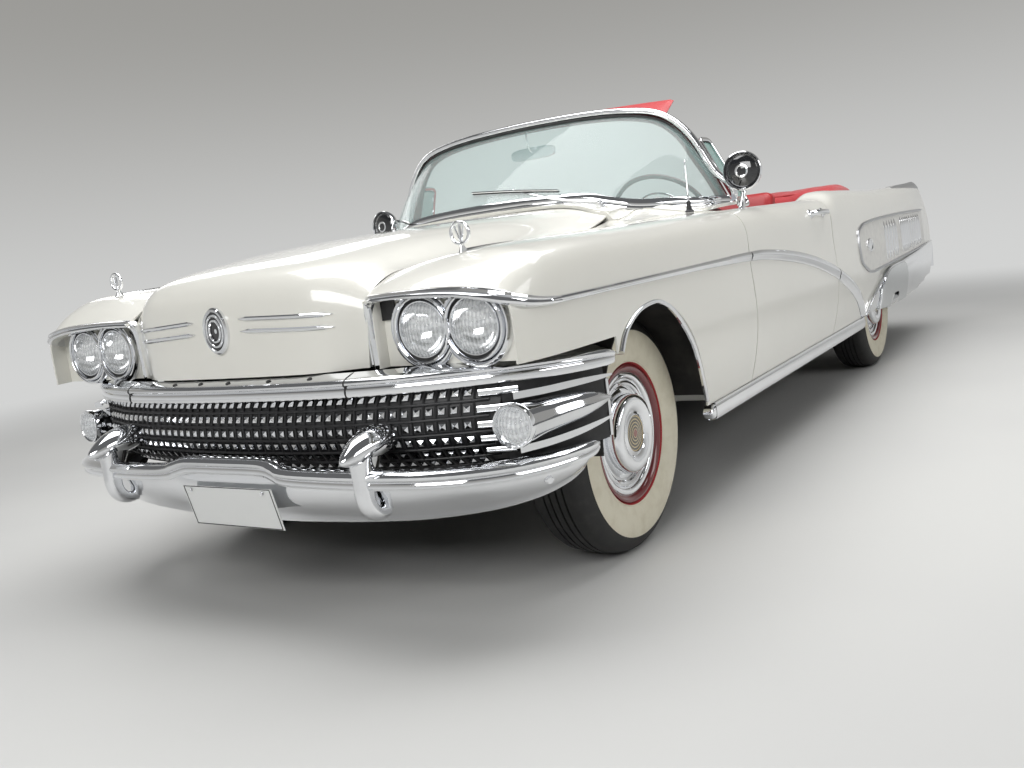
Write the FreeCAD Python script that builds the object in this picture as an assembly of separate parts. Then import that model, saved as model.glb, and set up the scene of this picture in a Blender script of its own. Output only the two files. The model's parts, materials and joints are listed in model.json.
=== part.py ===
import FreeCAD, Part
import math
import os

# Two-door open tourer of the late 1950s, in millimetres.
# +X is the front, +Y is the driver's side (left), +Z is up, and z = 0 is the ground.

V = FreeCAD.Vector
ACROSS = V(0, 1, 0)
UPWARD = V(0, 0, 1)
FORWARD = V(1, 0, 0)

# Overall sizes that the body tables follow
BODY_HALF_LENGTH = 2884.0
BODY_HALF_WIDTH = 1000.0
BELT_HEIGHT = 1000.0

# Running gear
WHEELBASE = 3239.0
FRONT_AXLE_X = 1967.0
REAR_AXLE_X = FRONT_AXLE_X - WHEELBASE
FRONT_TRACK = 1524.0
REAR_TRACK = 1549.0
TYRE_RADIUS = 367.0
TYRE_HALF_WIDTH = 104.0
TREAD_HALF_WIDTH = 74.0
BEAD_RADIUS = 190.0
BEAD_HALF_WIDTH = 74.0
TYRE_TO_RIM = 0.3
RIM_WALL = 12.0
COVER_STAND_OUT = 106.0
COVER_SHARES = (
    (0.0, 0.960), (0.270, 0.955), (0.292, 0.930), (0.305, 0.960), (0.340, 0.935), (0.400, 0.960), (0.530, 1.000),
    (0.590, 0.975), (0.620, 0.920), (0.645, 0.760), (0.665, 0.560), (0.690, 0.535), (0.730, 0.560), (0.765, 0.565),
    (0.790, 0.640), (0.825, 0.655), (0.860, 0.620), (0.880, 0.640), (0.910, 0.690), (0.950, 0.710), (0.985, 0.700),
)
HUB_REACH = 66.0
HUB_RADIUS = 44.0
HUB_BORE = 20.0
HUB_FIT = 0.3
DRUM_RADIUS = 150.0
DRUM_WIDTH = 54.0
DRUM_RUNNING_GAP = 6.0

# Steering and front suspension
KINGPIN_Y = 700.0
BALL_JOINT_DROP = 132.0
UPRIGHT_RADIUS = 20.0
STEER_ARM_BACK = 150.0
STEER_ARM_IN = 85.0
STEER_ARM_WIDTH = 30.0
STEER_ARM_THICK = 18.0
STEER_ARM_Z = 252.0
TIE_ROD_RADIUS = 11.0
TIE_ROD_DROP = 8.0
ARM_INNER_Y = 452.0
ARM_HALF_WIDTH = 48.0
ARM_THICK = 22.0
ARM_TO_JOINT = 6.0

# Chassis frame
RAIL_WIDTH = 70.0
RAIL_HEIGHT = 90.0
CROSS_MEMBER_WIDTH = 90.0
FRAME_END_GAP = 1.0

# Body sheet and gaps
SKIN = 6.0
SHUT_GAP = 6.0
TRIM_SEAT = 0.3
HALF_GAP = SHUT_GAP / 2
TRIM_STAND = 11.0
ARCH_FRONT_REACH = 322.0
ARCH_REAR_REACH = 380.0
ARCH_TOP_Z = 766.0
ARCH_FOOT_Z = 300.0
SILL_SEAL_WIDTH = 30.0
SILL_SEAL_IN = 12.0

# Side of the body: for each station, shares of half length, then ten (y, z) shares from the
# sill to the crest of the belt
FLANK_SHARES = (
    (-0.934, ((0.930, 0.400), (0.945, 0.480), (0.955, 0.560), (0.957, 0.640), (0.953, 0.740),
              (0.940, 0.840), (0.920, 0.925), (0.900, 0.990), (0.880, 1.030), (0.858, 1.046))),
    (-0.693, ((0.945, 0.345), (0.965, 0.440), (0.978, 0.540), (0.982, 0.630), (0.980, 0.735),
              (0.972, 0.835), (0.958, 0.920), (0.935, 0.985), (0.905, 1.018), (0.872, 1.030))),
    (-0.455, ((0.950, 0.345), (0.972, 0.440), (0.985, 0.535), (0.990, 0.625), (0.988, 0.730),
              (0.980, 0.830), (0.970, 0.915), (0.948, 0.975), (0.915, 1.008), (0.878, 1.021))),
    (-0.243, ((0.955, 0.372), (0.976, 0.460), (0.990, 0.548), (0.996, 0.632), (0.992, 0.735),
              (0.985, 0.835), (0.976, 0.925), (0.955, 0.990), (0.920, 1.024), (0.880, 1.034))),
    (-0.060, ((0.955, 0.372), (0.978, 0.460), (0.994, 0.550), (1.000, 0.635), (0.995, 0.735),
              (0.987, 0.840), (0.982, 0.930), (0.962, 0.998), (0.922, 1.033), (0.880, 1.042))),
    (0.000, ((0.955, 0.372), (0.978, 0.460), (0.994, 0.550), (1.000, 0.632), (0.996, 0.727),
             (0.988, 0.825), (0.986, 0.908), (0.965, 0.970), (0.922, 1.000), (0.880, 1.007))),
    (0.139, ((0.955, 0.372), (0.978, 0.460), (0.994, 0.550), (1.000, 0.630), (0.996, 0.725),
             (0.989, 0.820), (0.987, 0.905), (0.965, 0.968), (0.922, 0.998), (0.880, 1.006))),
    (0.402, ((0.955, 0.372), (0.978, 0.460), (0.994, 0.550), (1.000, 0.630), (0.996, 0.725),
             (0.989, 0.820), (0.987, 0.905), (0.965, 0.966), (0.922, 0.996), (0.880, 1.004))),
    (0.682, ((0.955, 0.372), (0.978, 0.460), (0.993, 0.550), (1.000, 0.630), (0.996, 0.720),
             (0.990, 0.815), (0.986, 0.905), (0.964, 0.960), (0.922, 0.984), (0.880, 0.991))),
    (0.798, ((0.950, 0.372), (0.970, 0.460), (0.985, 0.550), (0.992, 0.630), (0.990, 0.720),
             (0.987, 0.812), (0.983, 0.900), (0.963, 0.955), (0.924, 0.979), (0.880, 0.987))),
    (0.881, ((0.935, 0.372), (0.955, 0.460), (0.968, 0.550), (0.975, 0.630), (0.978, 0.715),
             (0.977, 0.800), (0.973, 0.882), (0.955, 0.937), (0.922, 0.964), (0.880, 0.974))),
    (0.911, ((0.922, 0.372), (0.940, 0.460), (0.952, 0.550), (0.960, 0.630), (0.964, 0.708),
             (0.965, 0.785), (0.962, 0.855), (0.948, 0.903), (0.919, 0.928), (0.880, 0.939))),
    (0.933, ((0.900, 0.372), (0.918, 0.460), (0.932, 0.550), (0.940, 0.630), (0.946, 0.695),
             (0.949, 0.755), (0.948, 0.812), (0.938, 0.855), (0.914, 0.878), (0.880, 0.888))),
)

# Top of the front fender inboard of the crest: crown, valley and hood seam
FENDER_TOP_SHARES = (
    (0.402, ((0.740, 1.040), (0.640, 1.060), (0.551, 1.068))),
    (0.450, ((0.740, 1.010), (0.640, 1.024), (0.551, 1.034))),
    (0.551, ((0.740, 0.998), (0.640, 0.993), (0.551, 0.992))),
    (0.682, ((0.740, 0.996), (0.640, 0.990), (0.551, 0.986))),
    (0.798, ((0.740, 0.990), (0.630, 0.981), (0.531, 0.970))),
    (0.881, ((0.740, 0.980), (0.615, 0.968), (0.506, 0.950))),
    (0.911, ((0.740, 0.944), (0.610, 0.936), (0.500, 0.920))),
    (0.933, ((0.740, 0.892), (0.610, 0.890), (0.496, 0.884))),
)

# Top of the rear quarter inboard of the crest, down to its inner edge
QUARTER_TOP_SHARES = (
    (-0.934, ((0.842, 1.034), (0.822, 0.900), (0.800, 0.740))),
    (-0.908, ((0.844, 1.032), (0.823, 0.940), (0.800, 0.846))),
    (-0.874, ((0.846, 1.029), (0.824, 0.965), (0.800, 0.906))),
    (-0.815, ((0.850, 1.025), (0.825, 0.984), (0.800, 0.948))),
    (-0.728, ((0.852, 1.019), (0.826, 0.996), (0.800, 0.976))),
    (-0.624, ((0.853, 1.014), (0.827, 1.001), (0.800, 0.989))),
    (-0.530, ((0.854, 1.012), (0.828, 1.002), (0.800, 0.991))),
    (-0.243, ((0.854, 1.034), (0.826, 1.028), (0.800, 1.008))),
    (-0.060, ((0.854, 1.042), (0.826, 1.036), (0.800, 1.016))),
    (0.000, ((0.854, 1.008), (0.826, 1.004), (0.800, 0.990))),
)

# Hood: longitudinal stations from the cowl to the chin, as (x, z) shares on the centre line
# and (x, y, z) shares at the seam
HOOD_SHARES = (
    ((0.484, 1.098), (0.476, 0.545, 1.040)),
    ((0.551, 1.094), (0.545, 0.545, 0.992)),
    ((0.640, 1.084), (0.636, 0.545, 0.988)),
    ((0.725, 1.072), (0.720, 0.538, 0.982)),
    ((0.800, 1.057), (0.798, 0.525, 0.970)),
    ((0.865, 1.036), (0.864, 0.504, 0.955)),
    ((0.915, 1.014), (0.897, 0.496, 0.938)),
    ((0.940, 0.984), (0.917, 0.490, 0.902)),
    ((0.951, 0.935), (0.9235, 0.486, 0.860)),
    ((0.9535, 0.860), (0.9245, 0.481, 0.800)),
    ((0.9535, 0.780), (0.9250, 0.476, 0.755)),
    ((0.9530, 0.712), (0.9255, 0.472, 0.712)),
)
HOOD_ACROSS_SHARES = (0.0, 0.25, 0.50, 0.68, 0.82, 0.92, 1.0)
HOOD_FALL_SHARES = (0.0, 0.015, 0.07, 0.20, 0.50, 0.83, 1.0)

# Cowl: (centre x, edge x, centre z, edge z) shares for the part ahead of the doors and the part between them
COWL_FRONT_SHARES = ((0.4818, 0.4738, 1.100, 1.042), (0.450, 0.445, 1.106, 1.046),
                     (0.4012, 0.4012, 1.112, 1.070))
COWL_REAR_SHARES = ((0.402, 0.402, 1.112, 1.010), (0.345, 0.345, 1.102, 1.018),
                    (0.292, 0.292, 1.070, 1.022))
COWL_FRONT_EDGE_SHARE = 0.5503
COWL_REAR_EDGE_SHARE = 0.848
COWL_REAR_BOW_SHARES = ((0.0, 0.0), (0.16, 0.006), (0.32, 0.029), (0.44, 0.082), (0.53, 0.206),
                        (0.60, 0.340), (0.66, 0.440), (0.82, 0.80), (1.0, 1.0))
COWL_WALL = 12.0

# Deck behind the folded top and down the tail: (x, centre z) shares
DECK_SHARES = ((-0.508, 1.012), (-0.624, 1.011), (-0.728, 0.998), (-0.815, 0.970), (-0.874, 0.928),
               (-0.908, 0.868), (-0.9215, 0.780), (-0.926, 0.650), (-0.924, 0.560))
DECK_EDGE_SHARE = 0.7997
DECK_EDGE_DROP = 24.0
LID_EDGE_SHARE = 0.620
LID_FRONT_SHARE = -0.536
LID_CHIN_SHARE = 0.668
LID_LIP_WIDTH = 14.0
LID_LIP_THICK = 3.0

# Seams
DOOR_FRONT_SHARE = 0.402
DOOR_REAR_SHARE = 0.0
DOOR_WALL_SHARES = ((0.0, 0.800), (0.255, 0.800), (0.292, 0.856), (0.402, 0.856))
DOOR_REAR_TAPER = 22.0
DOOR_AXIS_OUT = 1016.0
FENDER_FRONT_SHARE = 0.932
FENDER_CHIN_SHARE = 0.706
FENDER_FACE_IN_SHARE = 0.502
QUARTER_REAR_SHARE = -0.934
JAMB_DEPTH = 34.0
PILLAR_DEPTH = 40.0

# Lamps
LAMP_LENS_RADIUS = 73.0
LAMP_RING_WALL = 9.0
LAMP_OUTER_Y = 806.0
LAMP_INNER_Y = 645.0
LAMP_Z = 799.0
LAMP_LENS_X = 2642.0
LAMP_DEPTH = 90.0
LAMP_BEZEL_MARGIN = 10.0
LAMP_BEZEL_THICK = 14.0
LENS_BULGE = 16.0
PARK_LAMP_RADIUS = 46.0
PARK_LAMP_SHARES = (0.914, 0.880, 0.548)

# Glass and its frame: (x, y, z) shares along the base and along the top, centre to pillar
GLASS_BASE_SHARES = ((0.4612, 0.000, 1.122), (0.4577, 0.190, 1.118), (0.4473, 0.380, 1.105),
                     (0.4317, 0.520, 1.092), (0.4040, 0.645, 1.078), (0.3710, 0.732, 1.064),
                     (0.3329, 0.790, 1.052), (0.2947, 0.818, 1.046))
GLASS_TOP_SHARES = ((0.3415, 0.000, 1.452), (0.3405, 0.190, 1.449), (0.3357, 0.370, 1.440),
                    (0.3294, 0.490, 1.425), (0.3207, 0.585, 1.398), (0.3155, 0.645, 1.355),
                    (0.3121, 0.690, 1.302), (0.3096, 0.722, 1.245))
PILLAR_FOOT_SHARES = ((0.3020, 0.778, 1.140), (0.2930, 0.8185, 1.0345))
GLASS_THICK = 6.0
GLASS_BULGE = 14.0
FRAME_BAR_WIDTH = 40.0
FRAME_BAR_HEIGHT = 26.0

# Cabin
FLOOR_Z = 305.0
FLOOR_THICK = 12.0
FLOOR_HALF_WIDTH = 900.0
ROCKER_LOW_Z = 311.0
ROCKER_HIGH_Z = 366.0
ROCKER_OUT_SHARE = 0.966
ROCKER_WIDTH = 60.0
ROCKER_FRONT_SHARE = 0.548
ROCKER_REAR_SHARE = -0.210
FIREWALL_X = 1176.0
CABIN_REAR_X = -960.0
FRONT_SEAT_HALF_WIDTH = 700.0
REAR_SEAT_HALF_WIDTH = 600.0
REAR_SEAT_BASE_Z = 470.0
SEAT_ROUND = 45.0
SEAT_FOOT_HEIGHT = 90.0
STEER_WHEEL_RADIUS = 215.0
STEER_RIM_RADIUS = 11.0
STEER_WHEEL_CENTRE = (580.0, 410.0, 1011.0)
STEER_COLUMN_TILT = 34.0
STEER_COLUMN_RADIUS = 24.0
STEER_COLUMN_LENGTH = 560.0
STEER_SHAFT_RADIUS = 14.0
STEER_SHAFT_LENGTH = 60.0
STEER_HUB_RADIUS = 38.0
STEER_HUB_DEPTH = 46.0
HORN_RING_RADIUS = 120.0
SPOKE_WIDTH = 26.0

OVERRUN = 40.0


def place(x_share, y_share, z_share):
    return V(x_share * BODY_HALF_LENGTH, y_share * BODY_HALF_WIDTH, z_share * BELT_HEIGHT)


def along(x_share):
    return x_share * BODY_HALF_LENGTH


def glide(table, at):
    """Smooth value of a table of (position, value), with no overshoot between its points."""
    spots = [row[0] for row in table]
    values = [row[1] for row in table]
    if at <= spots[0]:
        return values[0]
    if at >= spots[-1]:
        return values[-1]
    last = len(spots) - 1
    steps = [spots[i + 1] - spots[i] for i in range(last)]
    slopes = [(values[i + 1] - values[i]) / steps[i] for i in range(last)]
    tangents = [slopes[0]]
    for i in range(1, last):
        if slopes[i - 1] * slopes[i] <= 0:
            tangents.append(0.0)
        else:
            first = 2 * steps[i] + steps[i - 1]
            second = steps[i] + 2 * steps[i - 1]
            tangents.append((first + second) / (first / slopes[i - 1] + second / slopes[i]))
    tangents.append(slopes[-1])
    i = max(k for k in range(last) if spots[k] <= at)
    t = (at - spots[i]) / steps[i]
    rise = t * t * (3 - 2 * t)
    lead = t * (1 - t) ** 2 * steps[i] * tangents[i]
    trail = t * t * (t - 1) * steps[i] * tangents[i + 1]
    return values[i] + rise * (values[i + 1] - values[i]) + lead + trail


def glide_rows(table, at):
    """Every (y, z) row of a body table, taken at one station."""
    count = len(table[0][1])
    rows = []
    for row in range(count):
        wide = glide([(spot, pairs[row][0]) for spot, pairs in table], at)
        high = glide([(spot, pairs[row][1]) for spot, pairs in table], at)
        rows.append((wide, high))
    return rows


def spread(first, last, count):
    return [first + (last - first) * i / (count - 1) for i in range(count)]


def even_marks(lines):
    """Positions from 0 to 1 along a family of lines, from their mean chords."""
    marks = [0.0]
    for i in range(1, len(lines[0])):
        chord = sum((line[i] - line[i - 1]).Length for line in lines) / len(lines)
        marks.append(marks[-1] + chord)
    return [mark / marks[-1] for mark in marks]


def grid_marks(grid):
    columns = [list(column) for column in zip(*grid)]
    return even_marks(columns), even_marks(grid)


def skin_face(grid, marks):
    """Smooth surface through every point of a grid, spaced by the marks given."""
    columns = [list(column) for column in zip(*grid)]
    down, over = marks
    curve = Part.BSplineCurve()
    down_poles = []
    for column in columns:
        curve.interpolate(Points=column, Parameters=down)
        down_poles.append(curve.getPoles())
    frame = (curve.getMultiplicities(), curve.getKnots(), curve.Degree)
    net = []
    for line in zip(*down_poles):
        curve.interpolate(Points=list(line), Parameters=over)
        net.append(curve.getPoles())
    surface = Part.BSplineSurface()
    surface.buildFromPolesMultsKnots(net, frame[0], curve.getMultiplicities(), frame[1],
                                     curve.getKnots(), False, False, frame[2], curve.Degree)
    return surface


def strip_face(near, far):
    """Face ruled straight between two curves that share their knots."""
    surface = Part.BSplineSurface()
    surface.buildFromPolesMultsKnots([near.getPoles(), far.getPoles()], [2, 2],
                                     near.getMultiplicities(), [0.0, 1.0], near.getKnots(),
                                     False, False, 1, near.Degree)
    return surface.toShape()


def slab(outer, inner):
    """Closed solid between two grids of points, with ruled edges."""
    marks = grid_marks(outer)
    near = skin_face(outer, marks)
    far = skin_face(inner, marks)
    faces = [near.toShape(), far.toShape()]
    for end in (0.0, 1.0):
        faces.append(strip_face(near.uIso(end), far.uIso(end)))
        faces.append(strip_face(near.vIso(end), far.vIso(end)))
    shell = Part.Shell(faces)
    shell.sewShape()
    solid = Part.makeSolid(shell)
    if solid.Volume < 0:
        solid.reverse()
    return solid


def inward(grid, depth, side=1):
    """Grid moved along its own normals by a depth, to the side given."""
    rows = len(grid)
    columns = len(grid[0])
    moved = []
    for i in range(rows):
        line = []
        for j in range(columns):
            down = grid[min(i + 1, rows - 1)][j] - grid[max(i - 1, 0)][j]
            over = grid[i][min(j + 1, columns - 1)] - grid[i][max(j - 1, 0)]
            normal = down.cross(over)
            normal.normalize()
            line.append(grid[i][j] + normal * depth * side)
        moved.append(line)
    return moved


def shell_slab(grid, depth, side=1):
    return slab(grid, inward(grid, depth, side))


def room_inside(grid, side=1):
    """Space from just above a skin down to well below it, to trim what stands on the skin."""
    return slab(inward(grid, TRIM_SEAT, -side), inward(grid, OVERRUN, side))


def room_outside(grid, depth, side=1):
    """Space from a depth under a skin out to well above it, to trim what stands below."""
    return slab(inward(grid, 2 * OVERRUN, -side), inward(grid, depth, side))


def largest(shape):
    return max(shape.Solids, key=lambda solid: solid.Volume)


def block(low, high):
    size = high - low
    return Part.makeBox(size.x, size.y, size.z, low)


def round_block(low, high, radius):
    solid = block(low, high)
    limit = 0.45 * min(high.x - low.x, high.y - low.y, high.z - low.z)
    return solid.makeFillet(min(radius, limit), solid.Edges)


def rod(start, end, radius):
    axis = end - start
    return Part.makeCylinder(radius, axis.Length, start, axis)


def tube(start, end, radius, bore):
    return rod(start, end, radius).cut(rod(start, end, bore))


def smooth_edge(points):
    curve = Part.BSplineCurve()
    curve.interpolate(points)
    return curve.toShape()


def closed_outline(points):
    curve = Part.BSplineCurve()
    curve.interpolate(points, PeriodicFlag=True)
    return Part.Wire([curve.toShape()])


def oval(centre, wide, high, squareness):
    """Closed smooth outline round a centre, from its two half axes; squareness fills the corners."""
    turns = 12
    points = []
    for k in range(turns):
        angle = 2 * math.pi * k / turns
        c = math.cos(angle)
        s = math.sin(angle)
        reach = (abs(c) ** squareness + abs(s) ** squareness) ** (-1.0 / squareness)
        points.append(centre + wide * (c * reach) + high * (s * reach))
    return closed_outline(points)


def bar(points, widths, heights, squareness=3.0, up=UPWARD, sections=13):
    """Smooth bar through the points; its section follows the path, level across and upright."""
    curve = Part.BSplineCurve()
    curve.interpolate(points)
    marks = even_marks([points])
    low = curve.FirstParameter
    high = curve.LastParameter
    wires = []
    for spot in spread(0.0, 1.0, sections):
        at = low + (high - low) * spot
        point = curve.value(at)
        side = curve.tangent(at)[0].cross(up)
        side.normalize()
        rise = side.cross(curve.tangent(at)[0])
        rise.normalize()
        wide = side * (glide(list(zip(marks, widths)), spot) / 2)
        high_half = rise * (glide(list(zip(marks, heights)), spot) / 2)
        wires.append(oval(point, wide, high_half, squareness))
    return Part.makeLoft(wires, True, False)


def beam(points, width, height):
    """Straight-edged box beam through the points."""
    wires = []
    last = len(points) - 1
    for i, point in enumerate(points):
        heading = points[min(i + 1, last)] - points[max(i - 1, 0)]
        side = heading.cross(UPWARD)
        side.normalize()
        wide = side * (width / 2)
        high = UPWARD * (height / 2)
        corners = [point - wide - high, point + wide - high, point + wide + high, point - wide + high]
        wires.append(Part.makePolygon(corners + corners[:1]))
    return Part.makeLoft(wires, True, True)


def turned(profile, centre, axis, smooth=False):
    """Solid turned about an axis through a centre; the profile is (radius, distance) pairs."""
    out = UPWARD if abs(axis.z) < 0.5 else FORWARD
    points = [centre + out * radius + axis * distance for radius, distance in profile]
    if smooth:
        edges = [smooth_edge(points), Part.makeLine(points[-1], points[0])]
        wire = Part.Wire(edges)
    else:
        wire = Part.makePolygon(points + points[:1])
    return Part.Face(wire).revolve(centre, axis, 360)


def fused(solids):
    whole = solids[0].multiFuse(solids[1:])
    return whole.removeSplitter()


def mirrored(shape):
    return shape.mirror(V(0, 0, 0), ACROSS)


def both(shape):
    return [shape, mirrored(shape)]


def save(name, shapes):
    solids = []
    for shape in shapes:
        solids.extend(shape.Solids)
    whole = solids[0] if len(solids) == 1 else Part.makeCompound(solids)
    whole.exportStep("parts/" + name + ".step")


def flank_point(x_share, row_share):
    """Point on the near side of the body; the row share runs from sill to crest."""
    rows = glide_rows(FLANK_SHARES, x_share)
    last = len(rows) - 1
    wide = glide([(i / last, row[0]) for i, row in enumerate(rows)], row_share)
    high = glide([(i / last, row[1]) for i, row in enumerate(rows)], row_share)
    return place(x_share, wide, high)


def flank_y(x_share, z_share):
    """Half width of the body at a station and height."""
    rows = glide_rows(FLANK_SHARES, x_share)
    return BODY_HALF_WIDTH * glide([(row[1], row[0]) for row in rows], z_share)


def flank_strip(line, depth, lift):
    """Strip that lies on the side of the body: a line of (x, low z, high z) shares."""
    marks = [row[0] for row in line]
    rising = line if marks[0] < marks[-1] else list(reversed(line))
    lows = [(row[0], row[1]) for row in rising]
    highs = [(row[0], row[2]) for row in rising]
    stations = []
    for first, last in zip(marks, marks[1:]):
        stations.extend(spread(first, last, 4)[:-1])
    stations.append(marks[-1])
    grids = []
    for stand in (lift, lift + depth):
        grid = []
        for x_share in stations:
            column = []
            for z_share in spread(glide(lows, x_share), glide(highs, x_share), 4):
                point = place(x_share, 0, z_share)
                point.y = flank_y(x_share, z_share) + stand
                column.append(point)
            grid.append(column)
        grids.append(grid)
    return slab(grids[1], grids[0])


# Wheels and tyres

def make_tyre(centre):
    profile = ((BEAD_RADIUS, -BEAD_HALF_WIDTH),
               (0.62 * BEAD_RADIUS + 0.38 * TYRE_RADIUS, -0.97 * TYRE_HALF_WIDTH),
               (0.42 * BEAD_RADIUS + 0.58 * TYRE_RADIUS, -TYRE_HALF_WIDTH),
               (0.16 * BEAD_RADIUS + 0.84 * TYRE_RADIUS, -0.93 * TYRE_HALF_WIDTH),
               (0.984 * TYRE_RADIUS, -TREAD_HALF_WIDTH),
               (TYRE_RADIUS, 0),
               (0.984 * TYRE_RADIUS, TREAD_HALF_WIDTH),
               (0.16 * BEAD_RADIUS + 0.84 * TYRE_RADIUS, 0.93 * TYRE_HALF_WIDTH),
               (0.42 * BEAD_RADIUS + 0.58 * TYRE_RADIUS, TYRE_HALF_WIDTH),
               (0.62 * BEAD_RADIUS + 0.38 * TYRE_RADIUS, 0.97 * TYRE_HALF_WIDTH),
               (BEAD_RADIUS, BEAD_HALF_WIDTH))
    points = [centre + UPWARD * radius + ACROSS * offset for radius, offset in profile]
    side = (smooth_edge(points[:5]), smooth_edge(points[4:7]), smooth_edge(points[6:]))
    wire = Part.Wire(list(side) + [Part.makeLine(points[-1], points[0])])
    return Part.Face(wire).revolve(centre, ACROSS, 360)


def make_wheel(centre):
    rim = BEAD_RADIUS - TYRE_TO_RIM
    cover = [(radius * rim, out * COVER_STAND_OUT) for radius, out in COVER_SHARES]
    well = HUB_REACH / 2
    cover += [(rim, BEAD_HALF_WIDTH), (rim, -BEAD_HALF_WIDTH), (rim - RIM_WALL, -BEAD_HALF_WIDTH),
              (rim - RIM_WALL, 0.6 * well), (DRUM_RADIUS, 0.6 * well), (DRUM_RADIUS, -DRUM_WIDTH / 2),
              (HUB_BORE, -DRUM_WIDTH / 2), (HUB_BORE, well), (0.0, well)]
    return turned(cover, centre, ACROSS)


def wheel_centres():
    half_front = FRONT_TRACK / 2
    half_rear = REAR_TRACK / 2
    return (("front_left", V(FRONT_AXLE_X, half_front, TYRE_RADIUS)),
            ("front_right", V(FRONT_AXLE_X, -half_front, TYRE_RADIUS)),
            ("rear_left", V(REAR_AXLE_X, half_rear, TYRE_RADIUS)),
            ("rear_right", V(REAR_AXLE_X, -half_rear, TYRE_RADIUS)))


def make_wheels():
    for name, centre in wheel_centres():
        near = V(centre.x, abs(centre.y), centre.z)
        tyre = make_tyre(near)
        wheel = make_wheel(near)
        if centre.y < 0:
            tyre = mirrored(tyre)
            wheel = mirrored(wheel)
        save("tyre_" + name, [tyre])
        save("wheel_" + name, [wheel])


# Steering knuckles and tie rod

BACKING_THICK = 6.0
SPINDLE_INSET = 8.0
BALL_STUD_RADIUS = 12.0
BALL_STUD_LENGTH = 25.0


def make_knuckle():
    kingpin = V(FRONT_AXLE_X, KINGPIN_Y, TYRE_RADIUS)
    low = kingpin - UPWARD * BALL_JOINT_DROP
    high = kingpin + UPWARD * BALL_JOINT_DROP
    wheel_y = FRONT_TRACK / 2
    drum_face = wheel_y - DRUM_WIDTH / 2 - DRUM_RUNNING_GAP
    upright = rod(low, high, UPRIGHT_RADIUS)
    axle_radius = HUB_BORE - HUB_FIT
    hub_end = V(FRONT_AXLE_X, wheel_y + HUB_REACH / 2 - SPINDLE_INSET, TYRE_RADIUS)
    spindle = rod(kingpin, hub_end, axle_radius)
    backing = rod(V(FRONT_AXLE_X, drum_face - BACKING_THICK, TYRE_RADIUS),
                  V(FRONT_AXLE_X, drum_face, TYRE_RADIUS), DRUM_RADIUS)
    corners = [(0, STEER_ARM_WIDTH / 2), (STEER_ARM_WIDTH / 2, 0), (0, -STEER_ARM_WIDTH),
               (-STEER_ARM_BACK / 3, -STEER_ARM_IN),
               (-STEER_ARM_BACK - STEER_ARM_WIDTH / 2, -STEER_ARM_IN - STEER_ARM_WIDTH / 2),
               (-STEER_ARM_BACK - STEER_ARM_WIDTH / 2, -STEER_ARM_IN + STEER_ARM_WIDTH / 2),
               (-STEER_ARM_BACK / 3, -STEER_ARM_IN + STEER_ARM_WIDTH)]
    points = [V(FRONT_AXLE_X + x, KINGPIN_Y + y, STEER_ARM_Z) for x, y in corners]
    arm = Part.Face(Part.makePolygon(points + points[:1])).extrude(UPWARD * STEER_ARM_THICK)
    socket = BALL_STUD_LENGTH + SPINDLE_INSET / 2
    solid = fused([upright, spindle, backing, arm])
    solid = solid.cut(rod(low, low + UPWARD * socket, BALL_STUD_RADIUS + HUB_FIT))
    return solid.cut(rod(high - UPWARD * socket, high, BALL_STUD_RADIUS + HUB_FIT))


def make_tie_rod():
    reach = KINGPIN_Y - STEER_ARM_IN
    centre = V(FRONT_AXLE_X - STEER_ARM_BACK, 0, STEER_ARM_Z - TIE_ROD_DROP - TIE_ROD_RADIUS)
    end = ACROSS * reach
    return rod(centre - end, centre + end, TIE_ROD_RADIUS)


# Frame, axles and drive line

RAIL_SHARES = ((0.915, 0.385, 0.370), (0.820, 0.395, 0.355), (0.560, 0.395, 0.345),
               (0.500, 0.370, 0.330), (0.440, 0.315, 0.300), (0.410, 0.290, 0.245),
               (0.120, 0.150, 0.235), (-0.080, 0.150, 0.235), (-0.333, 0.500, 0.235),
               (-0.405, 0.525, 0.520), (-0.475, 0.530, 0.520), (-0.560, 0.530, 0.490),
               (-0.700, 0.520, 0.420), (-0.930, 0.500, 0.440))
CROSS_SHARES = (0.880, 0.020, -0.560, -0.900)
CRADLE_LENGTH = 150.0
CRADLE_HEIGHT = 90.0
CRADLE_HALF_WIDTH = 440.0
CRADLE_Z = 330.0
RACK_SLEEVE_WALL = 10.0
RACK_SLEEVE_HALF = 150.0


def rail_z(x_share):
    table = [(row[0], row[2]) for row in reversed(RAIL_SHARES)]
    return glide(table, x_share)


def rail_y(x_share):
    table = [(row[0], row[1]) for row in reversed(RAIL_SHARES)]
    return glide(table, x_share)


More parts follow.
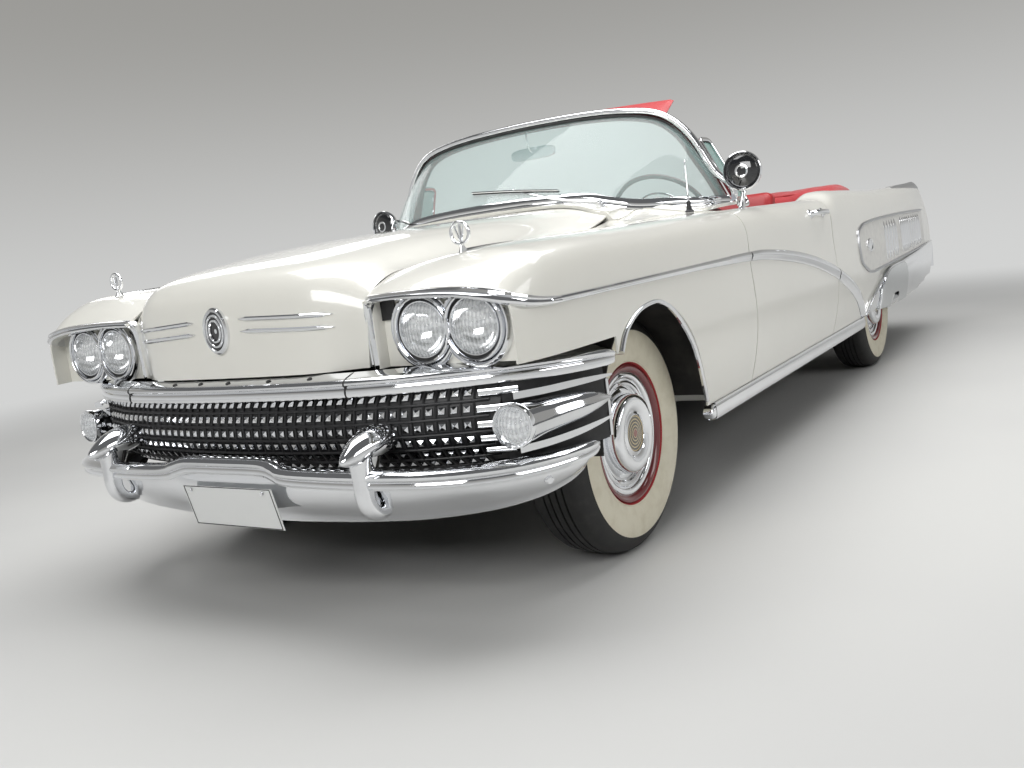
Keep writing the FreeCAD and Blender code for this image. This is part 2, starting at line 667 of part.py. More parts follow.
def make_frame():
    rail = beam([place(*row) for row in RAIL_SHARES], RAIL_WIDTH, RAIL_HEIGHT)
    solids = both(rail)
    for x_share in CROSS_SHARES:
        centre = place(x_share, 0, rail_z(x_share))
        reach = ACROSS * (rail_y(x_share) * BODY_HALF_WIDTH)
        solids.append(beam([centre - reach, centre + reach], CROSS_MEMBER_WIDTH, RAIL_HEIGHT / 2))
    half_length = CRADLE_LENGTH / 2
    half_height = CRADLE_HEIGHT / 2
    solids.append(block(V(FRONT_AXLE_X - half_length, -CRADLE_HALF_WIDTH, CRADLE_Z - half_height),
                        V(FRONT_AXLE_X + half_length, CRADLE_HALF_WIDTH, CRADLE_Z + half_height)))
    arm_reach = BALL_JOINT_DROP + ARM_TO_JOINT + ARM_THICK
    tower = block(V(FRONT_AXLE_X - half_length, CRADLE_HALF_WIDTH - 2 * ARM_THICK, TYRE_RADIUS - arm_reach),
                  V(FRONT_AXLE_X + half_length, CRADLE_HALF_WIDTH, TYRE_RADIUS + arm_reach))
    solids.extend(both(tower))
    sleeve_x = FRONT_AXLE_X - STEER_ARM_BACK
    sleeve_z = STEER_ARM_Z - TIE_ROD_DROP - TIE_ROD_RADIUS
    bore = TIE_ROD_RADIUS + HUB_FIT
    start = V(sleeve_x, -RACK_SLEEVE_HALF, sleeve_z)
    end = V(sleeve_x, RACK_SLEEVE_HALF, sleeve_z)
    solids.append(rod(start, end, bore + RACK_SLEEVE_WALL))
    solids.append(block(V(sleeve_x, -RACK_SLEEVE_HALF / 2, sleeve_z - RACK_SLEEVE_WALL),
                        V(FRONT_AXLE_X, RACK_SLEEVE_HALF / 2, CRADLE_Z)))
    return fused(solids).cut(rod(start, end, bore))


FRONT_SPRING_RADIUS = 45.0
FRONT_SPRING_Y = 520.0


def make_front_suspension():
    joint_low = TYRE_RADIUS - BALL_JOINT_DROP
    joint_high = TYRE_RADIUS + BALL_JOINT_DROP
    low_arm = joint_low - ARM_TO_JOINT - ARM_THICK
    high_arm = joint_high + ARM_TO_JOINT
    inner = CRADLE_HALF_WIDTH + TRIM_SEAT
    outer = KINGPIN_Y + UPRIGHT_RADIUS / 2
    solids = []
    for low in (low_arm, high_arm):
        points = [V(FRONT_AXLE_X - 2 * ARM_HALF_WIDTH, inner, low),
                  V(FRONT_AXLE_X + 2 * ARM_HALF_WIDTH, inner, low),
                  V(FRONT_AXLE_X + ARM_HALF_WIDTH / 2, outer, low),
                  V(FRONT_AXLE_X - ARM_HALF_WIDTH / 2, outer, low)]
        solids.append(Part.Face(Part.makePolygon(points + points[:1])).extrude(UPWARD * ARM_THICK))
    pin = V(FRONT_AXLE_X, KINGPIN_Y, low_arm)
    solids.append(rod(pin, V(pin.x, pin.y, joint_low + BALL_STUD_LENGTH), BALL_STUD_RADIUS))
    solids.append(rod(V(pin.x, pin.y, joint_high - BALL_STUD_LENGTH), V(pin.x, pin.y, high_arm + ARM_THICK),
                      BALL_STUD_RADIUS))
    solids.append(rod(V(FRONT_AXLE_X, FRONT_SPRING_Y, low_arm), V(FRONT_AXLE_X, FRONT_SPRING_Y, high_arm),
                      FRONT_SPRING_RADIUS))
    return both(fused(solids))


AXLE_TUBE_RADIUS = 40.0
DIFF_RADIUS = 150.0
DIFF_HALF_WIDTH = 110.0
TORQUE_TUBE_RADIUS = 44.0
TORQUE_TUBE_FRONT_X = 638.8
TORQUE_TUBE_FRONT_Z = 345.0
REAR_SPRING_Y = 520.0
REAR_SPRING_RADIUS = 62.0


def make_rear_axle():
    centre = V(REAR_AXLE_X, 0, TYRE_RADIUS)
    wheel_y = REAR_TRACK / 2
    drum_face = wheel_y - DRUM_WIDTH / 2 - DRUM_RUNNING_GAP
    end = ACROSS * drum_face
    tube_solid = rod(centre - end, centre + end, AXLE_TUBE_RADIUS)
    bowl = turned(((0.0, -DIFF_HALF_WIDTH), (0.55 * DIFF_RADIUS, -0.8 * DIFF_HALF_WIDTH),
                   (DIFF_RADIUS, 0.0), (0.55 * DIFF_RADIUS, 0.8 * DIFF_HALF_WIDTH),
                   (0.0, DIFF_HALF_WIDTH)), centre, ACROSS)
    tail = V(TORQUE_TUBE_FRONT_X, 0, TORQUE_TUBE_FRONT_Z)
    solids = [tube_solid, bowl, rod(centre, tail, TORQUE_TUBE_RADIUS)]
    for side in (1, -1):
        hub = centre + ACROSS * (side * (wheel_y + HUB_REACH / 2 - SPINDLE_INSET))
        solids.append(rod(centre, hub, HUB_BORE - HUB_FIT))
        face = centre + ACROSS * (side * drum_face)
        solids.append(rod(face - ACROSS * (side * BACKING_THICK), face, DRUM_RADIUS))
        seat = centre + ACROSS * (side * REAR_SPRING_Y)
        top_z = rail_z(REAR_AXLE_X / BODY_HALF_LENGTH) * BELT_HEIGHT - RAIL_HEIGHT / 2 - TRIM_SEAT
        top = V(seat.x, seat.y, top_z)
        solids.append(rod(seat, top, REAR_SPRING_RADIUS))
    return fused(solids)


ENGINE_FRONT_X = 2230.0
ENGINE_REAR_X = 1330.0
ENGINE_HALF_WIDTH = 270.0
ENGINE_LOW_Z = 300.0
ENGINE_HIGH_Z = 860.0
ENGINE_ROUND = 60.0
ENGINE_MOUNT_RADIUS = 30.0
SUMP_FRONT_X = 1740.0
GEARBOX_REAR_X = 640.0
GEARBOX_Z = 345.0
GEARBOX_FRONT_RADIUS = 150.0
GEARBOX_REAR_RADIUS = 52.0


def make_engine():
    lump = round_block(V(ENGINE_REAR_X, -ENGINE_HALF_WIDTH, ENGINE_LOW_Z + CRADLE_HEIGHT),
                       V(ENGINE_FRONT_X, ENGINE_HALF_WIDTH, ENGINE_HIGH_Z), ENGINE_ROUND)
    sump = block(V(ENGINE_REAR_X, -ENGINE_HALF_WIDTH / 2, ENGINE_LOW_Z - ENGINE_ROUND),
                 V(SUMP_FRONT_X, ENGINE_HALF_WIDTH / 2, ENGINE_HIGH_Z / 2))
    box = Part.makeCone(GEARBOX_FRONT_RADIUS, GEARBOX_REAR_RADIUS, ENGINE_REAR_X - GEARBOX_REAR_X,
                        V(ENGINE_REAR_X, 0, GEARBOX_Z), V(-1, 0, 0))
    seat_z = CRADLE_Z + CRADLE_HEIGHT / 2 + TRIM_SEAT
    mount = rod(V(FRONT_AXLE_X, ENGINE_HALF_WIDTH / 2, seat_z),
                V(FRONT_AXLE_X, ENGINE_HALF_WIDTH / 2, ENGINE_HIGH_Z / 2 + ENGINE_ROUND), ENGINE_MOUNT_RADIUS)
    return fused([lump, sump, box] + both(mount))


EXHAUST_RADIUS = 22.0
SILENCER_RADIUS = 58.0
SILENCER_HANGER = 24.0
EXHAUST_SHARES = ((0.500, 0.220, 0.362), (0.470, 0.245, 0.270), (0.440, 0.330, 0.205), (0.400, 0.430, 0.222),
                  (0.300, 0.470, 0.238), (0.100, 0.470, 0.240), (-0.170, 0.470, 0.240),
                  (-0.250, 0.530, 0.242), (-0.320, 0.600, 0.250), (-0.380, 0.624, 0.262),
                  (-0.460, 0.624, 0.272), (-0.560, 0.624, 0.290), (-0.700, 0.628, 0.320),
                  (-0.900, 0.640, 0.340))
SILENCER_SHARES = ((-0.010, 0.470, 0.240), (-0.160, 0.470, 0.240))


def make_exhaust():
    points = [place(*row) for row in EXHAUST_SHARES]
    size = [2 * EXHAUST_RADIUS] * len(points)
    pipe = bar(points, size, size, 2.0, UPWARD, 29)
    silencer = rod(place(*SILENCER_SHARES[0]), place(*SILENCER_SHARES[1]), SILENCER_RADIUS)
    middle = (place(*SILENCER_SHARES[0]) + place(*SILENCER_SHARES[1])) * 0.5
    hanger = block(middle - V(SILENCER_HANGER, SILENCER_HANGER / 2, 0),
                   V(middle.x + SILENCER_HANGER, middle.y + SILENCER_HANGER / 2, FLOOR_Z - TRIM_SEAT))
    return both(fused([pipe, silencer, hanger]))


TANK_LOW_SHARES = (-0.860, -0.420, 0.420)
TANK_HIGH_SHARES = (-0.640, 0.420, 0.5797)
TANK_ROUND = 45.0


def make_fuel_tank():
    return round_block(place(*TANK_LOW_SHARES), place(*TANK_HIGH_SHARES), TANK_ROUND)


# Floor, rockers, wheelhouses and inner fenders

WHEELHOUSE_RADIUS = 428.0
WHEELHOUSE_WALL = 8.0
WHEELHOUSE_INNER_Y = 610.0
WHEELHOUSE_OUTER_Y = 940.0
TRUNK_FLOOR_Z = 580.0
TRUNK_FLOOR_HALF_WIDTH = 880.0
TRUNK_FLOOR_REAR_X = -2660.3
BACK_WALL = 8.0
TOP_WELL_Z = 926.7
TOP_WELL_HALF_WIDTH = 795.0
TOP_WELL_REAR_X = -1480.0
SEAT_RISER_FRONT_X = -520.0
SEAT_RISER_HALF_WIDTH = 560.0
TUNNEL_ROOM = 12.0
TUNNEL_WALL = 8.0


def half_arch(radius, low_y, high_y, wall):
    start = V(REAR_AXLE_X, low_y, TYRE_RADIUS)
    end = V(REAR_AXLE_X, high_y, TYRE_RADIUS)
    ring = rod(start, end, radius)
    cap = rod(start, start + ACROSS * wall, radius)
    hollow = rod(start + ACROSS * wall, end + ACROSS * wall, radius - wall)
    shell = fused([ring, cap]).cut(hollow)
    keep = block(V(REAR_AXLE_X - 2 * radius, low_y - wall, TYRE_RADIUS),
                 V(REAR_AXLE_X + 2 * radius, high_y + 2 * wall, TYRE_RADIUS + 2 * radius))
    return shell.common(keep)


def tunnel(grow):
    """Solid round the gearbox and the drive shaft, larger by a margin."""
    share = (ENGINE_REAR_X - FIREWALL_X) / (ENGINE_REAR_X - GEARBOX_REAR_X)
    wide = GEARBOX_FRONT_RADIUS + (GEARBOX_REAR_RADIUS - GEARBOX_FRONT_RADIUS) * share
    hump = Part.makeCone(wide + grow, GEARBOX_REAR_RADIUS + grow, FIREWALL_X - GEARBOX_REAR_X,
                         V(FIREWALL_X, 0, GEARBOX_Z), V(-1, 0, 0))
    shaft = rod(V(GEARBOX_REAR_X, 0, GEARBOX_Z), V(REAR_AXLE_X, 0, TYRE_RADIUS), GEARBOX_REAR_RADIUS + grow)
    return fused([hump, shaft])


def make_floor():
    top = FLOOR_Z + FLOOR_THICK
    trunk_top = TRUNK_FLOOR_Z + FLOOR_THICK
    house_front = REAR_AXLE_X + WHEELHOUSE_RADIUS
    back = CABIN_REAR_X + BACK_WALL
    seat_top = REAR_SEAT_BASE_Z - TRIM_SEAT
    solids = [block(V(house_front - WHEELHOUSE_WALL, -FLOOR_HALF_WIDTH, FLOOR_Z),
                    V(FIREWALL_X - TRIM_SEAT, FLOOR_HALF_WIDTH, top)),
              block(V(CABIN_REAR_X, -WHEELHOUSE_INNER_Y, FLOOR_Z), V(house_front, WHEELHOUSE_INNER_Y, top)),
              block(V(CABIN_REAR_X, -WHEELHOUSE_INNER_Y, FLOOR_Z), V(back, WHEELHOUSE_INNER_Y, TOP_WELL_Z)),
              block(V(TRUNK_FLOOR_REAR_X, -WHEELHOUSE_INNER_Y, TRUNK_FLOOR_Z),
                    V(back, WHEELHOUSE_INNER_Y, trunk_top)),
              block(V(TOP_WELL_REAR_X, -TOP_WELL_HALF_WIDTH, TOP_WELL_Z),
                    V(back, TOP_WELL_HALF_WIDTH, TOP_WELL_Z + BACK_WALL)),
              block(V(back, -SEAT_RISER_HALF_WIDTH, FLOOR_Z), V(SEAT_RISER_FRONT_X, SEAT_RISER_HALF_WIDTH, seat_top))]
    arch = half_arch(WHEELHOUSE_RADIUS, WHEELHOUSE_INNER_Y, WHEELHOUSE_OUTER_Y, WHEELHOUSE_WALL)
    front_wall = block(V(house_front - WHEELHOUSE_WALL, WHEELHOUSE_INNER_Y, FLOOR_Z),
                       V(house_front, FLOOR_HALF_WIDTH, TYRE_RADIUS))
    side = block(V(TRUNK_FLOOR_REAR_X, WHEELHOUSE_INNER_Y - FLOOR_THICK, TRUNK_FLOOR_Z),
                 V(REAR_AXLE_X - WHEELHOUSE_RADIUS + FLOOR_THICK, TRUNK_FLOOR_HALF_WIDTH, trunk_top))
    for shape in (arch, front_wall, side):
        solids.extend(both(shape))
    above = block(V(back - WHEELHOUSE_WALL, -WHEELHOUSE_INNER_Y, FLOOR_Z),
                  V(FIREWALL_X - TRIM_SEAT, WHEELHOUSE_INNER_Y, BELT_HEIGHT))
    solids.append(tunnel(TUNNEL_ROOM + TUNNEL_WALL).common(above))
    axle = rod(V(REAR_AXLE_X, -BODY_HALF_WIDTH, TYRE_RADIUS), V(REAR_AXLE_X, BODY_HALF_WIDTH, TYRE_RADIUS),
               AXLE_TUBE_RADIUS + TUNNEL_ROOM)
    return fused(solids).cut(tunnel(TUNNEL_ROOM)).cut(axle)


def make_rockers():
    front = along(ROCKER_FRONT_SHARE)
    rear = along(ROCKER_REAR_SHARE)
    out = ROCKER_OUT_SHARE * BODY_HALF_WIDTH
    low = V(rear, FLOOR_HALF_WIDTH + TRIM_SEAT, ROCKER_LOW_Z)
    high = V(front, out, ROCKER_HIGH_Z)
    sill = block(low, high)
    nose = SHUT_GAP * 2
    rounded = sill.makeFillet(nose, [e for e in sill.Edges if e.BoundBox.YMin > out - nose])
    seal = block(V(-JAMB_DEPTH, low.y + SILL_SEAL_IN, ROCKER_HIGH_Z - SHUT_GAP),
                 V(along(DOOR_FRONT_SHARE), low.y + SILL_SEAL_IN + SILL_SEAL_WIDTH,
                   ROCKER_HIGH_Z + SHUT_GAP - TRIM_SEAT))
    return both(fused([rounded, seal]))


HOOD_STOP_RADIUS = 12.0
HOOD_STOP_SHARES = ((0.780, 0.500), (0.520, 0.500))
APRON_Y = 440.0
APRON_LOW_Z = 430.0
APRON_HIGH_Z = 930.0
APRON_FRONT_X = 2560.0
LEDGE_OUT_Y = 560.0
APRON_WINDOW = 130.0
RADIATOR_X = 2500.0
RADIATOR_DEPTH = 60.0
RADIATOR_HALF_WIDTH = 360.0


def make_inner_fenders():
    wall = block(V(FIREWALL_X + SKIN + TRIM_SEAT, APRON_Y, APRON_LOW_Z),
                 V(APRON_FRONT_X, APRON_Y + SKIN, APRON_HIGH_Z))
    window = block(V(FRONT_AXLE_X - APRON_WINDOW, APRON_Y - SKIN, 0),
                   V(FRONT_AXLE_X + APRON_WINDOW, APRON_Y + 2 * SKIN, APRON_LOW_Z + APRON_WINDOW))
    wall = wall.cut(window)
    ledge = block(V(FIREWALL_X + SKIN + TRIM_SEAT, APRON_Y, APRON_HIGH_Z),
                  V(APRON_FRONT_X, LEDGE_OUT_Y, APRON_HIGH_Z + SKIN))
    radiator = block(V(RADIATOR_X, -RADIATOR_HALF_WIDTH, APRON_LOW_Z),
                     V(RADIATOR_X + RADIATOR_DEPTH, RADIATOR_HALF_WIDTH, APRON_HIGH_Z - RADIATOR_DEPTH))
    tie = block(V(RADIATOR_X, -APRON_Y - SKIN, APRON_LOW_Z),
                V(RADIATOR_X + RADIATOR_DEPTH / 2, APRON_Y + SKIN, APRON_HIGH_Z - 2 * RADIATOR_DEPTH))
    solids = both(wall) + both(ledge) + [radiator, tie]
    above = room_outside(hood_grid(), SKIN + 3 * TRIM_SEAT, -1)
    for x_share, y_share in HOOD_STOP_SHARES:
        foot = place(x_share, y_share, 0)
        foot.z = APRON_HIGH_Z
        stop = rod(foot, foot + UPWARD * (2 * OVERRUN), HOOD_STOP_RADIUS).cut(above)
        solids.extend(both(stop))
    seat_z = rail_z(CROSS_SHARES[0]) * BELT_HEIGHT + RAIL_HEIGHT / 4 + TRIM_SEAT
    leg = block(V(RADIATOR_X, RADIATOR_HALF_WIDTH / 2, seat_z),
                V(RADIATOR_X + RADIATOR_DEPTH, 0.8 * RADIATOR_HALF_WIDTH, APRON_LOW_Z + RADIATOR_DEPTH))
    solids.extend(both(leg))
    return fused(solids)


# Body panels

def arch_tool():
    """Prism that opens the front wheel arch, rounded in front and raked behind."""
    front = FRONT_AXLE_X + ARCH_FRONT_REACH
    rear = FRONT_AXLE_X - ARCH_REAR_REACH
    top = ARCH_TOP_Z
    low = ARCH_FOOT_Z
    rise = top - low
    shares = ((0.99, 0.60), (0.93, 0.78), (0.76, 0.905), (0.45, 0.982), (0.07, 1.0), (-0.22, 0.93),
              (-0.44, 0.79), (-0.65, 0.56), (-0.83, 0.34), (-0.95, 0.18))
    near = []
    for reach_share, rise_share in shares:
        reach = ARCH_FRONT_REACH if reach_share > 0 else ARCH_REAR_REACH
        near.append(V(FRONT_AXLE_X + reach_share * reach, KINGPIN_Y, low + rise_share * rise))
    foot_front = V(front, KINGPIN_Y, low)
    foot_rear = V(rear, KINGPIN_Y, low)
    curve = smooth_edge([foot_front] + near + [foot_rear])
    base = Part.makeLine(foot_rear, foot_front)
    face = Part.Face(Part.Wire([curve, base]))
    return face.extrude(ACROSS * BODY_HALF_WIDTH)


def fender_skin_grid():
    rear = DOOR_FRONT_SHARE + HALF_GAP / BODY_HALF_LENGTH
    stations = (FENDER_FRONT_SHARE, 0.925, 0.914, 0.902, 0.890, 0.872, 0.840, 0.798, 0.740, 0.682, 0.600,
                0.530, 0.480, 0.440, rear)
    rows = 13
    grid = []
    for x_share in stations:
        column = [flank_point(x_share, row / (rows - 1)) for row in range(rows)]
        top = glide_rows(FENDER_TOP_SHARES, x_share)
        column.extend(place(x_share, wide, high) for wide, high in top)
        grid.append(column)
    return grid


def make_fender():
    grid = fender_skin_grid()
    skin = shell_slab(grid, SKIN, -1)
    skin = skin.cut(arch_tool())
    arch_front = FRONT_AXLE_X + ARCH_FRONT_REACH
    chin = FENDER_CHIN_SHARE * BELT_HEIGHT
    nose_room = block(V(arch_front - OVERRUN / 2, KINGPIN_Y, 0),
                      V(BODY_HALF_LENGTH, BODY_HALF_WIDTH + OVERRUN, chin))
    skin = largest(skin.cut(nose_room))
    face_x = LAMP_LENS_X - LENS_BULGE
    face = block(V(face_x - SKIN, FENDER_FACE_IN_SHARE * BODY_HALF_WIDTH, chin),
                 V(face_x, BODY_HALF_WIDTH, BELT_HEIGHT))
    face = largest(face.cut(room_outside(grid, SKIN / 2, -1)))
    for y in (LAMP_INNER_Y, LAMP_OUTER_Y):
        hole = rod(V(face_x - OVERRUN, y, LAMP_Z), V(face_x + OVERRUN, y, LAMP_Z),
                   LAMP_LENS_RADIUS + LAMP_RING_WALL + TRIM_SEAT)
        face = face.cut(hole)
    return fused([skin, face])


def hood_grid():
    grid = []
    for centre, seam in HOOD_SHARES:
        row = []
        for sign in (-1, 1):
            shares = list(zip(HOOD_ACROSS_SHARES, HOOD_FALL_SHARES))
            if sign < 0:
                shares = list(reversed(shares))[:-1]
            for across_share, fall in shares:
                x_share = centre[0] + (seam[0] - centre[0]) * fall
                z_share = centre[1] + (seam[2] - centre[1]) * fall
                row.append(place(x_share, sign * across_share * seam[1], z_share))
        grid.append(row)
    return grid


def make_hood():
    return shell_slab(hood_grid(), SKIN, -1)


def cowl_grid(table, edge_share, bow):
    signed = [(-across_share, fall) for across_share, fall in reversed(bow[1:])] + bow
    grid = []
    for centre_x, edge_x, centre_z, edge_z in table:
        row = []
        for across_share, fall in signed:
            x_share = centre_x + (edge_x - centre_x) * fall
            z_share = centre_z + (edge_z - centre_z) * fall
            row.append(place(x_share, across_share * edge_share, z_share))
        grid.append(row)
    return grid


def cowl_grids():
    front_bow = list(zip(HOOD_ACROSS_SHARES, HOOD_FALL_SHARES))
    front = cowl_grid(COWL_FRONT_SHARES, COWL_FRONT_EDGE_SHARE, front_bow)
    return front, cowl_grid(COWL_REAR_SHARES, COWL_REAR_EDGE_SHARE, list(COWL_REAR_BOW_SHARES))


def make_cowl():
    front_grid, rear_grid = cowl_grids()
    front = shell_slab(front_grid, COWL_WALL, -1)
    rear = shell_slab(rear_grid, COWL_WALL, -1)
    edge = COWL_REAR_EDGE_SHARE * BODY_HALF_WIDTH
    top = [V(FIREWALL_X, p.y, p.z - COWL_WALL / 2) for p in rear_grid[0]]
    foot = FLOOR_Z + FLOOR_THICK + TRIM_SEAT
    outline = [V(FIREWALL_X, -edge + SKIN, FLOOR_Z)] + top[1:-1] + [V(FIREWALL_X, edge - SKIN, FLOOR_Z)]
    wall = Part.Face(Part.makePolygon(outline + outline[:1])).extrude(FORWARD * SKIN)
    wall = wall.cut(rod(V(0, 0, GEARBOX_Z), V(BODY_HALF_LENGTH, 0, GEARBOX_Z),
                        GEARBOX_FRONT_RADIUS + TUNNEL_ROOM / 2))
    wall = wall.common(block(V(FIREWALL_X, -edge, FLOOR_Z), V(FIREWALL_X + SKIN, edge, 2 * BELT_HEIGHT)))
    low_edge = COWL_FRONT_EDGE_SHARE * BODY_HALF_WIDTH
    corner = block(V(FIREWALL_X, low_edge, BELT_HEIGHT - OVERRUN / 2), V(FIREWALL_X + SKIN, edge, 2 * BELT_HEIGHT))
    for piece in both(corner):
        wall = wall.cut(piece)
    pillar = block(V(FIREWALL_X, edge - 2 * PILLAR_DEPTH, foot),
                   V(FIREWALL_X + PILLAR_DEPTH, edge + PILLAR_DEPTH, BELT_HEIGHT - 2 * OVERRUN))
    kick = block(V(along(0.300), edge - 2 * SKIN, foot), V(FIREWALL_X + SKIN, edge - SKIN, BELT_HEIGHT + SKIN))
    kick = kick.cut(room_outside(rear_grid, COWL_WALL / 2, -1))
    return fused([front, rear, wall] + both(pillar) + both(kick))


def wall_slab(front_share, rear_share, columns, wall_table, taper):
    """Part of the side as thick as the whole wall, from the skin to the inner trim."""
    rows = 12
    stations = spread(front_share, rear_share, columns)
    outer = []
    inner = []
    for i, x_share in enumerate(stations):
        column = [flank_point(x_share, row / (rows - 1)) for row in range(rows)]
        outer.append(column)
        shift = taper * i / (columns - 1)
        wall = glide(wall_table, x_share) * BODY_HALF_WIDTH
        inner.append([V(point.x + shift, wall, point.z) for point in column])
    return slab(outer, inner)


def make_door():
    front = DOOR_FRONT_SHARE - HALF_GAP / BODY_HALF_LENGTH
    rear = DOOR_REAR_SHARE + HALF_GAP / BODY_HALF_LENGTH
    return wall_slab(front, rear, 14, DOOR_WALL_SHARES, DOOR_REAR_TAPER)


def make_quarter():
    front = DOOR_REAR_SHARE - HALF_GAP / BODY_HALF_LENGTH
    stations = (front, -0.02, -0.04, -0.07, -0.12, -0.20, -0.30, -0.42, -0.54, -0.66, -0.76,
                -0.85, -0.90, QUARTER_REAR_SHARE)
    rows = 13
    grid = []
    for x_share in stations:
        column = [flank_point(x_share, row / (rows - 1)) for row in range(rows)]
        top = glide_rows(QUARTER_TOP_SHARES, x_share)
        column.extend(place(x_share, wide, high) for wide, high in top)
        grid.append(column)
    skin = shell_slab(grid, SKIN, -1)
    jamb_table = ((-1.0, QUARTER_TOP_SHARES[-1][1][-1][0]), (1.0, QUARTER_TOP_SHARES[-1][1][-1][0]))
    jamb = wall_slab(front, DOOR_REAR_SHARE - JAMB_DEPTH / BODY_HALF_LENGTH, 4, jamb_table, 0)
    return [skin, jamb.cut(room_outside(grid, SKIN, -1))]


QUARTER_TRIM_THICK = 12.0
QUARTER_TRIM_Y = 799.7
QUARTER_TRIM_TOP_Z = 985.0


def make_quarter_trim():
    low = V(CABIN_REAR_X, QUARTER_TRIM_Y - QUARTER_TRIM_THICK, FLOOR_Z + FLOOR_THICK + TRIM_SEAT)
    high = V(-JAMB_DEPTH - TRIM_SEAT, QUARTER_TRIM_Y, QUARTER_TRIM_TOP_Z)
    panel = block(low, high)
    keep_out = rod(V(REAR_AXLE_X, 0, TYRE_RADIUS), V(REAR_AXLE_X, BODY_HALF_WIDTH, TYRE_RADIUS),
                   WHEELHOUSE_RADIUS + TRIM_SEAT)
    well = block(V(-BODY_HALF_LENGTH, 0, TOP_WELL_Z - TRIM_SEAT),
                 V(CABIN_REAR_X + BACK_WALL + TRIM_SEAT, BODY_HALF_WIDTH, TOP_WELL_Z + BACK_WALL + TRIM_SEAT))
    low_back = block(V(-BODY_HALF_LENGTH, 0, 0), V(REAR_AXLE_X + WHEELHOUSE_RADIUS + TRIM_SEAT, BODY_HALF_WIDTH,
                                                   TYRE_RADIUS + TRIM_SEAT))
    return largest(panel.cut(keep_out).cut(well).cut(low_back))


def deck_row(x_share, z_share, edge, count):
    row = []
    for share in spread(-1.0, 1.0, count):
        across_share = share * edge
        drop = DECK_EDGE_DROP / BELT_HEIGHT * (across_share / DECK_EDGE_SHARE) ** 2
        row.append(place(x_share, across_share, z_share - drop))
    return row


def deck_point(part):
    count = len(DECK_SHARES) - 1
    x_share = glide([(i / count, row[0]) for i, row in enumerate(DECK_SHARES)], part)
    z_share = glide([(i / count, row[1]) for i, row in enumerate(DECK_SHARES)], part)
    return x_share, z_share


def make_deck_and_lid():
    steps = 15
    grid = [deck_row(*deck_point(i / (steps - 1)), DECK_EDGE_SHARE, 9) for i in range(steps)]
    whole = shell_slab(grid, SKIN, 1)
    hole_edge = LID_EDGE_SHARE * BODY_HALF_WIDTH
    front = along(LID_FRONT_SHARE)
    chin = LID_CHIN_SHARE * BELT_HEIGHT
    gap = SHUT_GAP / 2
    rear = -BODY_HALF_LENGTH
    opening = block(V(rear, -hole_edge - gap, chin - gap), V(front + gap, hole_edge + gap, 2 * BELT_HEIGHT))
    cutter = block(V(rear, -hole_edge + gap, chin + gap), V(front - gap, hole_edge - gap, 2 * BELT_HEIGHT))
    deck = whole.cut(opening)
    lid = whole.common(cutter)
    lip = slab(inward(grid, SKIN + TRIM_SEAT), inward(grid, SKIN + LID_LIP_THICK))
    inside = block(V(rear, -hole_edge + LID_LIP_WIDTH, chin + LID_LIP_WIDTH),
                   V(front - LID_LIP_WIDTH, hole_edge - LID_LIP_WIDTH, 2 * BELT_HEIGHT))
    around = block(V(rear, -hole_edge - LID_LIP_WIDTH, chin - LID_LIP_WIDTH),
                   V(front + LID_LIP_WIDTH, hole_edge + LID_LIP_WIDTH, 2 * BELT_HEIGHT))
    return [deck, lip.common(around).cut(inside)], lid


# Front end brightwork

def across_points(shares):
    half = [place(*row) for row in shares]
    return [V(p.x, -p.y, p.z) for p in reversed(half[1:])] + half


HEADER_SHARES = ((0.9585, 0.000, 0.6765), (0.9560, 0.250, 0.6765), (0.9480, 0.453, 0.6765),
                 (0.9300, 0.640, 0.6765), (0.9015, 0.800, 0.6755), (0.8738, 0.893, 0.6730),
                 (0.8426, 0.943, 0.6700), (0.8130, 0.970, 0.6660), (0.7945, 0.980, 0.6630))
HEADER_WIDTHS = (46.0, 46.0, 46.0, 48.0, 48.0, 46.0, 42.0, 32.0, 12.0)
HEADER_HEIGHTS = (58.0, 58.0, 58.0, 58.0, 58.0, 60.0, 58.0, 50.0, 26.0)
BUMPER_SHARES = ((0.9720, 0.000, 0.474), (0.9720, 0.120, 0.474), (0.9726, 0.180, 0.469),
                 (0.9770, 0.258, 0.453), (0.9770, 0.400, 0.450), (0.9720, 0.560, 0.448),
                 (0.9560, 0.730, 0.444), (0.9251, 0.850, 0.440), (0.8911, 0.915, 0.438),
                 (0.8565, 0.950, 0.438), (0.8300, 0.966, 0.441))
BUMPER_WIDTH = 54.0
BUMPER_HEIGHT = 52.0
SKIRT_SHARES = (((0.9660, 0.000, 0.450), (0.9560, 0.000, 0.306)),
                ((0.9660, 0.160, 0.450), (0.9560, 0.160, 0.306)),
                ((0.9710, 0.280, 0.436), (0.9520, 0.280, 0.306)),
                ((0.9690, 0.450, 0.430), (0.9440, 0.450, 0.308)),
                ((0.9600, 0.620, 0.426), (0.9300, 0.620, 0.312)),
                ((0.9362, 0.790, 0.424), (0.9060, 0.770, 0.322)),
                ((0.9015, 0.880, 0.420), (0.8770, 0.855, 0.334)),
                ((0.8668, 0.928, 0.420), (0.8516, 0.900, 0.352)),
                ((0.8420, 0.946, 0.421), (0.8374, 0.925, 0.375)))
GUARD_Y = 526.0
GUARD_TIP_X = 2884.0
GUARD_Z = 511.0
GUARD_RADIUS = 50.0
GUARD_LENGTH = 178.0
GUARD_FOOT_Z = 352.0
GUARD_POST_WIDTH = 62.0
LOWER_WING_SHARES = ((0.9080, 0.830, 0.512), (0.8760, 0.905, 0.514), (0.8350, 0.955, 0.518),
                     (0.7960, 0.984, 0.524))
LOWER_WING_SIZES = ((30.0, 34.0), (30.0, 36.0), (26.0, 32.0), (12.0, 14.0))
POD_SHARES = ((0.9160, 0.880, 0.548), (0.9000, 0.888, 0.548), (0.8700, 0.914, 0.554),
              (0.8350, 0.952, 0.562), (0.7950, 0.984, 0.572))
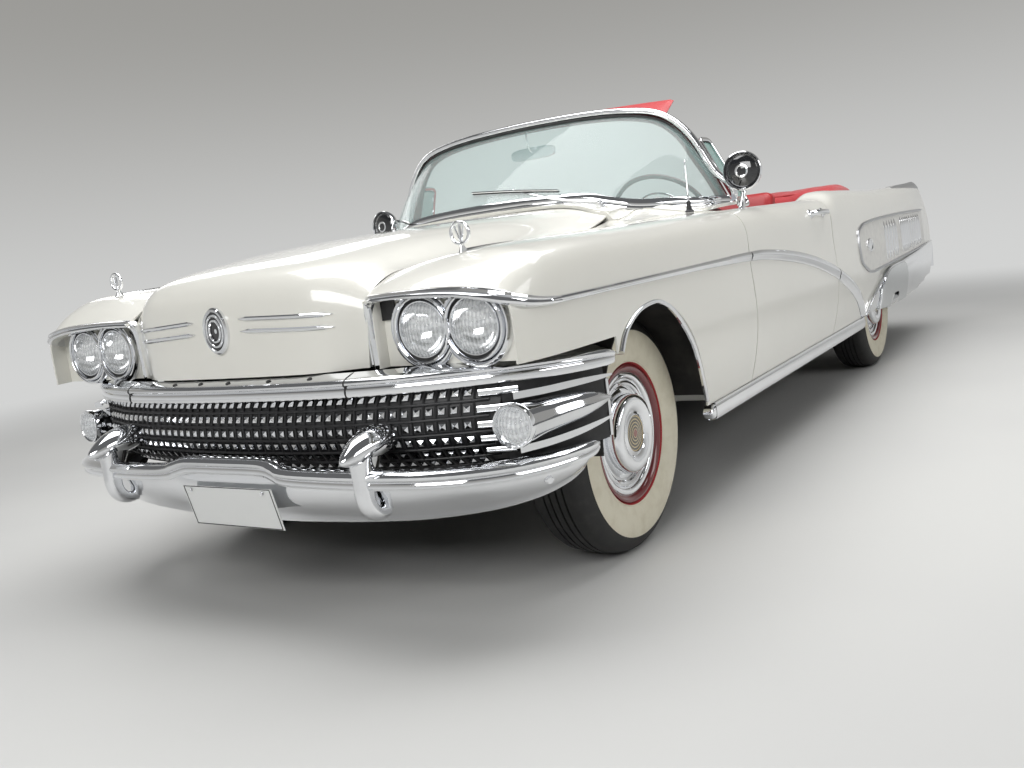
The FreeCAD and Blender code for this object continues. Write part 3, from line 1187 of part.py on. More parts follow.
POD_SIZES = (104.0, 96.0, 78.0, 50.0, 14.0)


def whole_bar(shares, widths, heights, squareness, sections):
    """Bar from tip to tip, from the places and sizes of its left half."""
    points = across_points(shares)
    wide = list(reversed(widths[1:])) + list(widths)
    high = list(reversed(heights[1:])) + list(heights)
    return bar(points, wide, high, squareness, UPWARD, sections)


def make_header():
    return whole_bar(HEADER_SHARES, HEADER_WIDTHS, HEADER_HEIGHTS, 3.4, 25)


def make_front_bumper():
    widths = [BUMPER_WIDTH] * 8 + [0.85 * BUMPER_WIDTH, 0.62 * BUMPER_WIDTH, 0.22 * BUMPER_WIDTH]
    heights = [BUMPER_HEIGHT] * 8 + [0.9 * BUMPER_HEIGHT, 0.7 * BUMPER_HEIGHT, 0.3 * BUMPER_HEIGHT]
    roll = whole_bar(BUMPER_SHARES, widths, heights, 2.4, 33)
    heads = across_points([row[0] for row in SKIRT_SHARES])
    feet = across_points([row[1] for row in SKIRT_SHARES])
    grid = [[head + (foot - head) * t for t in spread(0.0, 1.0, 4)] for head, foot in zip(heads, feet)]
    skirt = shell_slab(grid, SKIN, -1)
    tip = V(GUARD_TIP_X, GUARD_Y, GUARD_Z)
    shares = ((0.0, 0.0), (0.30, 0.02), (0.58, 0.10), (0.82, 0.26), (0.96, 0.46), (1.0, 0.64),
              (0.86, 0.88), (0.60, 1.0), (0.0, 1.0))
    nose = [(GUARD_RADIUS * radius, GUARD_LENGTH * depth) for radius, depth in shares]
    bullet = turned(nose, tip, V(-1, 0, 0))
    post_x = GUARD_TIP_X - 0.50 * GUARD_LENGTH
    post = bar([V(post_x, GUARD_Y, GUARD_Z), V(post_x - 0.02 * GUARD_LENGTH, GUARD_Y, 0.55 * GUARD_Z
                + 0.45 * GUARD_FOOT_Z), V(post_x - 0.12 * GUARD_LENGTH, GUARD_Y, GUARD_FOOT_Z)],
               [GUARD_POST_WIDTH, GUARD_POST_WIDTH, 0.9 * GUARD_POST_WIDTH],
               [GUARD_POST_WIDTH, 0.9 * GUARD_POST_WIDTH, 0.7 * GUARD_POST_WIDTH], 2.6, FORWARD)
    pairs = [roll, skirt]
    for solid in (bullet, post):
        pairs.extend(both(solid))
    rail_tip = rail_z(RAIL_SHARES[0][0]) * BELT_HEIGHT
    bracket = block(V(along(RAIL_SHARES[0][0]) + 2 * FRAME_END_GAP, 0.35 * BODY_HALF_WIDTH, rail_tip - RAIL_HEIGHT / 4),
                    V(along(0.9575), 0.42 * BODY_HALF_WIDTH, rail_tip + RAIL_HEIGHT / 4))
    pairs.extend(both(bracket))
    return fused(pairs)


GRILLE_SHARES = ((0.9440, 0.000), (0.9420, 0.200), (0.9350, 0.420), (0.9240, 0.600), (0.9080, 0.740),
                 (0.8940, 0.815))
GRILLE_HIGH_Z = 641.0
GRILLE_BULGE_SHARES = ((0.4205, -0.0744), (0.4300, -0.0599), (0.4480, -0.0379), (0.4900, 0.0041),
                       (0.5300, 0.0151), (0.5700, 0.0141), (0.6100, 0.0041), (0.641, -0.0079))
GRILLE_THICK = 8.0
GRILLE_STUD_ROWS = 6
GRILLE_STUD_COLUMNS = 46
GRILLE_STUD_FOOT_Z = 430.0
GRILLE_STUD_MARGIN = 0.24
GRILLE_STUD_HEIGHT = 10.0
GRILLE_EDGE_SHARE = 0.785


def grille_columns():
    """Points (x, y) across the car at even spacing along the grille's plan curve."""
    plan = [(y, x) for x, y in GRILLE_SHARES]
    reach = [place(glide(plan, y), y, 0) for y in spread(0.0, GRILLE_EDGE_SHARE, 90)]
    runs = [0.0]
    for first, last in zip(reach, reach[1:]):
        runs.append(runs[-1] + (last - first).Length)
    half = []
    for run in spread(0.0, runs[-1], GRILLE_STUD_COLUMNS // 2 + 1):
        across = glide([(r, p.y) for r, p in zip(runs, reach)], run)
        half.append((along(glide(plan, across / BODY_HALF_WIDTH)), across))
    edge = (along(GRILLE_SHARES[-1][0]), GRILLE_SHARES[-1][1] * BODY_HALF_WIDTH)
    half.append(edge)
    return [(x, -y) for x, y in reversed(half[1:])] + half


def grille_rows():
    """Points (x offset, z) of the grille's upright section, one per row edge."""
    heights = [GRILLE_BULGE_SHARES[0][0] * BELT_HEIGHT]
    heights += spread(GRILLE_STUD_FOOT_Z, GRILLE_HIGH_Z, GRILLE_STUD_ROWS + 1)
    return [(glide(GRILLE_BULGE_SHARES, z / BELT_HEIGHT) * BELT_HEIGHT, z) for z in heights]


def stud_facets(corners):
    """A cell's flat frame and the four sides of the stud that stands in it."""
    low_near, low_far, high_far, high_near = corners
    over = low_far - low_near
    rise = high_near - low_near
    inner = []
    for a, b in ((0, 0), (1, 0), (1, 1), (0, 1)):
        share_a = GRILLE_STUD_MARGIN + a * (1 - 2 * GRILLE_STUD_MARGIN)
        share_b = GRILLE_STUD_MARGIN + b * (1 - 2 * GRILLE_STUD_MARGIN)
        inner.append(low_near + over * share_a + rise * share_b)
    outward = over.cross(rise)
    outward.normalize()
    tip = low_near + over * 0.5 + rise * 0.5 + outward * GRILLE_STUD_HEIGHT
    facets = []
    for i in range(4):
        j = (i + 1) % 4
        facets.append([corners[i], corners[j], inner[j], inner[i]])
        facets.append([inner[i], inner[j], tip])
    return facets


def make_grille():
    """Bowed panel with rows of pointed studs, one to a cell, as one closed body of flat facets."""
    columns = grille_columns()
    rows = grille_rows()
    front = [[V(x + offset, y, z) for offset, z in rows] for x, y in columns]
    back = [[V(p.x - GRILLE_THICK, p.y, p.z) for p in line] for line in front]
    facets = []
    last_column = len(columns) - 2
    for i in range(len(columns) - 1):
        for j in range(len(rows) - 1):
            cell = [front[i][j], front[i + 1][j], front[i + 1][j + 1], front[i][j + 1]]
            studded = 0 < i < last_column and j > 0
            facets.extend(stud_facets(cell) if studded else [cell])
            facets.append([back[i][j], back[i][j + 1], back[i + 1][j + 1], back[i + 1][j]])
        facets.append([front[i][0], back[i][0], back[i + 1][0], front[i + 1][0]])
        facets.append([front[i][-1], front[i + 1][-1], back[i + 1][-1], back[i][-1]])
    for j in range(len(rows) - 1):
        facets.append([front[0][j], front[0][j + 1], back[0][j + 1], back[0][j]])
        facets.append([front[-1][j], back[-1][j], back[-1][j + 1], front[-1][j + 1]])
    faces = [Part.Face(Part.makePolygon(points + points[:1])) for points in facets]
    panel = Part.Solid(Part.makeShell(faces))
    if panel.Volume < 0:
        panel.reverse()
    return panel


def make_wings():
    pod_points = [place(*row) for row in POD_SHARES]
    pod = bar(pod_points, POD_SIZES, POD_SIZES, 2.0)
    ring_centre = place(*PARK_LAMP_SHARES)
    lens = turned(((0.0, LENS_BULGE + LAMP_RING_WALL), (0.6 * PARK_LAMP_RADIUS, LENS_BULGE),
                   (PARK_LAMP_RADIUS, LAMP_RING_WALL), (PARK_LAMP_RADIUS, -2 * LAMP_RING_WALL),
                   (0.0, -2 * LAMP_RING_WALL)), ring_centre, FORWARD)
    wing_points = [place(*row) for row in LOWER_WING_SHARES]
    lower = bar(wing_points, [s[0] for s in LOWER_WING_SIZES], [s[1] for s in LOWER_WING_SIZES], 2.4)
    grid = []
    for x_share, y_share in ((0.8925, 0.8190), (0.8700, 0.872), (0.8400, 0.920), (0.8080, 0.950)):
        grid.append([place(x_share, y_share, z) for z in spread(0.500, 0.6485, 4)])
    panel = shell_slab(grid, SKIN, 1)
    return both(fused([pod, lens, lower, panel]))


def make_headlamps():
    solids = []
    face_x = LAMP_LENS_X - LENS_BULGE
    for y in (LAMP_INNER_Y, LAMP_OUTER_Y):
        centre = V(face_x, y, LAMP_Z)
        ring = LAMP_LENS_RADIUS + LAMP_RING_WALL
        profile = ((0.0, 1.6 * LENS_BULGE), (0.55 * LAMP_LENS_RADIUS, 1.3 * LENS_BULGE),
                   (LAMP_LENS_RADIUS, 0.4 * LENS_BULGE), (LAMP_LENS_RADIUS, LENS_BULGE),
                   (ring, LENS_BULGE), (ring, -LENS_BULGE), (0.6 * ring, -LAMP_DEPTH),
                   (0.0, -LAMP_DEPTH))
        solids.append(turned(profile, centre, FORWARD))
    return both(fused(solids))


# Windshield

def make_glass():
    base = across_points(GLASS_BASE_SHARES)
    top = across_points(GLASS_TOP_SHARES)
    grid = []
    for t in spread(0.0, 1.0, 5):
        bulge = GLASS_BULGE * 4 * t * (1 - t)
        row = []
        for low, high in zip(base, top):
            point = low + (high - low) * t
            out = V(1.0, 0.9 * point.y / BODY_HALF_WIDTH, 0.4)
            out.normalize()
            row.append(point + out * bulge)
        grid.append(row)
    return shell_slab(grid, GLASS_THICK, 1)


def make_windshield(trim_tools):
    half_top = [place(*row) for row in GLASS_TOP_SHARES]
    foot = [place(*row) for row in PILLAR_FOOT_SHARES]
    lift = FRAME_BAR_HEIGHT / 2 + GLASS_THICK / 4
    out_shares = ((0.0, 0.0), (0.45, 0.3), (0.70, 1.0), (1.0, 1.0))
    up_shares = ((0.0, 1.0), (0.55, 1.0), (0.72, 0.3), (1.0, 0.0))
    half = []
    for p in half_top + foot:
        spot = p.y / BODY_HALF_WIDTH
        half.append(V(p.x - FRAME_BAR_WIDTH / 4, p.y + lift * glide(out_shares, spot),
                      p.z + lift * glide(up_shares, spot)))
    path = [V(p.x, -p.y, p.z) for p in reversed(half[1:])] + half
    wires = []
    last = len(path) - 1
    for i, point in enumerate(path):
        heading = path[min(i + 1, last)] - path[max(i - 1, 0)]
        rise = FORWARD.cross(heading)
        rise.normalize()
        deep = heading.cross(rise)
        deep.normalize()
        wires.append(oval(point, deep * (FRAME_BAR_WIDTH / 2), rise * (FRAME_BAR_HEIGHT / 2), 3.2))
    hoop = Part.makeLoft(wires, True, False)
    frame = hoop
    for tool in trim_tools:
        frame = frame.cut(tool)
    frame = largest(frame)
    glass = make_glass().cut(frame)
    for tool in trim_tools:
        glass = glass.cut(tool)
    return frame, largest(glass)


VISOR_LOW_SHARES = (0.300, 0.110, 1.462)
VISOR_HIGH_SHARES = (0.326, 0.620, 1.462)
VISOR_THICK = 14.0
VISOR_LENGTH = 120.0
VISOR_RISE = 30.0
FAR_VISOR_RISE = 4.0
VISOR_ARM_RADIUS = 6.0
VISOR_ARM_SHARES = (0.140, 0.300)
VISOR_ARM_FRONT_X = 951.5
MIRROR_HALF_WIDTH = 110.0
MIRROR_HEIGHT = 50.0
MIRROR_X = 930.0
MIRROR_Z = 1352.0


def make_visor(rise):
    low = place(*VISOR_LOW_SHARES)
    high = place(*VISOR_HIGH_SHARES)
    slope = rise / VISOR_LENGTH
    run = VISOR_LENGTH * math.sqrt(1 - slope * slope)
    corners = [V(low.x, low.y, low.z), V(low.x - run, low.y, low.z + rise),
               V(low.x - run, high.y, low.z + rise), V(low.x, high.y, low.z)]
    face = Part.Face(Part.makePolygon(corners + corners[:1]))
    pad = face.extrude(V(VISOR_THICK, 0, VISOR_THICK / 2))
    arms = []
    for y_share in VISOR_ARM_SHARES:
        tip = V(VISOR_ARM_FRONT_X, y_share * BODY_HALF_WIDTH, low.z + VISOR_ARM_RADIUS)
        arms.append(rod(V(low.x, tip.y, tip.z), tip, VISOR_ARM_RADIUS))
    return fused([pad] + arms)


def make_visors():
    return [make_visor(VISOR_RISE), mirrored(make_visor(FAR_VISOR_RISE))]


def make_inside_mirror():
    low = V(MIRROR_X - VISOR_THICK, -MIRROR_HALF_WIDTH, MIRROR_Z)
    high = V(MIRROR_X + VISOR_THICK, MIRROR_HALF_WIDTH, MIRROR_Z + MIRROR_HEIGHT)
    case = round_block(low, high, VISOR_THICK / 2)
    stem = rod(V(MIRROR_X, 0, MIRROR_Z + MIRROR_HEIGHT / 2),
               V(MIRROR_X + 2 * VISOR_THICK, 0, GLASS_TOP_SHARES[0][2] * BELT_HEIGHT + VISOR_THICK),
               VISOR_THICK / 2)
    return fused([case, stem])


# Cabin fittings

DASH_SHARES = ((0.4076, 1.000), (0.345, 1.014), (0.292, 1.010), (0.274, 0.985), (0.270, 0.930),
               (0.285, 0.860), (0.300, 0.745), (0.330, 0.730), (0.4076, 0.760))
DASH_EDGE_SHARE = 0.780


def make_dash():
    edge = DASH_EDGE_SHARE * BODY_HALF_WIDTH
    points = [place(x, 0, z) for x, z in DASH_SHARES]
    points = [V(p.x, -edge, p.z) for p in points]
    curve = smooth_edge(points)
    base = Part.makeLine(points[-1], points[0])
    dash = Part.Face(Part.Wire([curve, base])).extrude(ACROSS * (2 * edge))
    wheel = V(*STEER_WHEEL_CENTRE)
    tilt = math.radians(STEER_COLUMN_TILT)
    axis = V(math.cos(tilt), 0, -math.sin(tilt))
    start = wheel + axis * (STEER_HUB_DEPTH / 2 + SHUT_GAP)
    end = start + axis * STEER_COLUMN_LENGTH
    column = rod(start, end, STEER_COLUMN_RADIUS)
    whole = fused([dash, column])
    whole = whole.common(block(V(0, -BODY_HALF_WIDTH, 0), V(FIREWALL_X - TRIM_SEAT, BODY_HALF_WIDTH, 2 * BELT_HEIGHT)))
    bore = rod(start, start + axis * (STEER_SHAFT_LENGTH + SHUT_GAP), STEER_SHAFT_RADIUS + HUB_FIT)
    return whole.cut(bore)


def make_steering_wheel():
    wheel = V(*STEER_WHEEL_CENTRE)
    tilt = math.radians(STEER_COLUMN_TILT)
    axis = V(math.cos(tilt), 0, -math.sin(tilt))
    rim = Part.makeTorus(STEER_WHEEL_RADIUS, STEER_RIM_RADIUS, wheel, axis)
    hub = rod(wheel - axis * (STEER_HUB_DEPTH / 2), wheel + axis * (STEER_HUB_DEPTH / 2), STEER_HUB_RADIUS)
    ring = Part.makeTorus(HORN_RING_RADIUS, STEER_RIM_RADIUS / 3, wheel - axis * (STEER_RIM_RADIUS / 2), axis)
    spoke = block(V(-STEER_RIM_RADIUS / 2, -STEER_WHEEL_RADIUS, -SPOKE_WIDTH / 2),
                  V(STEER_RIM_RADIUS / 2, STEER_WHEEL_RADIUS, SPOKE_WIDTH / 2))
    spoke.rotate(V(0, 0, 0), ACROSS, STEER_COLUMN_TILT)
    spoke.translate(wheel)
    shaft = rod(wheel, wheel + axis * (STEER_HUB_DEPTH / 2 + STEER_SHAFT_LENGTH), STEER_SHAFT_RADIUS)
    return fused([rim, hub, spoke, ring, shaft])


SEAT_PROFILE_SHARES = (
    ("front_seat", ((0.165, 0.490), (0.172, 0.560), (0.160, 0.610), (0.060, 0.590), (0.015, 0.600),
                    (-0.010, 0.760), (-0.030, 1.020), (-0.046, 1.066), (-0.066, 1.060),
                    (-0.070, 0.980), (-0.056, 0.700), (-0.048, 0.466), (0.060, 0.454))),
    ("rear_seat", ((-0.160, 0.500), (-0.153, 0.580), (-0.165, 0.620), (-0.250, 0.600), (-0.275, 0.612),
                   (-0.288, 0.760), (-0.302, 0.980), (-0.312, 1.010), (-0.326, 1.006),
                   (-0.329, 0.900), (-0.3285, 0.700), (-0.328, 0.580), (-0.250, 0.500))),
)


def make_seat(shares, half_width):
    points = [V(along(x), -half_width, z * BELT_HEIGHT) for x, z in shares]
    face = Part.Face(closed_outline(points))
    return face.extrude(ACROSS * (2 * half_width))


def make_seats():
    front = make_seat(SEAT_PROFILE_SHARES[0][1], FRONT_SEAT_HALF_WIDTH)
    rails = block(V(along(-0.035), 0.7 * FRONT_SEAT_HALF_WIDTH, FLOOR_Z + FLOOR_THICK + TRIM_SEAT),
                  V(along(0.140), 0.8 * FRONT_SEAT_HALF_WIDTH, 0.46 * BELT_HEIGHT))
    save("front_seat", [fused([front] + both(rails))])
    rear = make_seat(SEAT_PROFILE_SHARES[1][1], REAR_SEAT_HALF_WIDTH)
    keep = block(V(CABIN_REAR_X + BACK_WALL + TRIM_SEAT, -BODY_HALF_WIDTH, REAR_SEAT_BASE_Z),
                 V(0, BODY_HALF_WIDTH, 2 * BELT_HEIGHT))
    save("rear_seat", [largest(rear.common(keep))])


BOOT_SHARES = ((-0.3340, 1.012), (-0.345, 1.056), (-0.385, 1.078), (-0.430, 1.080), (-0.480, 1.060),
               (-0.5040, 1.016), (-0.480, 0.960), (-0.400, 0.930), (-0.350, 0.940))
BOOT_EDGE_SHARE = 0.770
BOOT_BASE_Z = 935.0


def make_boot():
    sections = []
    for share, lean in ((-1.0, 0.82), (-0.8, 0.95), (0.0, 1.0), (0.8, 0.95), (1.0, 0.82)):
        middle = place(-0.42, 0, 1.0)
        points = []
        for x, z in BOOT_SHARES:
            point = place(x, 0, z)
            point = middle + (point - middle) * lean
            points.append(V(point.x, share * BOOT_EDGE_SHARE * BODY_HALF_WIDTH, point.z))
        sections.append(closed_outline(points))
    keep = block(V(-BODY_HALF_LENGTH, -BODY_HALF_WIDTH, BOOT_BASE_Z), V(0, BODY_HALF_WIDTH, 2 * BELT_HEIGHT))
    return largest(Part.makeLoft(sections, True, False).common(keep))


# Side brightwork

SWEEP_FRONT_SHARES = ((0.9290, 0.828, 0.842), (0.900, 0.818, 0.838), (0.860, 0.817, 0.838),
                      (0.798, 0.820, 0.841), (0.682, 0.824, 0.845), (0.540, 0.824, 0.845))
SWEEP_DOOR_SHARES = ((0.330, 0.818, 0.842), (0.252, 0.786, 0.816), (0.180, 0.748, 0.785),
                     (0.106, 0.696, 0.745), (0.045, 0.640, 0.698))
SWEEP_QUARTER_SHARES = ((-0.035, 0.545, 0.625), (-0.080, 0.478, 0.575), (-0.120, 0.405, 0.530),
                        (-0.150, 0.385, 0.480))


LOUVRE_GROUP_SHARES = (-0.3845, -0.5465, -0.6520)
LOUVRES_IN_GROUP = 5
LOUVRE_PITCH_SHARE = 0.0255
LOUVRE_WIDTH_SHARE = 0.0035
LOUVRE_Z_SHARES = (0.640, 0.812)
LOUVRE_STAND = 7.0


def make_side_trim():
    gap = HALF_GAP / BODY_HALF_LENGTH
    front_line = list(SWEEP_FRONT_SHARES) + [(DOOR_FRONT_SHARE + gap, 0.821, 0.843)]
    strip = flank_strip(front_line, TRIM_STAND, 2 * TRIM_SEAT)
    rear_line = [(DOOR_REAR_SHARE - gap, 0.593, 0.660)] + list(SWEEP_QUARTER_SHARES)
    rear = flank_strip(rear_line, TRIM_STAND, 2 * TRIM_SEAT)
    panel_line = ((-0.2350, 0.375, 0.420), (-0.260, 0.362, 0.470), (-0.300, 0.352, 0.500),
                  (-0.380, 0.350, 0.515), (-0.480, 0.350, 0.520), (-0.600, 0.350, 0.540),
                  (-0.700, 0.350, 0.568), (-0.800, 0.358, 0.600), (-0.900, 0.400, 0.630))
    panel = flank_strip(panel_line, 0.6 * TRIM_STAND, 2 * TRIM_SEAT)
    solids = both(strip) + both(rear) + both(panel)
    for first in LOUVRE_GROUP_SHARES:
        for k in range(LOUVRES_IN_GROUP):
            front = first - k * LOUVRE_PITCH_SHARE
            rib_line = ((front, *LOUVRE_Z_SHARES), (front - LOUVRE_WIDTH_SHARE, *LOUVRE_Z_SHARES))
            solids.extend(both(flank_strip(rib_line, LOUVRE_STAND, 2 * TRIM_SEAT)))
    return solids


def make_door_trim():
    gap = HALF_GAP / BODY_HALF_LENGTH
    line = [(DOOR_FRONT_SHARE - gap, 0.820, 0.843)] + list(SWEEP_DOOR_SHARES)
    line.append((DOOR_REAR_SHARE + gap, 0.600, 0.665))
    return flank_strip(line, TRIM_STAND, 2 * TRIM_SEAT)


HANDLE_SHARES = ((0.108, 0.9720, 0.944), (0.090, 1.012, 0.946), (0.060, 1.014, 0.944),
                 (0.040, 0.970, 0.938))
HANDLE_SIZE = 16.0
MIRROR_HEAD_CENTRE = (904.0, 904.0, 1143.0)
MIRROR_HEAD_RADIUS = 74.0
MIRROR_HEAD_DEPTH = 70.0
MIRROR_STEM_RADIUS = 11.0
MIRROR_FOOT_SHARES = (0.327, 0.900, 0.990)
VENT_SHARES = ((0.2720, 0.836, 1.010), (0.2870, 0.706, 1.300), (0.2500, 0.706, 1.300),
               (0.2270, 0.836, 1.010))
VENT_BAR = 16.0


def door_room():
    """Space just outside the door's skin and inward, to seat its fittings on the door."""
    rows = 12
    stations = spread(DOOR_FRONT_SHARE, DOOR_REAR_SHARE, 14)
    outer = []
    inner = []
    for x_share in stations:
        column = [flank_point(x_share, row / (rows - 1)) for row in range(rows)]
        outer.append(column)
        inner.append([V(p.x, FLOOR_HALF_WIDTH / 2, p.z) for p in column])
    return slab(inward(outer, TRIM_SEAT, 1), inner)


def make_door_fittings():
    points = [place(*row) for row in HANDLE_SHARES]
    handle = bar(points, [HANDLE_SIZE] * 4, [HANDLE_SIZE] * 4, 2.4)
    head = V(*MIRROR_HEAD_CENTRE)
    shares = ((0.0, 0.36), (0.62, 0.30), (0.94, 0.16), (1.0, 0.0), (0.96, -0.24), (0.74, -0.50),
              (0.40, -0.64), (0.0, -0.70))
    profile = [(MIRROR_HEAD_RADIUS * radius, MIRROR_HEAD_DEPTH * depth) for radius, depth in shares]
    shell = turned(profile, head, FORWARD)
    foot = place(*MIRROR_FOOT_SHARES)
    seat = V(foot.x, foot.y, foot.z)
    stem = bar([seat, seat + (head - seat) * 0.45, head - UPWARD * (0.9 * MIRROR_HEAD_RADIUS)],
               [3 * MIRROR_STEM_RADIUS, 2 * MIRROR_STEM_RADIUS, 2 * MIRROR_STEM_RADIUS],
               [3 * MIRROR_STEM_RADIUS, 2 * MIRROR_STEM_RADIUS, 2 * MIRROR_STEM_RADIUS], 2.2, FORWARD)
    mirror = fused([shell, stem])
    corners = [place(*row) for row in VENT_SHARES]
    bars = []
    for i, start in enumerate(corners):
        end = corners[(i + 1) % len(corners)]
        bars.append(rod(start, end, VENT_BAR / 2))
        bars.append(Part.makeSphere(VENT_BAR / 2, start))
    vent = fused(bars)
    skin = door_room()
    return [largest(shape.cut(skin)) for shape in (handle, mirror, vent)]


ORNAMENT_X = 2541.0
ORNAMENT_Y = 725.0
ORNAMENT_Z = 1026.0
ORNAMENT_RADIUS = 27.0
ORNAMENT_WIRE = 4.5
ORNAMENT_FOOT_Z = 974.0
ANTENNA_X = 1215.0
ANTENNA_Y = 800.0
ANTENNA_FOOT_Z = 1010.0
ANTENNA_HEIGHT = 190.0
WIPER_PIVOT_SHARES = (0.446, 0.420, 1.092)
WIPER_TIP_SHARES = (0.4600, -0.150, 1.146)


def make_front_fittings():
    centre = V(ORNAMENT_X, ORNAMENT_Y, ORNAMENT_Z)
    ring_foot = centre - FORWARD * ORNAMENT_WIRE
    ring = Part.makeCylinder(ORNAMENT_RADIUS + ORNAMENT_WIRE, 2 * ORNAMENT_WIRE, ring_foot, FORWARD)
    ring = ring.cut(Part.makeCylinder(ORNAMENT_RADIUS - ORNAMENT_WIRE, 2 * ORNAMENT_WIRE, ring_foot, FORWARD))
    blade = rod(V(ORNAMENT_X, ORNAMENT_Y, ORNAMENT_FOOT_Z), centre + UPWARD * ORNAMENT_RADIUS,
                ORNAMENT_WIRE)
    ornament = fused([ring, blade])
    foot = V(ANTENNA_X, ANTENNA_Y, ANTENNA_FOOT_Z)
    base = Part.makeCone(4 * ORNAMENT_WIRE, 2 * ORNAMENT_WIRE, 6 * ORNAMENT_WIRE, foot, UPWARD)
    mast = rod(foot, foot + UPWARD * ANTENNA_HEIGHT, 0.8 * ORNAMENT_WIRE)
    skin = room_inside(fender_skin_grid(), -1)
    ornament = largest(ornament.cut(skin))
    return both(ornament) + [largest(fused([base, mast]).cut(skin))]


# Tail

TAIL_SHARES = ((0.808, 0.615), (0.944, 0.615), (0.946, 0.660), (0.942, 0.740), (0.929, 0.840),
               (0.907, 0.925), (0.887, 0.985), (0.870, 1.016), (0.852, 1.016), (0.840, 0.930),
               (0.820, 0.830), (0.812, 0.740))
TAIL_FRONT_SHARE = -0.915
TAIL_DEPTH = 72.0


def make_tail_lamps():
    points = [place(TAIL_FRONT_SHARE, *row) for row in TAIL_SHARES]
    face = Part.Face(Part.makePolygon(points + points[:1]))
    lamp = face.extrude(V(-TAIL_DEPTH, 0, 0))
    return both(lamp)


REAR_BUMPER_SHARES = ((-0.9820, 0.000, 0.520), (-0.9820, 0.300, 0.520), (-0.9800, 0.600, 0.520),
                      (-0.9740, 0.780, 0.520), (-0.9620, 0.885, 0.520), (-0.9480, 0.950, 0.520))
REAR_BUMPER_HEIGHT = 150.0
REAR_BUMPER_WIDTH = 60.0


def make_rear_bumper():
    points = [place(*row) for row in REAR_BUMPER_SHARES]
    count = len(points)
    roll = whole_bar(REAR_BUMPER_SHARES, [REAR_BUMPER_WIDTH] * count, [REAR_BUMPER_HEIGHT] * count, 3.0, 21)
    tip = V(-BODY_HALF_LENGTH, 0.62 * BODY_HALF_WIDTH, 0.520 * BELT_HEIGHT)
    shares = ((0.0, 0.0), (0.30, 0.02), (0.58, 0.10), (0.82, 0.26), (0.96, 0.46), (1.0, 0.64),
              (0.86, 0.88), (0.0, 1.0))
    nose = [(GUARD_RADIUS * radius, 0.6 * GUARD_LENGTH * depth) for radius, depth in shares]
    bullet = turned(nose, tip, FORWARD)
    bracket = block(V(along(-0.975), 0.47 * BODY_HALF_WIDTH, 0.42 * BELT_HEIGHT),
                    V(along(-0.930) - FRAME_END_GAP, 0.53 * BODY_HALF_WIDTH, 0.50 * BELT_HEIGHT))
    return fused([roll] + both(bullet) + both(bracket))


def main():
    os.makedirs("parts", exist_ok=True)
    make_wheels()
    knuckle = make_knuckle()
    save("knuckle_left", [knuckle])
    save("knuckle_right", [mirrored(knuckle)])
    save("tie_rod", [make_tie_rod()])
    save("chassis_frame", [make_frame()])
    save("front_suspension", make_front_suspension())
    save("rear_axle", [make_rear_axle()])
    save("engine", [make_engine()])
    save("exhaust", make_exhaust())
    save("fuel_tank", [make_fuel_tank()])
    save("floor_pan", [make_floor()])
    save("rockers", make_rockers())
    save("inner_fenders", [make_inner_fenders()])
    fender = make_fender()
    save("fender_left", [fender])
    save("fender_right", [mirrored(fender)])
    save("hood", [make_hood()])
    save("cowl", [largest(make_cowl().cut(fender).cut(mirrored(fender)))])
    door = make_door()
    save("door_left", [door])
    save("door_right", [mirrored(door)])
    quarter = make_quarter()
    save("quarter_left", quarter)
    save("quarter_right", [mirrored(shape) for shape in quarter])
    save("quarter_trim", both(make_quarter_trim()))
    deck, lid = make_deck_and_lid()
    save("rear_deck", deck)
    save("trunk_lid", [lid])
    header = make_header()
    save("nose_bar", [header])
    save("front_bumper", [make_front_bumper()])
    save("grille", [make_grille()])
    save("wing_pods", [largest(shape.cut(header)) for shape in make_wings()])
    save("headlamps", make_headlamps())
    skins = [room_inside(grid, -1) for grid in cowl_grids()] + both(room_inside(fender_skin_grid(), -1))
    frame, glass = make_windshield(skins)
    save("windshield_glass", [glass])
    save("windshield_frame", [frame])
    visors = make_visors() + [make_inside_mirror()]
    save("sun_visors", [largest(shape.cut(frame)) for shape in visors])
    save("dashboard", [make_dash()])
    save("steering_wheel", [make_steering_wheel()])
    make_seats()
    save("top_boot", [make_boot()])
    save("side_trim", make_side_trim())
    for name, shapes in (("left", [make_door_trim()]), ("right", [mirrored(make_door_trim())])):
        save("door_trim_" + name, shapes)
    fittings = make_door_fittings()
    save("door_fittings_left", fittings)
    save("door_fittings_right", [mirrored(shape) for shape in fittings])
    save("front_fittings", make_front_fittings())
    save("tail_lamps", make_tail_lamps())
    save("rear_bumper", [make_rear_bumper()])


main()
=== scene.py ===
import json
import math

import bmesh
import bpy
from mathutils import Matrix, Vector
from mathutils.bvhtree import BVHTree


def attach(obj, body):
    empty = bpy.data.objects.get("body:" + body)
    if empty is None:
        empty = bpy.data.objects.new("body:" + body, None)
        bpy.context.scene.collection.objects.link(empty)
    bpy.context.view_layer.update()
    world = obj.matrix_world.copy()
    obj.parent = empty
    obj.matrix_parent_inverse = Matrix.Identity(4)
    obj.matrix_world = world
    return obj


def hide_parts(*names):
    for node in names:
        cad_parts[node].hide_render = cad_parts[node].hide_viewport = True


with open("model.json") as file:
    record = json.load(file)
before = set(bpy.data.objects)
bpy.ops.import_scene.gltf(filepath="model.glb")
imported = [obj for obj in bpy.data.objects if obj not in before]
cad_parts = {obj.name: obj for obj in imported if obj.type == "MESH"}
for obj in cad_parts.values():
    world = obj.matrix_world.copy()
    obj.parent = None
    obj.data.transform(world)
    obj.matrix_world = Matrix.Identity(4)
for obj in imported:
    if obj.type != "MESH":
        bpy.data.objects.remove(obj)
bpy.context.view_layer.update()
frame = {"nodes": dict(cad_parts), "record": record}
NODES = frame["nodes"]


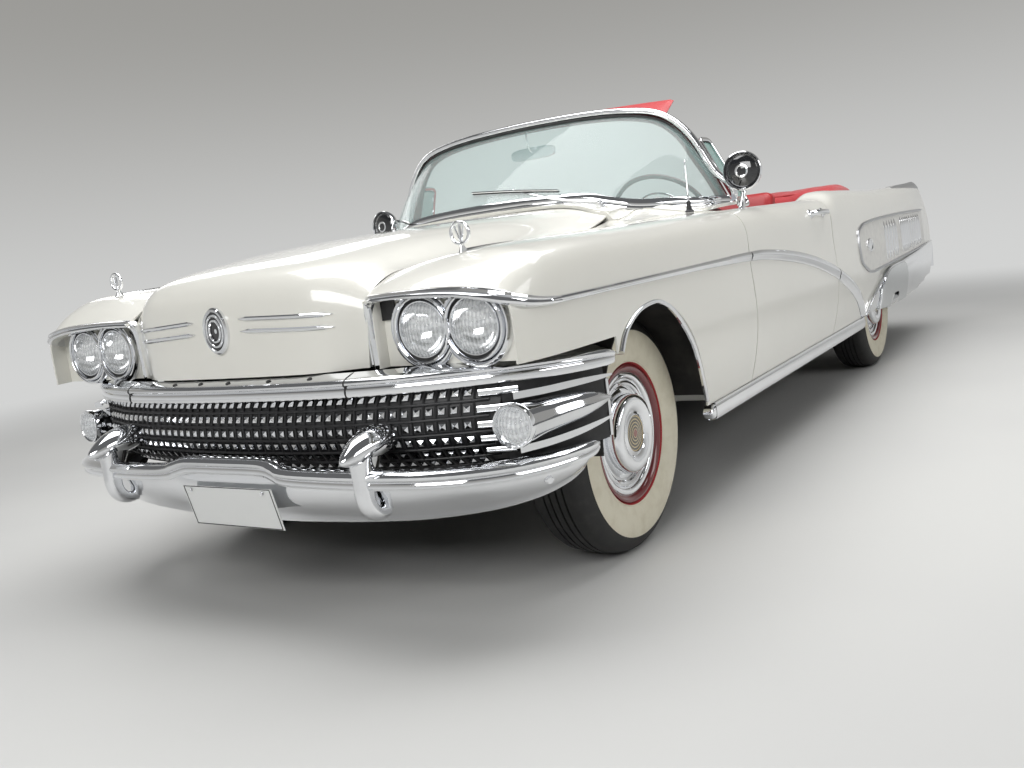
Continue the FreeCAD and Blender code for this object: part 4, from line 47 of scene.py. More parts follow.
class Wire:
    """A socket of a material, on which plain arithmetic adds Math nodes."""

    def __init__(self, recipe, socket):
        self.recipe = recipe
        self.socket = socket

    def maths(self, operation, left, right=0.0):
        return self.recipe.node("ShaderNodeMath", {"operation": operation}, {0: left, 1: right})

    def __add__(self, other):
        return self.maths("ADD", self, other)

    def __radd__(self, other):
        return self.maths("ADD", other, self)

    def __sub__(self, other):
        return self.maths("SUBTRACT", self, other)

    def __rsub__(self, other):
        return self.maths("SUBTRACT", other, self)

    def __mul__(self, other):
        return self.maths("MULTIPLY", self, other)

    def __rmul__(self, other):
        return self.maths("MULTIPLY", other, self)

    def __truediv__(self, other):
        return self.maths("DIVIDE", self, other)

    def __pow__(self, other):
        return self.maths("POWER", self, other)

    def __gt__(self, other):
        return self.maths("GREATER_THAN", self, other)

    def __lt__(self, other):
        return self.maths("LESS_THAN", self, other)

    def __abs__(self):
        return self.maths("ABSOLUTE", self)

    def highest(self, other):
        return self.maths("MAXIMUM", self, other)

    def angle_to(self, other):
        return self.maths("ARCTAN2", self, other)

    def sine(self):
        return self.maths("SINE", self)

    def between(self, low, high):
        """1 inside the band, 0 outside it."""
        return (self > low) * (self < high)

    def step(self, low, high):
        """0 below low, 1 above high, smooth between them."""
        return self.recipe.node("ShaderNodeMapRange", {"interpolation_type": "SMOOTHSTEP",
            "clamp": True}, {0: self, 1: low, 2: high, 3: 0.0, 4: 1.0})


class Recipe:
    """One material: its nodes, with the finish at their end."""

    def __init__(self, name, **constants):
        self.material = bpy.data.materials.new(name)
        self.material.use_nodes = True
        self.tree = self.material.node_tree
        self.shader = self.tree.nodes["Principled BSDF"]
        for key, value in constants.items():
            self.shader.inputs[key.replace("_", " ")].default_value = value
        place = self.tree.nodes.new("ShaderNodeTexCoord")
        self.spot = Wire(self, place.outputs["Object"])
        self.generated = Wire(self, place.outputs["Generated"])

    def node(self, kind, settings=None, values=None, output=0):
        made = self.tree.nodes.new(kind)
        for key, value in (settings or {}).items():
            if key == "stops":
                ramp = made.color_ramp.elements
                while len(ramp) < len(value):
                    ramp.new(0.5)
                for element, (place, colour) in zip(ramp, value):
                    element.position = place
                    element.color = colour
            else:
                setattr(made, key, value)
        for key, value in (values or {}).items():
            self.feed(made.inputs[key], value)
        return Wire(self, made.outputs[output])

    def feed(self, socket, value):
        if isinstance(value, Wire):
            self.tree.links.new(value.socket, socket)
        else:
            socket.default_value = value

    def axes(self):
        made = self.tree.nodes.new("ShaderNodeSeparateXYZ")
        self.feed(made.inputs[0], self.spot)
        return [Wire(self, made.outputs[i]) for i in range(3)]

    def noise(self, scale, detail=3.0, rough=0.5, stretch=(1, 1, 1)):
        spot = self.spot
        if stretch != (1, 1, 1):
            spot = self.node("ShaderNodeVectorMath", {"operation": "MULTIPLY"},
                {0: spot, 1: stretch})
        return self.node("ShaderNodeTexNoise", None,
            {"Vector": spot, "Scale": scale, "Detail": detail, "Roughness": rough})

    def cells(self, scale, feature="F1"):
        return self.node("ShaderNodeTexVoronoi", {"feature": feature},
            {"Vector": self.spot, "Scale": scale})

    def mix(self, share, first, second):
        return self.node("ShaderNodeMix", {"data_type": "RGBA"}, {0: share, 6: first, 7: second}, 2)

    def colour(self, value):
        self.feed(self.shader.inputs["Base Color"], value)
        return self

    def set(self, key, value):
        self.feed(self.shader.inputs[key], value)
        return self

    def bump(self, height, strength, distance):
        made = self.node("ShaderNodeBump", None, {"Height": height, "Strength": strength,
            "Distance": distance})
        self.feed(self.shader.inputs["Normal"], made)
        return self


def tone(red, green, blue):
    return (red, green, blue, 1.0)


def paint(name, colour, shade, rough=0.3):
    """Glossy enamel with a faint orange-peel, a random drift of tone, and painted shade in its
    lower parts.
    """
    r = Recipe(name, Coat_Weight=1.0, Coat_Roughness=0.035, Coat_IOR=1.5)
    z = r.axes()[2]
    drift = r.noise(1.3, 2.0)
    # Below a height of 0.3 to 0.55 the darker, warmer colour is mixed in as painted shade on the
    # lower body; elsewhere it drifts in at random.
    r.colour(r.mix(drift.step(0.35, 0.75) * 0.35 + (1 - z.step(0.3, 0.55)) * 0.25, colour, shade))
    r.set("Roughness", r.noise(7.0) * 0.08 + (rough - 0.04))
    return r.bump(r.noise(420.0, 1.0), 0.03, 0.0004).material


def chromed(name="Chrome", colour=(0.83, 0.84, 0.86), rough=0.045):
    """Bright plating with faint wiping marks."""
    r = Recipe(name, Metallic=1.0)
    smear = r.noise(3.0, 4.0, 0.6, (1, 1, 3))
    r.colour(r.mix(smear.step(0.45, 0.8) * 0.5, tone(*colour), tone(*[c * 0.86 for c in colour])))
    r.set("Roughness", smear * 0.05 + r.noise(160.0, 1.0) * 0.02 + (rough - 0.025))
    return r.bump(r.noise(14.0, 2.0), 0.04, 0.002).material


def brushed(name, colour, rough=0.32):
    r = Recipe(name, Metallic=1.0)
    grain = r.noise(60.0, 3.0, 0.6, (0.05, 1, 6))
    r.colour(r.mix(grain, tone(*colour), tone(*[c * 0.7 for c in colour])))
    r.set("Roughness", grain * 0.2 + (rough - 0.1))
    return r.bump(grain, 0.05, 0.0006).material


def dull(name, colour, shade, rough=0.65, scale=9.0, metal=0.0):
    """Matt metal, road dirt and all."""
    r = Recipe(name, Metallic=metal)
    grime = r.noise(scale, 5.0, 0.6)
    r.colour(r.mix(grime.step(0.35, 0.7), colour, shade))
    r.set("Roughness", grime * 0.25 + (rough - 0.12))
    return r.bump(r.noise(scale * 20, 2.0), 0.15, 0.001).material


def hide(name, colour, shade, rough=0.42):
    """Grained leather with a soft sheen."""
    r = Recipe(name, Coat_Weight=0.12, Coat_Roughness=0.3, IOR=1.45)
    pores = r.cells(330.0)
    wear = r.noise(6.0, 4.0)
    r.colour(r.mix(wear.step(0.35, 0.75) * 0.7 + pores * 0.2, colour, shade))
    r.set("Roughness", wear * 0.18 + (rough - 0.08))
    return r.bump(pores, 0.25, 0.0009).material


def cloth(name, colour, shade):
    """Coated top cloth with its weave."""
    r = Recipe(name, Sheen_Weight=0.25, Sheen_Roughness=0.5)
    x, y = r.axes()[:2]
    weave = (x * 2600.0).sine() * (y * 2600.0).sine()
    drift = r.noise(5.0, 4.0)
    r.colour(r.mix(drift.step(0.3, 0.75) * 0.6 + weave * 0.08, colour, shade))
    r.set("Roughness", drift * 0.15 + 0.62)
    return r.bump(weave, 0.2, 0.0006).material


def tyre_rubber():
    """Black tread and shoulder, cream side wall and a red ring, by distance from the axle."""
    r = Recipe("TyreRubber", IOR=1.5)
    x, y, z = r.axes()
    off = (x * x + z * z) ** 0.5
    scuff = r.noise(22.0, 5.0, 0.6)
    wall = off.between(0.2185, 0.3155)
    ring = off.between(0.2025, 0.2185)
    side = abs(y) > 0.055
    black = r.mix(scuff.step(0.4, 0.8), tone(0.012, 0.012, 0.012), tone(0.03, 0.029, 0.027))
    cream = r.mix(scuff.step(0.35, 0.8) * 0.7, tone(0.72, 0.68, 0.55), tone(0.6, 0.55, 0.42))
    base = r.mix(wall * side, black, cream)
    r.colour(r.mix(ring * side, base, tone(0.36, 0.015, 0.02)))
    r.set("Roughness", scuff * 0.2 + 0.5)
    return r.bump(r.noise(260.0, 2.0), 0.08, 0.0006).material


def clear_glass(name, colour, alpha, rough=0.02):
    r = Recipe(name, IOR=1.5, Specular_IOR_Level=0.7)
    smear = r.noise(3.0, 4.0, 0.6)
    r.colour(r.mix(smear.step(0.4, 0.8) * 0.3, colour,
        tone(*[min(1.0, c * 1.12) for c in colour[:3]])))
    r.set("Roughness", smear * 0.03 + rough)
    r.set("Alpha", smear * 0.05 + (alpha - 0.025))
    return r.material


def lens_red():
    r = Recipe("LensRed", Coat_Weight=1.0, Coat_Roughness=0.05)
    z = r.axes()[2]
    ribs = (z * 900.0).sine()
    r.colour(r.mix(ribs.step(-1.0, 1.0), tone(0.3, 0.008, 0.01), tone(0.62, 0.03, 0.03)))
    r.set("Roughness", r.noise(30.0) * 0.1 + 0.15)
    return r.bump(ribs, 0.3, 0.001).material


WHITE = paint("BodyEnamel", tone(0.8, 0.79, 0.73), tone(0.74, 0.73, 0.67))
RED_ENAMEL = paint("RedEnamel", tone(0.17, 0.007, 0.011), tone(0.12, 0.005, 0.008))
CHROME = chromed()
SATIN = brushed("BrushedTrim", (0.62, 0.63, 0.65))
BLACK = dull("GrilleBlack", tone(0.01, 0.01, 0.011), tone(0.022, 0.022, 0.024), 0.45, 30.0)
UNDER = dull("Underbody", tone(0.02, 0.019, 0.018), tone(0.055, 0.05, 0.045), 0.8)
IRON = dull("EngineIron", tone(0.1, 0.11, 0.11), tone(0.05, 0.05, 0.05), 0.6, 12.0, 0.6)
STEEL = dull("BareSteel", tone(0.28, 0.28, 0.28), tone(0.16, 0.15, 0.14), 0.5, 15.0, 0.9)
LEATHER = hide("RedLeather", tone(0.42, 0.02, 0.024), tone(0.3, 0.012, 0.016))
TOP_CLOTH = cloth("BootCloth", tone(0.44, 0.024, 0.03), tone(0.32, 0.014, 0.02))
CARPET = cloth("Carpet", tone(0.22, 0.012, 0.014), tone(0.14, 0.008, 0.01))
RUBBER = dull("SealRubber", tone(0.012, 0.012, 0.012), tone(0.03, 0.03, 0.03), 0.6, 40.0)
TYRE = tyre_rubber()
GLASS = clear_glass("TintedGlass", tone(0.5, 0.66, 0.64), 0.24)
LENS = clear_glass("LampGlass", tone(0.88, 0.9, 0.9), 0.3)
RED_LENS = lens_red()
BAKELITE = paint("WheelPlastic", tone(0.16, 0.02, 0.03), tone(0.12, 0.015, 0.02), 0.35)

PANEL_VINYL = hide("PanelVinyl", tone(0.36, 0.016, 0.024), tone(0.27, 0.012, 0.018), 0.5)

FINISH = {"body_paint": WHITE, "chrome": CHROME, "tyre": TYRE, "frame_black": UNDER,
    "engine_iron": IRON, "steel": STEEL, "underbody": UNDER, "grille_black": BLACK, "glass": GLASS,
    "red_leather": LEATHER, "red_trim": PANEL_VINYL, "red_fabric": TOP_CLOTH,
    "wheel_rim_plastic": BAKELITE, "lamp_glass": LENS, "red_lens": RED_LENS,}
SHARP_ANGLE = math.radians(32)
SIDES = (1, -1)
HAND = {1: "Left", -1: "Right"}
AHEAD = Vector((1, 0, 0))
ACROSS = Vector((0, 1, 0))
UP = Vector((0, 0, 1))


def dress(obj, material):
    obj.data.materials.clear()
    obj.data.materials.append(material)


def finish_nodes():
    for row in frame["record"]["subparts"]:
        obj = NODES[row["node"]]
        dress(obj, FINISH[row["material_slot"]])
        for face in obj.data.polygons:
            face.use_smooth = True


finish_nodes()


# Mesh tools.

def smooth_share(share):
    return share * share * (3 - 2 * share)


def build(name, points, faces, material=CHROME, body="body", slot="chrome", round_to=None,
        outward=True):
    """A piece from its points and faces, smooth but for its sharp edges."""
    mesh = bpy.data.meshes.new(name)
    mesh.from_pydata([tuple(p) for p in points], [], faces)
    shape = bmesh.new()
    shape.from_mesh(mesh)
    bmesh.ops.remove_doubles(shape, verts=shape.verts, dist=1e-6)
    if outward:
        bmesh.ops.recalc_face_normals(shape, faces=shape.faces)
    shape.to_mesh(mesh)
    shape.free()
    for face in mesh.polygons:
        face.use_smooth = True
    mesh.set_sharp_from_angle(angle=SHARP_ANGLE)
    obj = bpy.data.objects.new(name, mesh)
    bpy.context.scene.collection.objects.link(obj)
    dress(obj, material)
    if round_to:
        edge = obj.modifiers.new("Rounded", "BEVEL")
        edge.width = round_to
        edge.segments = 2
        edge.limit_method = "ANGLE"
        edge.angle_limit = SHARP_ANGLE
        edge.harden_normals = False
    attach(obj, body)
    return obj


def loft(name, rings, material=CHROME, caps=True, closed=True, loop=False, **more):
    """A skin through rings of points. loop joins the last ring to the first."""
    size = len(rings[0])
    points = [p for ring in rings for p in ring]
    faces = []
    count = len(rings)
    for j in range(count if loop else count - 1):
        k = (j + 1) % count
        for i in range(size if closed else size - 1):
            n = (i + 1) % size
            faces.append((j * size + i, j * size + n, k * size + n, k * size + i))
    if caps and not loop:
        faces.append(tuple(reversed(range(size))))
        faces.append(tuple((count - 1) * size + i for i in range(size)))
    return build(name, points, faces, material, **more)


def turns(count):
    """The angles of even steps round a circle."""
    return [2 * math.pi * i / count for i in range(count)]


def spread(low, high, steps):
    """Values at even steps from low to high."""
    return [low + (high - low) * i / steps for i in range(steps + 1)]


def swell(value, power):
    """A value raised to a power, its sign kept."""
    return math.copysign(abs(value) ** power, value)


def oval(centre, across, rise, steps):
    """Points round a centre, whose half-widths are the two vectors."""
    return [centre + across * math.cos(a) + rise * math.sin(a) for a in turns(steps)]


def headings(path):
    """The way that a path runs at each of its points."""
    last = len(path) - 1
    return [(path[min(i + 1, last)] - path[max(i - 1, 0)]).normalized() for i in range(last + 1)]


def frame_for(axis):
    axis = Vector(axis).normalized()
    helper = UP if abs(axis.z) < 0.9 else AHEAD
    side = helper.cross(axis).normalized()
    return axis, side, axis.cross(side)


def lathe(name, profile, centre, axis, material=CHROME, steps=64, **more):
    """A turned piece. profile holds (distance along axis, radius) pairs."""
    axis, side, lift = frame_for(axis)
    centre = Vector(centre)
    rings = []
    for along, radius in profile:
        radius = max(radius, 1e-7)
        rings.append(oval(centre + axis * along, side * radius, lift * radius, steps))
    return loft(name, rings, material, caps=False, **more)


def between(a, b, c, d, t):
    """A point of the smooth line from b to c, at a share t of the way."""
    bend = 2 * a - 5 * b + 4 * c - d
    return 0.5 * (2 * b + (c - a) * t + bend * t * t + (3 * b - a - 3 * c + d) * t ** 3)


def curve_points(points, per_span=6):
    """Points on a smooth line through the given ones."""
    points = [Vector(p) for p in points]
    ends = [points[0] * 2 - points[1]] + points + [points[-1] * 2 - points[-2]]
    made = []
    for i in range(1, len(ends) - 2):
        made += [between(*ends[i - 1:i + 3], k / per_span) for k in range(per_span)]
    return made + [points[-1]]


def curve_values(rows, per_span=6):
    """The same for rows of plain numbers."""
    width = len(rows[0])
    out = []
    for start in range(0, width, 3):
        chunk = [tuple(row[start:start + 3]) + (0.0,) * (3 - len(row[start:start + 3]))
            for row in rows]
        out.append(curve_points(chunk, per_span))
    return [sum((tuple(part[i]) for part in out), ())[:width] for i in range(len(out[0]))]


def sweep(name, path, outline, material=CHROME, sizes=None, **more):
    """An outline of (out, up) pairs carried along a path. sizes scales it at each point."""
    path = [Vector(p) for p in path]
    rings = []
    for i, (point, heading) in enumerate(zip(path, headings(path))):
        out = heading.cross(UP).normalized()
        rise = out.cross(heading).normalized()
        wide, high = sizes[i] if sizes else (1.0, 1.0)
        rings.append([point + out * (a * wide) + rise * (b * high) for a, b in outline])
    return loft(name, rings, material, **more)


def wire(name, path, radius, material=CHROME, steps=10, **more):
    """A round bar along a path. radius is one number, or one for each point."""
    path = [Vector(p) for p in path]
    rings = []
    side = None
    for i, (point, heading) in enumerate(zip(path, headings(path))):
        if side is None:
            side = frame_for(heading)[1]
        side = (side - heading * side.dot(heading)).normalized()
        r = radius[i] if isinstance(radius, (list, tuple)) else radius
        rings.append(oval(point, side * r, heading.cross(side) * r, steps))
    return loft(name, rings, material, **more)


def plate(name, outline, thick, axis, material=CHROME, **more):
    """A flat piece: its outline's points, thickened along axis."""
    push = Vector(axis).normalized() * thick
    front = [Vector(p) for p in outline]
    return loft(name, [front, [p + push for p in front]], material, **more)


def mirrored(points):
    """A path that starts on the centre line, with its mirror image ahead of it."""
    points = [Vector(p) for p in points]
    return [Vector((p.x, -p.y, p.z)) for p in reversed(points[1:])] + points


def flip(points, side):
    return [Vector((p[0], p[1] * side, p[2])) for p in points]


def join(name, objects):
    """Several pieces made into one. They share a body."""
    first = objects[0]
    with bpy.context.temp_override(active_object=first, selected_editable_objects=objects,
            selected_objects=objects):
        bpy.ops.object.join()
    first.name = name
    return first


def skin_of(node):
    """A tree that answers where a line meets a CAD node's surface."""
    mesh = NODES[node].data
    points = [v.co.copy() for v in mesh.vertices]
    return BVHTree.FromPolygons(points, [tuple(p.vertices) for p in mesh.polygons])


def met(skin, start, way):
    """Where a line from start meets a surface, or None."""
    return skin.ray_cast(Vector(start), Vector(way))[0]


def height_on(skin, x, y, other, above=1.5):
    """The height of a surface at a place, or another one where it has none."""
    spot = met(skin, (x, y, above), (0, 0, -1))
    return spot.z if spot else other


def along_table(rows, value):
    """The second number of a table's rows at a value of the first, held at the ends."""
    rows = sorted((row[0], row[1]) for row in rows)
    if value <= rows[0][0]:
        return rows[0][1]
    for (a, p), (b, q) in zip(rows, rows[1:]):
        if value <= b:
            return p + (q - p) * (value - a) / (b - a)
    return rows[-1][1]


# Wheels and tyres.

WHEEL_Z = 0.367
FRONT_AXLE_X = 1.967
REAR_AXLE_X = -1.272
FRONT_WHEEL_Y = 0.762
REAR_WHEEL_Y = 0.7745

TYRE_PROFILE = ((0.004, 0.3668), (0.009, 0.3668), (0.01, 0.3595), (0.0145, 0.3595),
    (0.0155, 0.3664), (0.031, 0.3656), (0.032, 0.3588), (0.0365, 0.3586), (0.0375, 0.365),
    (0.056, 0.3632), (0.068, 0.3606), (0.077, 0.3555), (0.086, 0.3465), (0.0935, 0.335),
    (0.0985, 0.323), (0.0998, 0.3175), (0.1018, 0.316), (0.1034, 0.306), (0.104, 0.295),
    (0.104, 0.28), (0.103, 0.265), (0.1005, 0.248), (0.0962, 0.233), (0.092, 0.224),
    (0.0928, 0.2215), (0.0905, 0.219), (0.086, 0.215), (0.08, 0.213), (0.07, 0.2122))
RIM_PROFILE = ((0.04, 0.188), (0.062, 0.1885), (0.077, 0.1905), (0.0845, 0.1965), (0.088, 0.204),
    (0.0872, 0.2105), (0.083, 0.2128), (0.076, 0.2118))
COVER_PROFILE = ((0.056, 0.1925), (0.066, 0.1945), (0.072, 0.1925), (0.0765, 0.187), (0.077, 0.18),
    (0.0745, 0.173), (0.0715, 0.17), (0.066, 0.1685), (0.065, 0.166), (0.069, 0.162), (0.07, 0.156),
    (0.067, 0.1505), (0.061, 0.1485), (0.0585, 0.145), (0.06, 0.138), (0.057, 0.132),
    (0.056, 0.128), (0.064, 0.1255), (0.082, 0.1235), (0.098, 0.1205), (0.1045, 0.1165),
    (0.1078, 0.11), (0.1085, 0.1), (0.1075, 0.088), (0.1045, 0.078), (0.1015, 0.072),
    (0.099, 0.068), (0.1, 0.064), (0.103, 0.06), (0.1035, 0.057), (0.1, 0.0552))
COVER_BACK = ((0.086, 0.056), (0.086, 0.112), (0.048, 0.12), (0.048, 0.1925))
DRUM_PROFILE = ((0.045, 0), (0.045, 0.15), (0.03, 0.186), (-0.03, 0.186), (-0.03, 0.162),
    (0.015, 0.156), (0.015, 0))
MEDAL_PROFILE = ((0.098, 0.056), (0.101, 0.0548), (0.1, 0.05), (0.1002, 0.04), (0.1008, 0.03),
    (0.1016, 0.018), (0.102, 0.008), (0.1021, 0))


def medal_enamel():
    """Thin gilt rings on black about a dark red centre."""
    r = Recipe("MedalEnamel", Coat_Weight=0.8, Coat_Roughness=0.08)
    x, z = r.axes()[::2]
    off = (x * x + z * z) ** 0.5
    rings = (off * 620.0).sine().step(0.0, 0.5) * (off > 0.012)
    ground = r.mix(off > 0.016, tone(0.22, 0.05, 0.03), tone(0.012, 0.012, 0.012))
    r.colour(r.mix(rings, ground, tone(0.5, 0.4, 0.22)))
    r.set("Metallic", rings * 0.9)
    r.set("Roughness", r.noise(40.0) * 0.1 + 0.2)
    return r.bump(rings, 0.3, 0.0008).material


MEDAL = medal_enamel()


def at_place(obj, spot, body):
    """Moves a piece made about the origin to its place, and hangs it on its body."""
    obj.parent = None
    obj.matrix_world = Matrix.Translation(Vector(spot))
    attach(obj, body)
    return obj


def make_wheel(key, side, x, y):
    body = "wheel_" + key
    title = "".join(word.capitalize() for word in key.split("_"))
    centre = (x, y * side, WHEEL_Z)

    def turned(name, profile, material, steps, slot="chrome", loop=True):
        piece = lathe(name + title, profile, (0, 0, 0), (0, side, 0), material, steps, body=body,
            slot=slot, loop=loop)
        return at_place(piece, centre, body)

    whole = [(-along, radius) for along, radius in reversed(TYRE_PROFILE)] + list(TYRE_PROFILE)
    tyre = turned("Tyre", whole + [(0.055, 0.1935), (-0.055, 0.1935)], TYRE, 112, "tyre")
    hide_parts("tyre_" + key)
    turned("Rim", list(RIM_PROFILE) + [(-p, r) for p, r in reversed(RIM_PROFILE)], RED_ENAMEL, 96)
    cover = turned("WheelCover", COVER_PROFILE + COVER_BACK, CHROME, 96)
    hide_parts("wheel_" + key)
    turned("Medallion", MEDAL_PROFILE, MEDAL, 64, loop=False)
    turned("Drum", DRUM_PROFILE, STEEL, 64, loop=False)
    stem = wire("Valve" + title, [(0.137, 0.055 * side, 0.105), (0.146, 0.083 * side, 0.112)],
        0.0045, RUBBER, body=body, slot="tyre")
    at_place(stem, centre, body)


for wheel_side in SIDES:
    make_wheel("front_" + HAND[wheel_side].lower(), wheel_side, FRONT_AXLE_X, FRONT_WHEEL_Y)
    make_wheel("rear_" + HAND[wheel_side].lower(), wheel_side, REAR_AXLE_X, REAR_WHEEL_Y)


# Header bar, grille, bumper and lamps.

HEADER_PATH = ((2.764, 0, 0.6765), (2.757, 0.25, 0.6765), (2.734, 0.453, 0.6765),
    (2.682, 0.64, 0.6765), (2.6, 0.8, 0.676), (2.52, 0.893, 0.674), (2.43, 0.943, 0.67),
    (2.335, 0.97, 0.664), (2.29, 0.98, 0.659), (2.276, 0.982, 0.656))
HEADER_SIZES = ((1, 1),) * 4 + ((1, 0.98), (1, 1.05), (0.95, 1.05), (0.8, 0.95), (0.55, 0.72),
    (0.2, 0.3))
HEADER_OUTLINE = ((-0.023, -0.029), (0.012, -0.029), (0.0185, -0.0265), (0.021, -0.02),
    (0.0205, -0.01), (0.018, -0.0045), (0.016, -0.0025), (0.019, 0), (0.023, 0.0045),
    (0.0235, 0.01), (0.02, 0.0155), (0.011, 0.0205), (0, 0.0245), (-0.012, 0.0285), (-0.023, 0.032))


def smooth_path(points, per_span=6):
    return curve_points(mirrored(points), per_span)


def smooth_sizes(sizes, per_span=6):
    whole = list(reversed(sizes[1:])) + list(sizes)
    return curve_values(whole, per_span)


def make_header_bar():
    """The bar over the grille, whose ends sweep back to the wheel arches."""
    bar = sweep("HeaderBar", smooth_path(HEADER_PATH), HEADER_OUTLINE,
        sizes=smooth_sizes(HEADER_SIZES))
    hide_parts("nose_bar")
    for side in SIDES:
        seam = [(2.7095, 0.453, 0.707), (2.733, 0.453, 0.701), (2.753, 0.453, 0.692),
            (2.758, 0.453, 0.683), (2.753, 0.453, 0.675), (2.756, 0.453, 0.662),
            (2.753, 0.453, 0.649)]
        wire("HeaderSeam" + HAND[side], flip(curve_points(seam, 4), side), 0.0022, RUBBER, steps=6)
    for y in (-0.335, -0.215, -0.095, 0.025, 0.185, 0.33):
        lathe("LetterPad" + str(int(1000 + 1000 * y)), ((0, 0.0075), (0.002, 0.007), (0.003, 0)),
            (header_x(y) + 0.003, y, 0.7008), (0.45, 0, 0.9), RUBBER, steps=16)


def header_x(y):
    """The header's centre line at a distance from the middle."""
    y = abs(y)
    for low, high in zip(HEADER_PATH, HEADER_PATH[1:]):
        if y <= high[1]:
            return low[0] + (high[0] - low[0]) * (y - low[1]) / (high[1] - low[1])
    return HEADER_PATH[-1][0]


GRILLE_PLAN = ((2.733, 0), (2.728, 0.2), (2.708, 0.42), (2.674, 0.6), (2.623, 0.74), (2.583, 0.815))
GRILLE_RISE = ((0.648, -0.016), (0.62, 0), (0.58, 0.012), (0.54, 0.014), (0.5, 0.004),
    (0.47, -0.016), (0.445, -0.044), (0.43, -0.07))
STUD_PITCH = 0.0335
STUD_SIZE = 0.0098
STUD_ROWS = (0.6285, 0.5895, 0.5505, 0.5125, 0.478, 0.452)


def grille_spot(y, z):
    """A point of the grille's face, and how far its face leans."""
    plan = along_table([(abs(p[1]), p[0]) for p in GRILLE_PLAN], abs(y))
    rise = along_table(GRILLE_RISE, z)
    return Vector((plan + rise, y, z))


def grille_frame(y, z):
    spot = grille_spot(y, z)
    across = (grille_spot(y + 0.004, z) - grille_spot(y - 0.004, z)).normalized()
    rise = (grille_spot(y, z + 0.004) - grille_spot(y, z - 0.004)).normalized()
    return spot, across, rise, across.cross(rise).normalized()


def make_grille():
    """A black lattice with a bright pyramid in each cell."""
    rows = grille_heights()
    rings = []
    for y in spread(-0.815, 0.815, 72):
        face = [grille_spot(y, z) for z in rows]
        rings.append(face + [p - Vector((0.012, 0, 0)) for p in reversed(face)])
    panel = loft("GrillePanel", rings, BLACK, slot="grille_black")
    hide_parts("grille")
    points, faces, bars = [], [], []
    arc = arc_of_plan()
    for row in STUD_ROWS:
        for column in range(23):
            for side in SIDES:
                spot, across, rise, out = grille_frame(arc(STUD_PITCH * (column + 0.5)) * side, row)
                base = len(points)
                for share, lift in ((1, 0.001), (0.86, 0.005)):
                    points += [spot + (across * a + rise * b) * STUD_SIZE * share + out * lift
                        for a, b in ((-1, -1), (1, -1), (1, 1), (-1, 1))]
                points.append(spot + out * 0.0105)
                for i in range(4):
                    j = (i + 1) % 4
                    faces.append((base + i, base + j, base + 4 + j, base + 4 + i))
                    faces.append((base + 4 + i, base + 4 + j, base + 8))
                faces.append((base + 3, base + 2, base + 1, base))
    build("GrilleStuds", points, faces).data.shade_flat()
    edges = [0.648] + [(a + b) / 2 for a, b in zip(STUD_ROWS, STUD_ROWS[1:])] + [0.437]
    for index, z in enumerate(edges):
        path = []
        for y in spread(-0.79, 0.79, 60):
            spot, across, rise, out = grille_frame(y, z)
            path.append(spot + out * 0.004)
        bars.append(wire("GrilleBar" + str(index), path, 0.0042, BLACK, 8, slot="grille_black"))
    posts = [arc(STUD_PITCH * i) * side for i in range(24) for side in SIDES if i or side > 0]
    for index, y in enumerate(posts):
        path = []
        for z in rows:
            spot, across, rise, out = grille_frame(y, z)
            path.append(spot + out * 0.003)
        bars.append(wire("GrillePost" + str(index), path, 0.0032, BLACK, 6, slot="grille_black"))
    join("GrilleLattice", bars)
    strips = []
    for z in STUD_ROWS[:5]:
        for side in SIDES:
            path = []
            for y in spread(0.772, 0.862, 6):
                x = along_table(((0.772, 2.613), (0.815, 2.595), (0.862, 2.568)), y)
                path.append(Vector((x + 0.01 + along_table(GRILLE_RISE, z), y * side, z)))
            strips.append(sweep("EndBar", path, ((-0.006, -0.008), (0.004, -0.008), (0.006, -0.004),
                (0.006, 0.004), (0.004, 0.008), (-0.006, 0.008))))
    join("GrilleEndBars", strips)


def grille_heights():
    rows = [row[0] for row in GRILLE_RISE]
    out = []
    for a, b in zip(rows, rows[1:]):
        out += [a, (a + b) / 2]
    return out + [rows[-1]]


def arc_of_plan():
    """Distance from the middle for a length measured along the grille's face."""
    table = [(0.0, 0.0)]
    run = 0.0
    for (xa, ya), (xb, yb) in zip(GRILLE_PLAN, GRILLE_PLAN[1:]):
        run += math.hypot(xb - xa, yb - ya)
        table.append((run, yb))
    return lambda length: along_table(table, length)


BUMPER_PATH = ((2.803, 0, 0.474), (2.803, 0.12, 0.474), (2.8045, 0.175, 0.471),
    (2.811, 0.215, 0.462), (2.8175, 0.258, 0.453), (2.8175, 0.4, 0.45), (2.803, 0.56, 0.448),
    (2.757, 0.73, 0.444), (2.668, 0.85, 0.44), (2.57, 0.915, 0.438), (2.47, 0.95, 0.438),
    (2.415, 0.962, 0.44), (2.39, 0.967, 0.441))
BUMPER_SIZES = ((1, 1),) * 10 + ((0.9, 0.95), (0.7, 0.8), (0.3, 0.45))
BUMPER_OUTLINE = ((-0.03, -0.026), (0.006, -0.026), (0.016, -0.0235), (0.0195, -0.017),
    (0.019, -0.011), (0.017, -0.007), (0.016, -0.005), (0.02, -0.002), (0.024, 0.004),
    (0.024, 0.011), (0.019, 0.018), (0.008, 0.0235), (-0.006, 0.026), (-0.02, 0.023),
    (-0.03, 0.015))
SKIRT_TOP = ((2.786, 0, 0.45), (2.786, 0.16, 0.45), (2.801, 0.27, 0.436), (2.7945, 0.45, 0.43),
    (2.769, 0.62, 0.426), (2.7, 0.79, 0.424), (2.6, 0.882, 0.42), (2.5, 0.928, 0.42),
    (2.43, 0.947, 0.421), (2.405, 0.952, 0.422))
SKIRT_BOTTOM = ((2.757, 0, 0.306), (2.757, 0.16, 0.306), (2.7455, 0.28, 0.306),
    (2.7225, 0.45, 0.308), (2.682, 0.62, 0.312), (2.613, 0.77, 0.322), (2.529, 0.855, 0.334),
    (2.456, 0.9, 0.352), (2.415, 0.925, 0.375), (2.4, 0.936, 0.396))


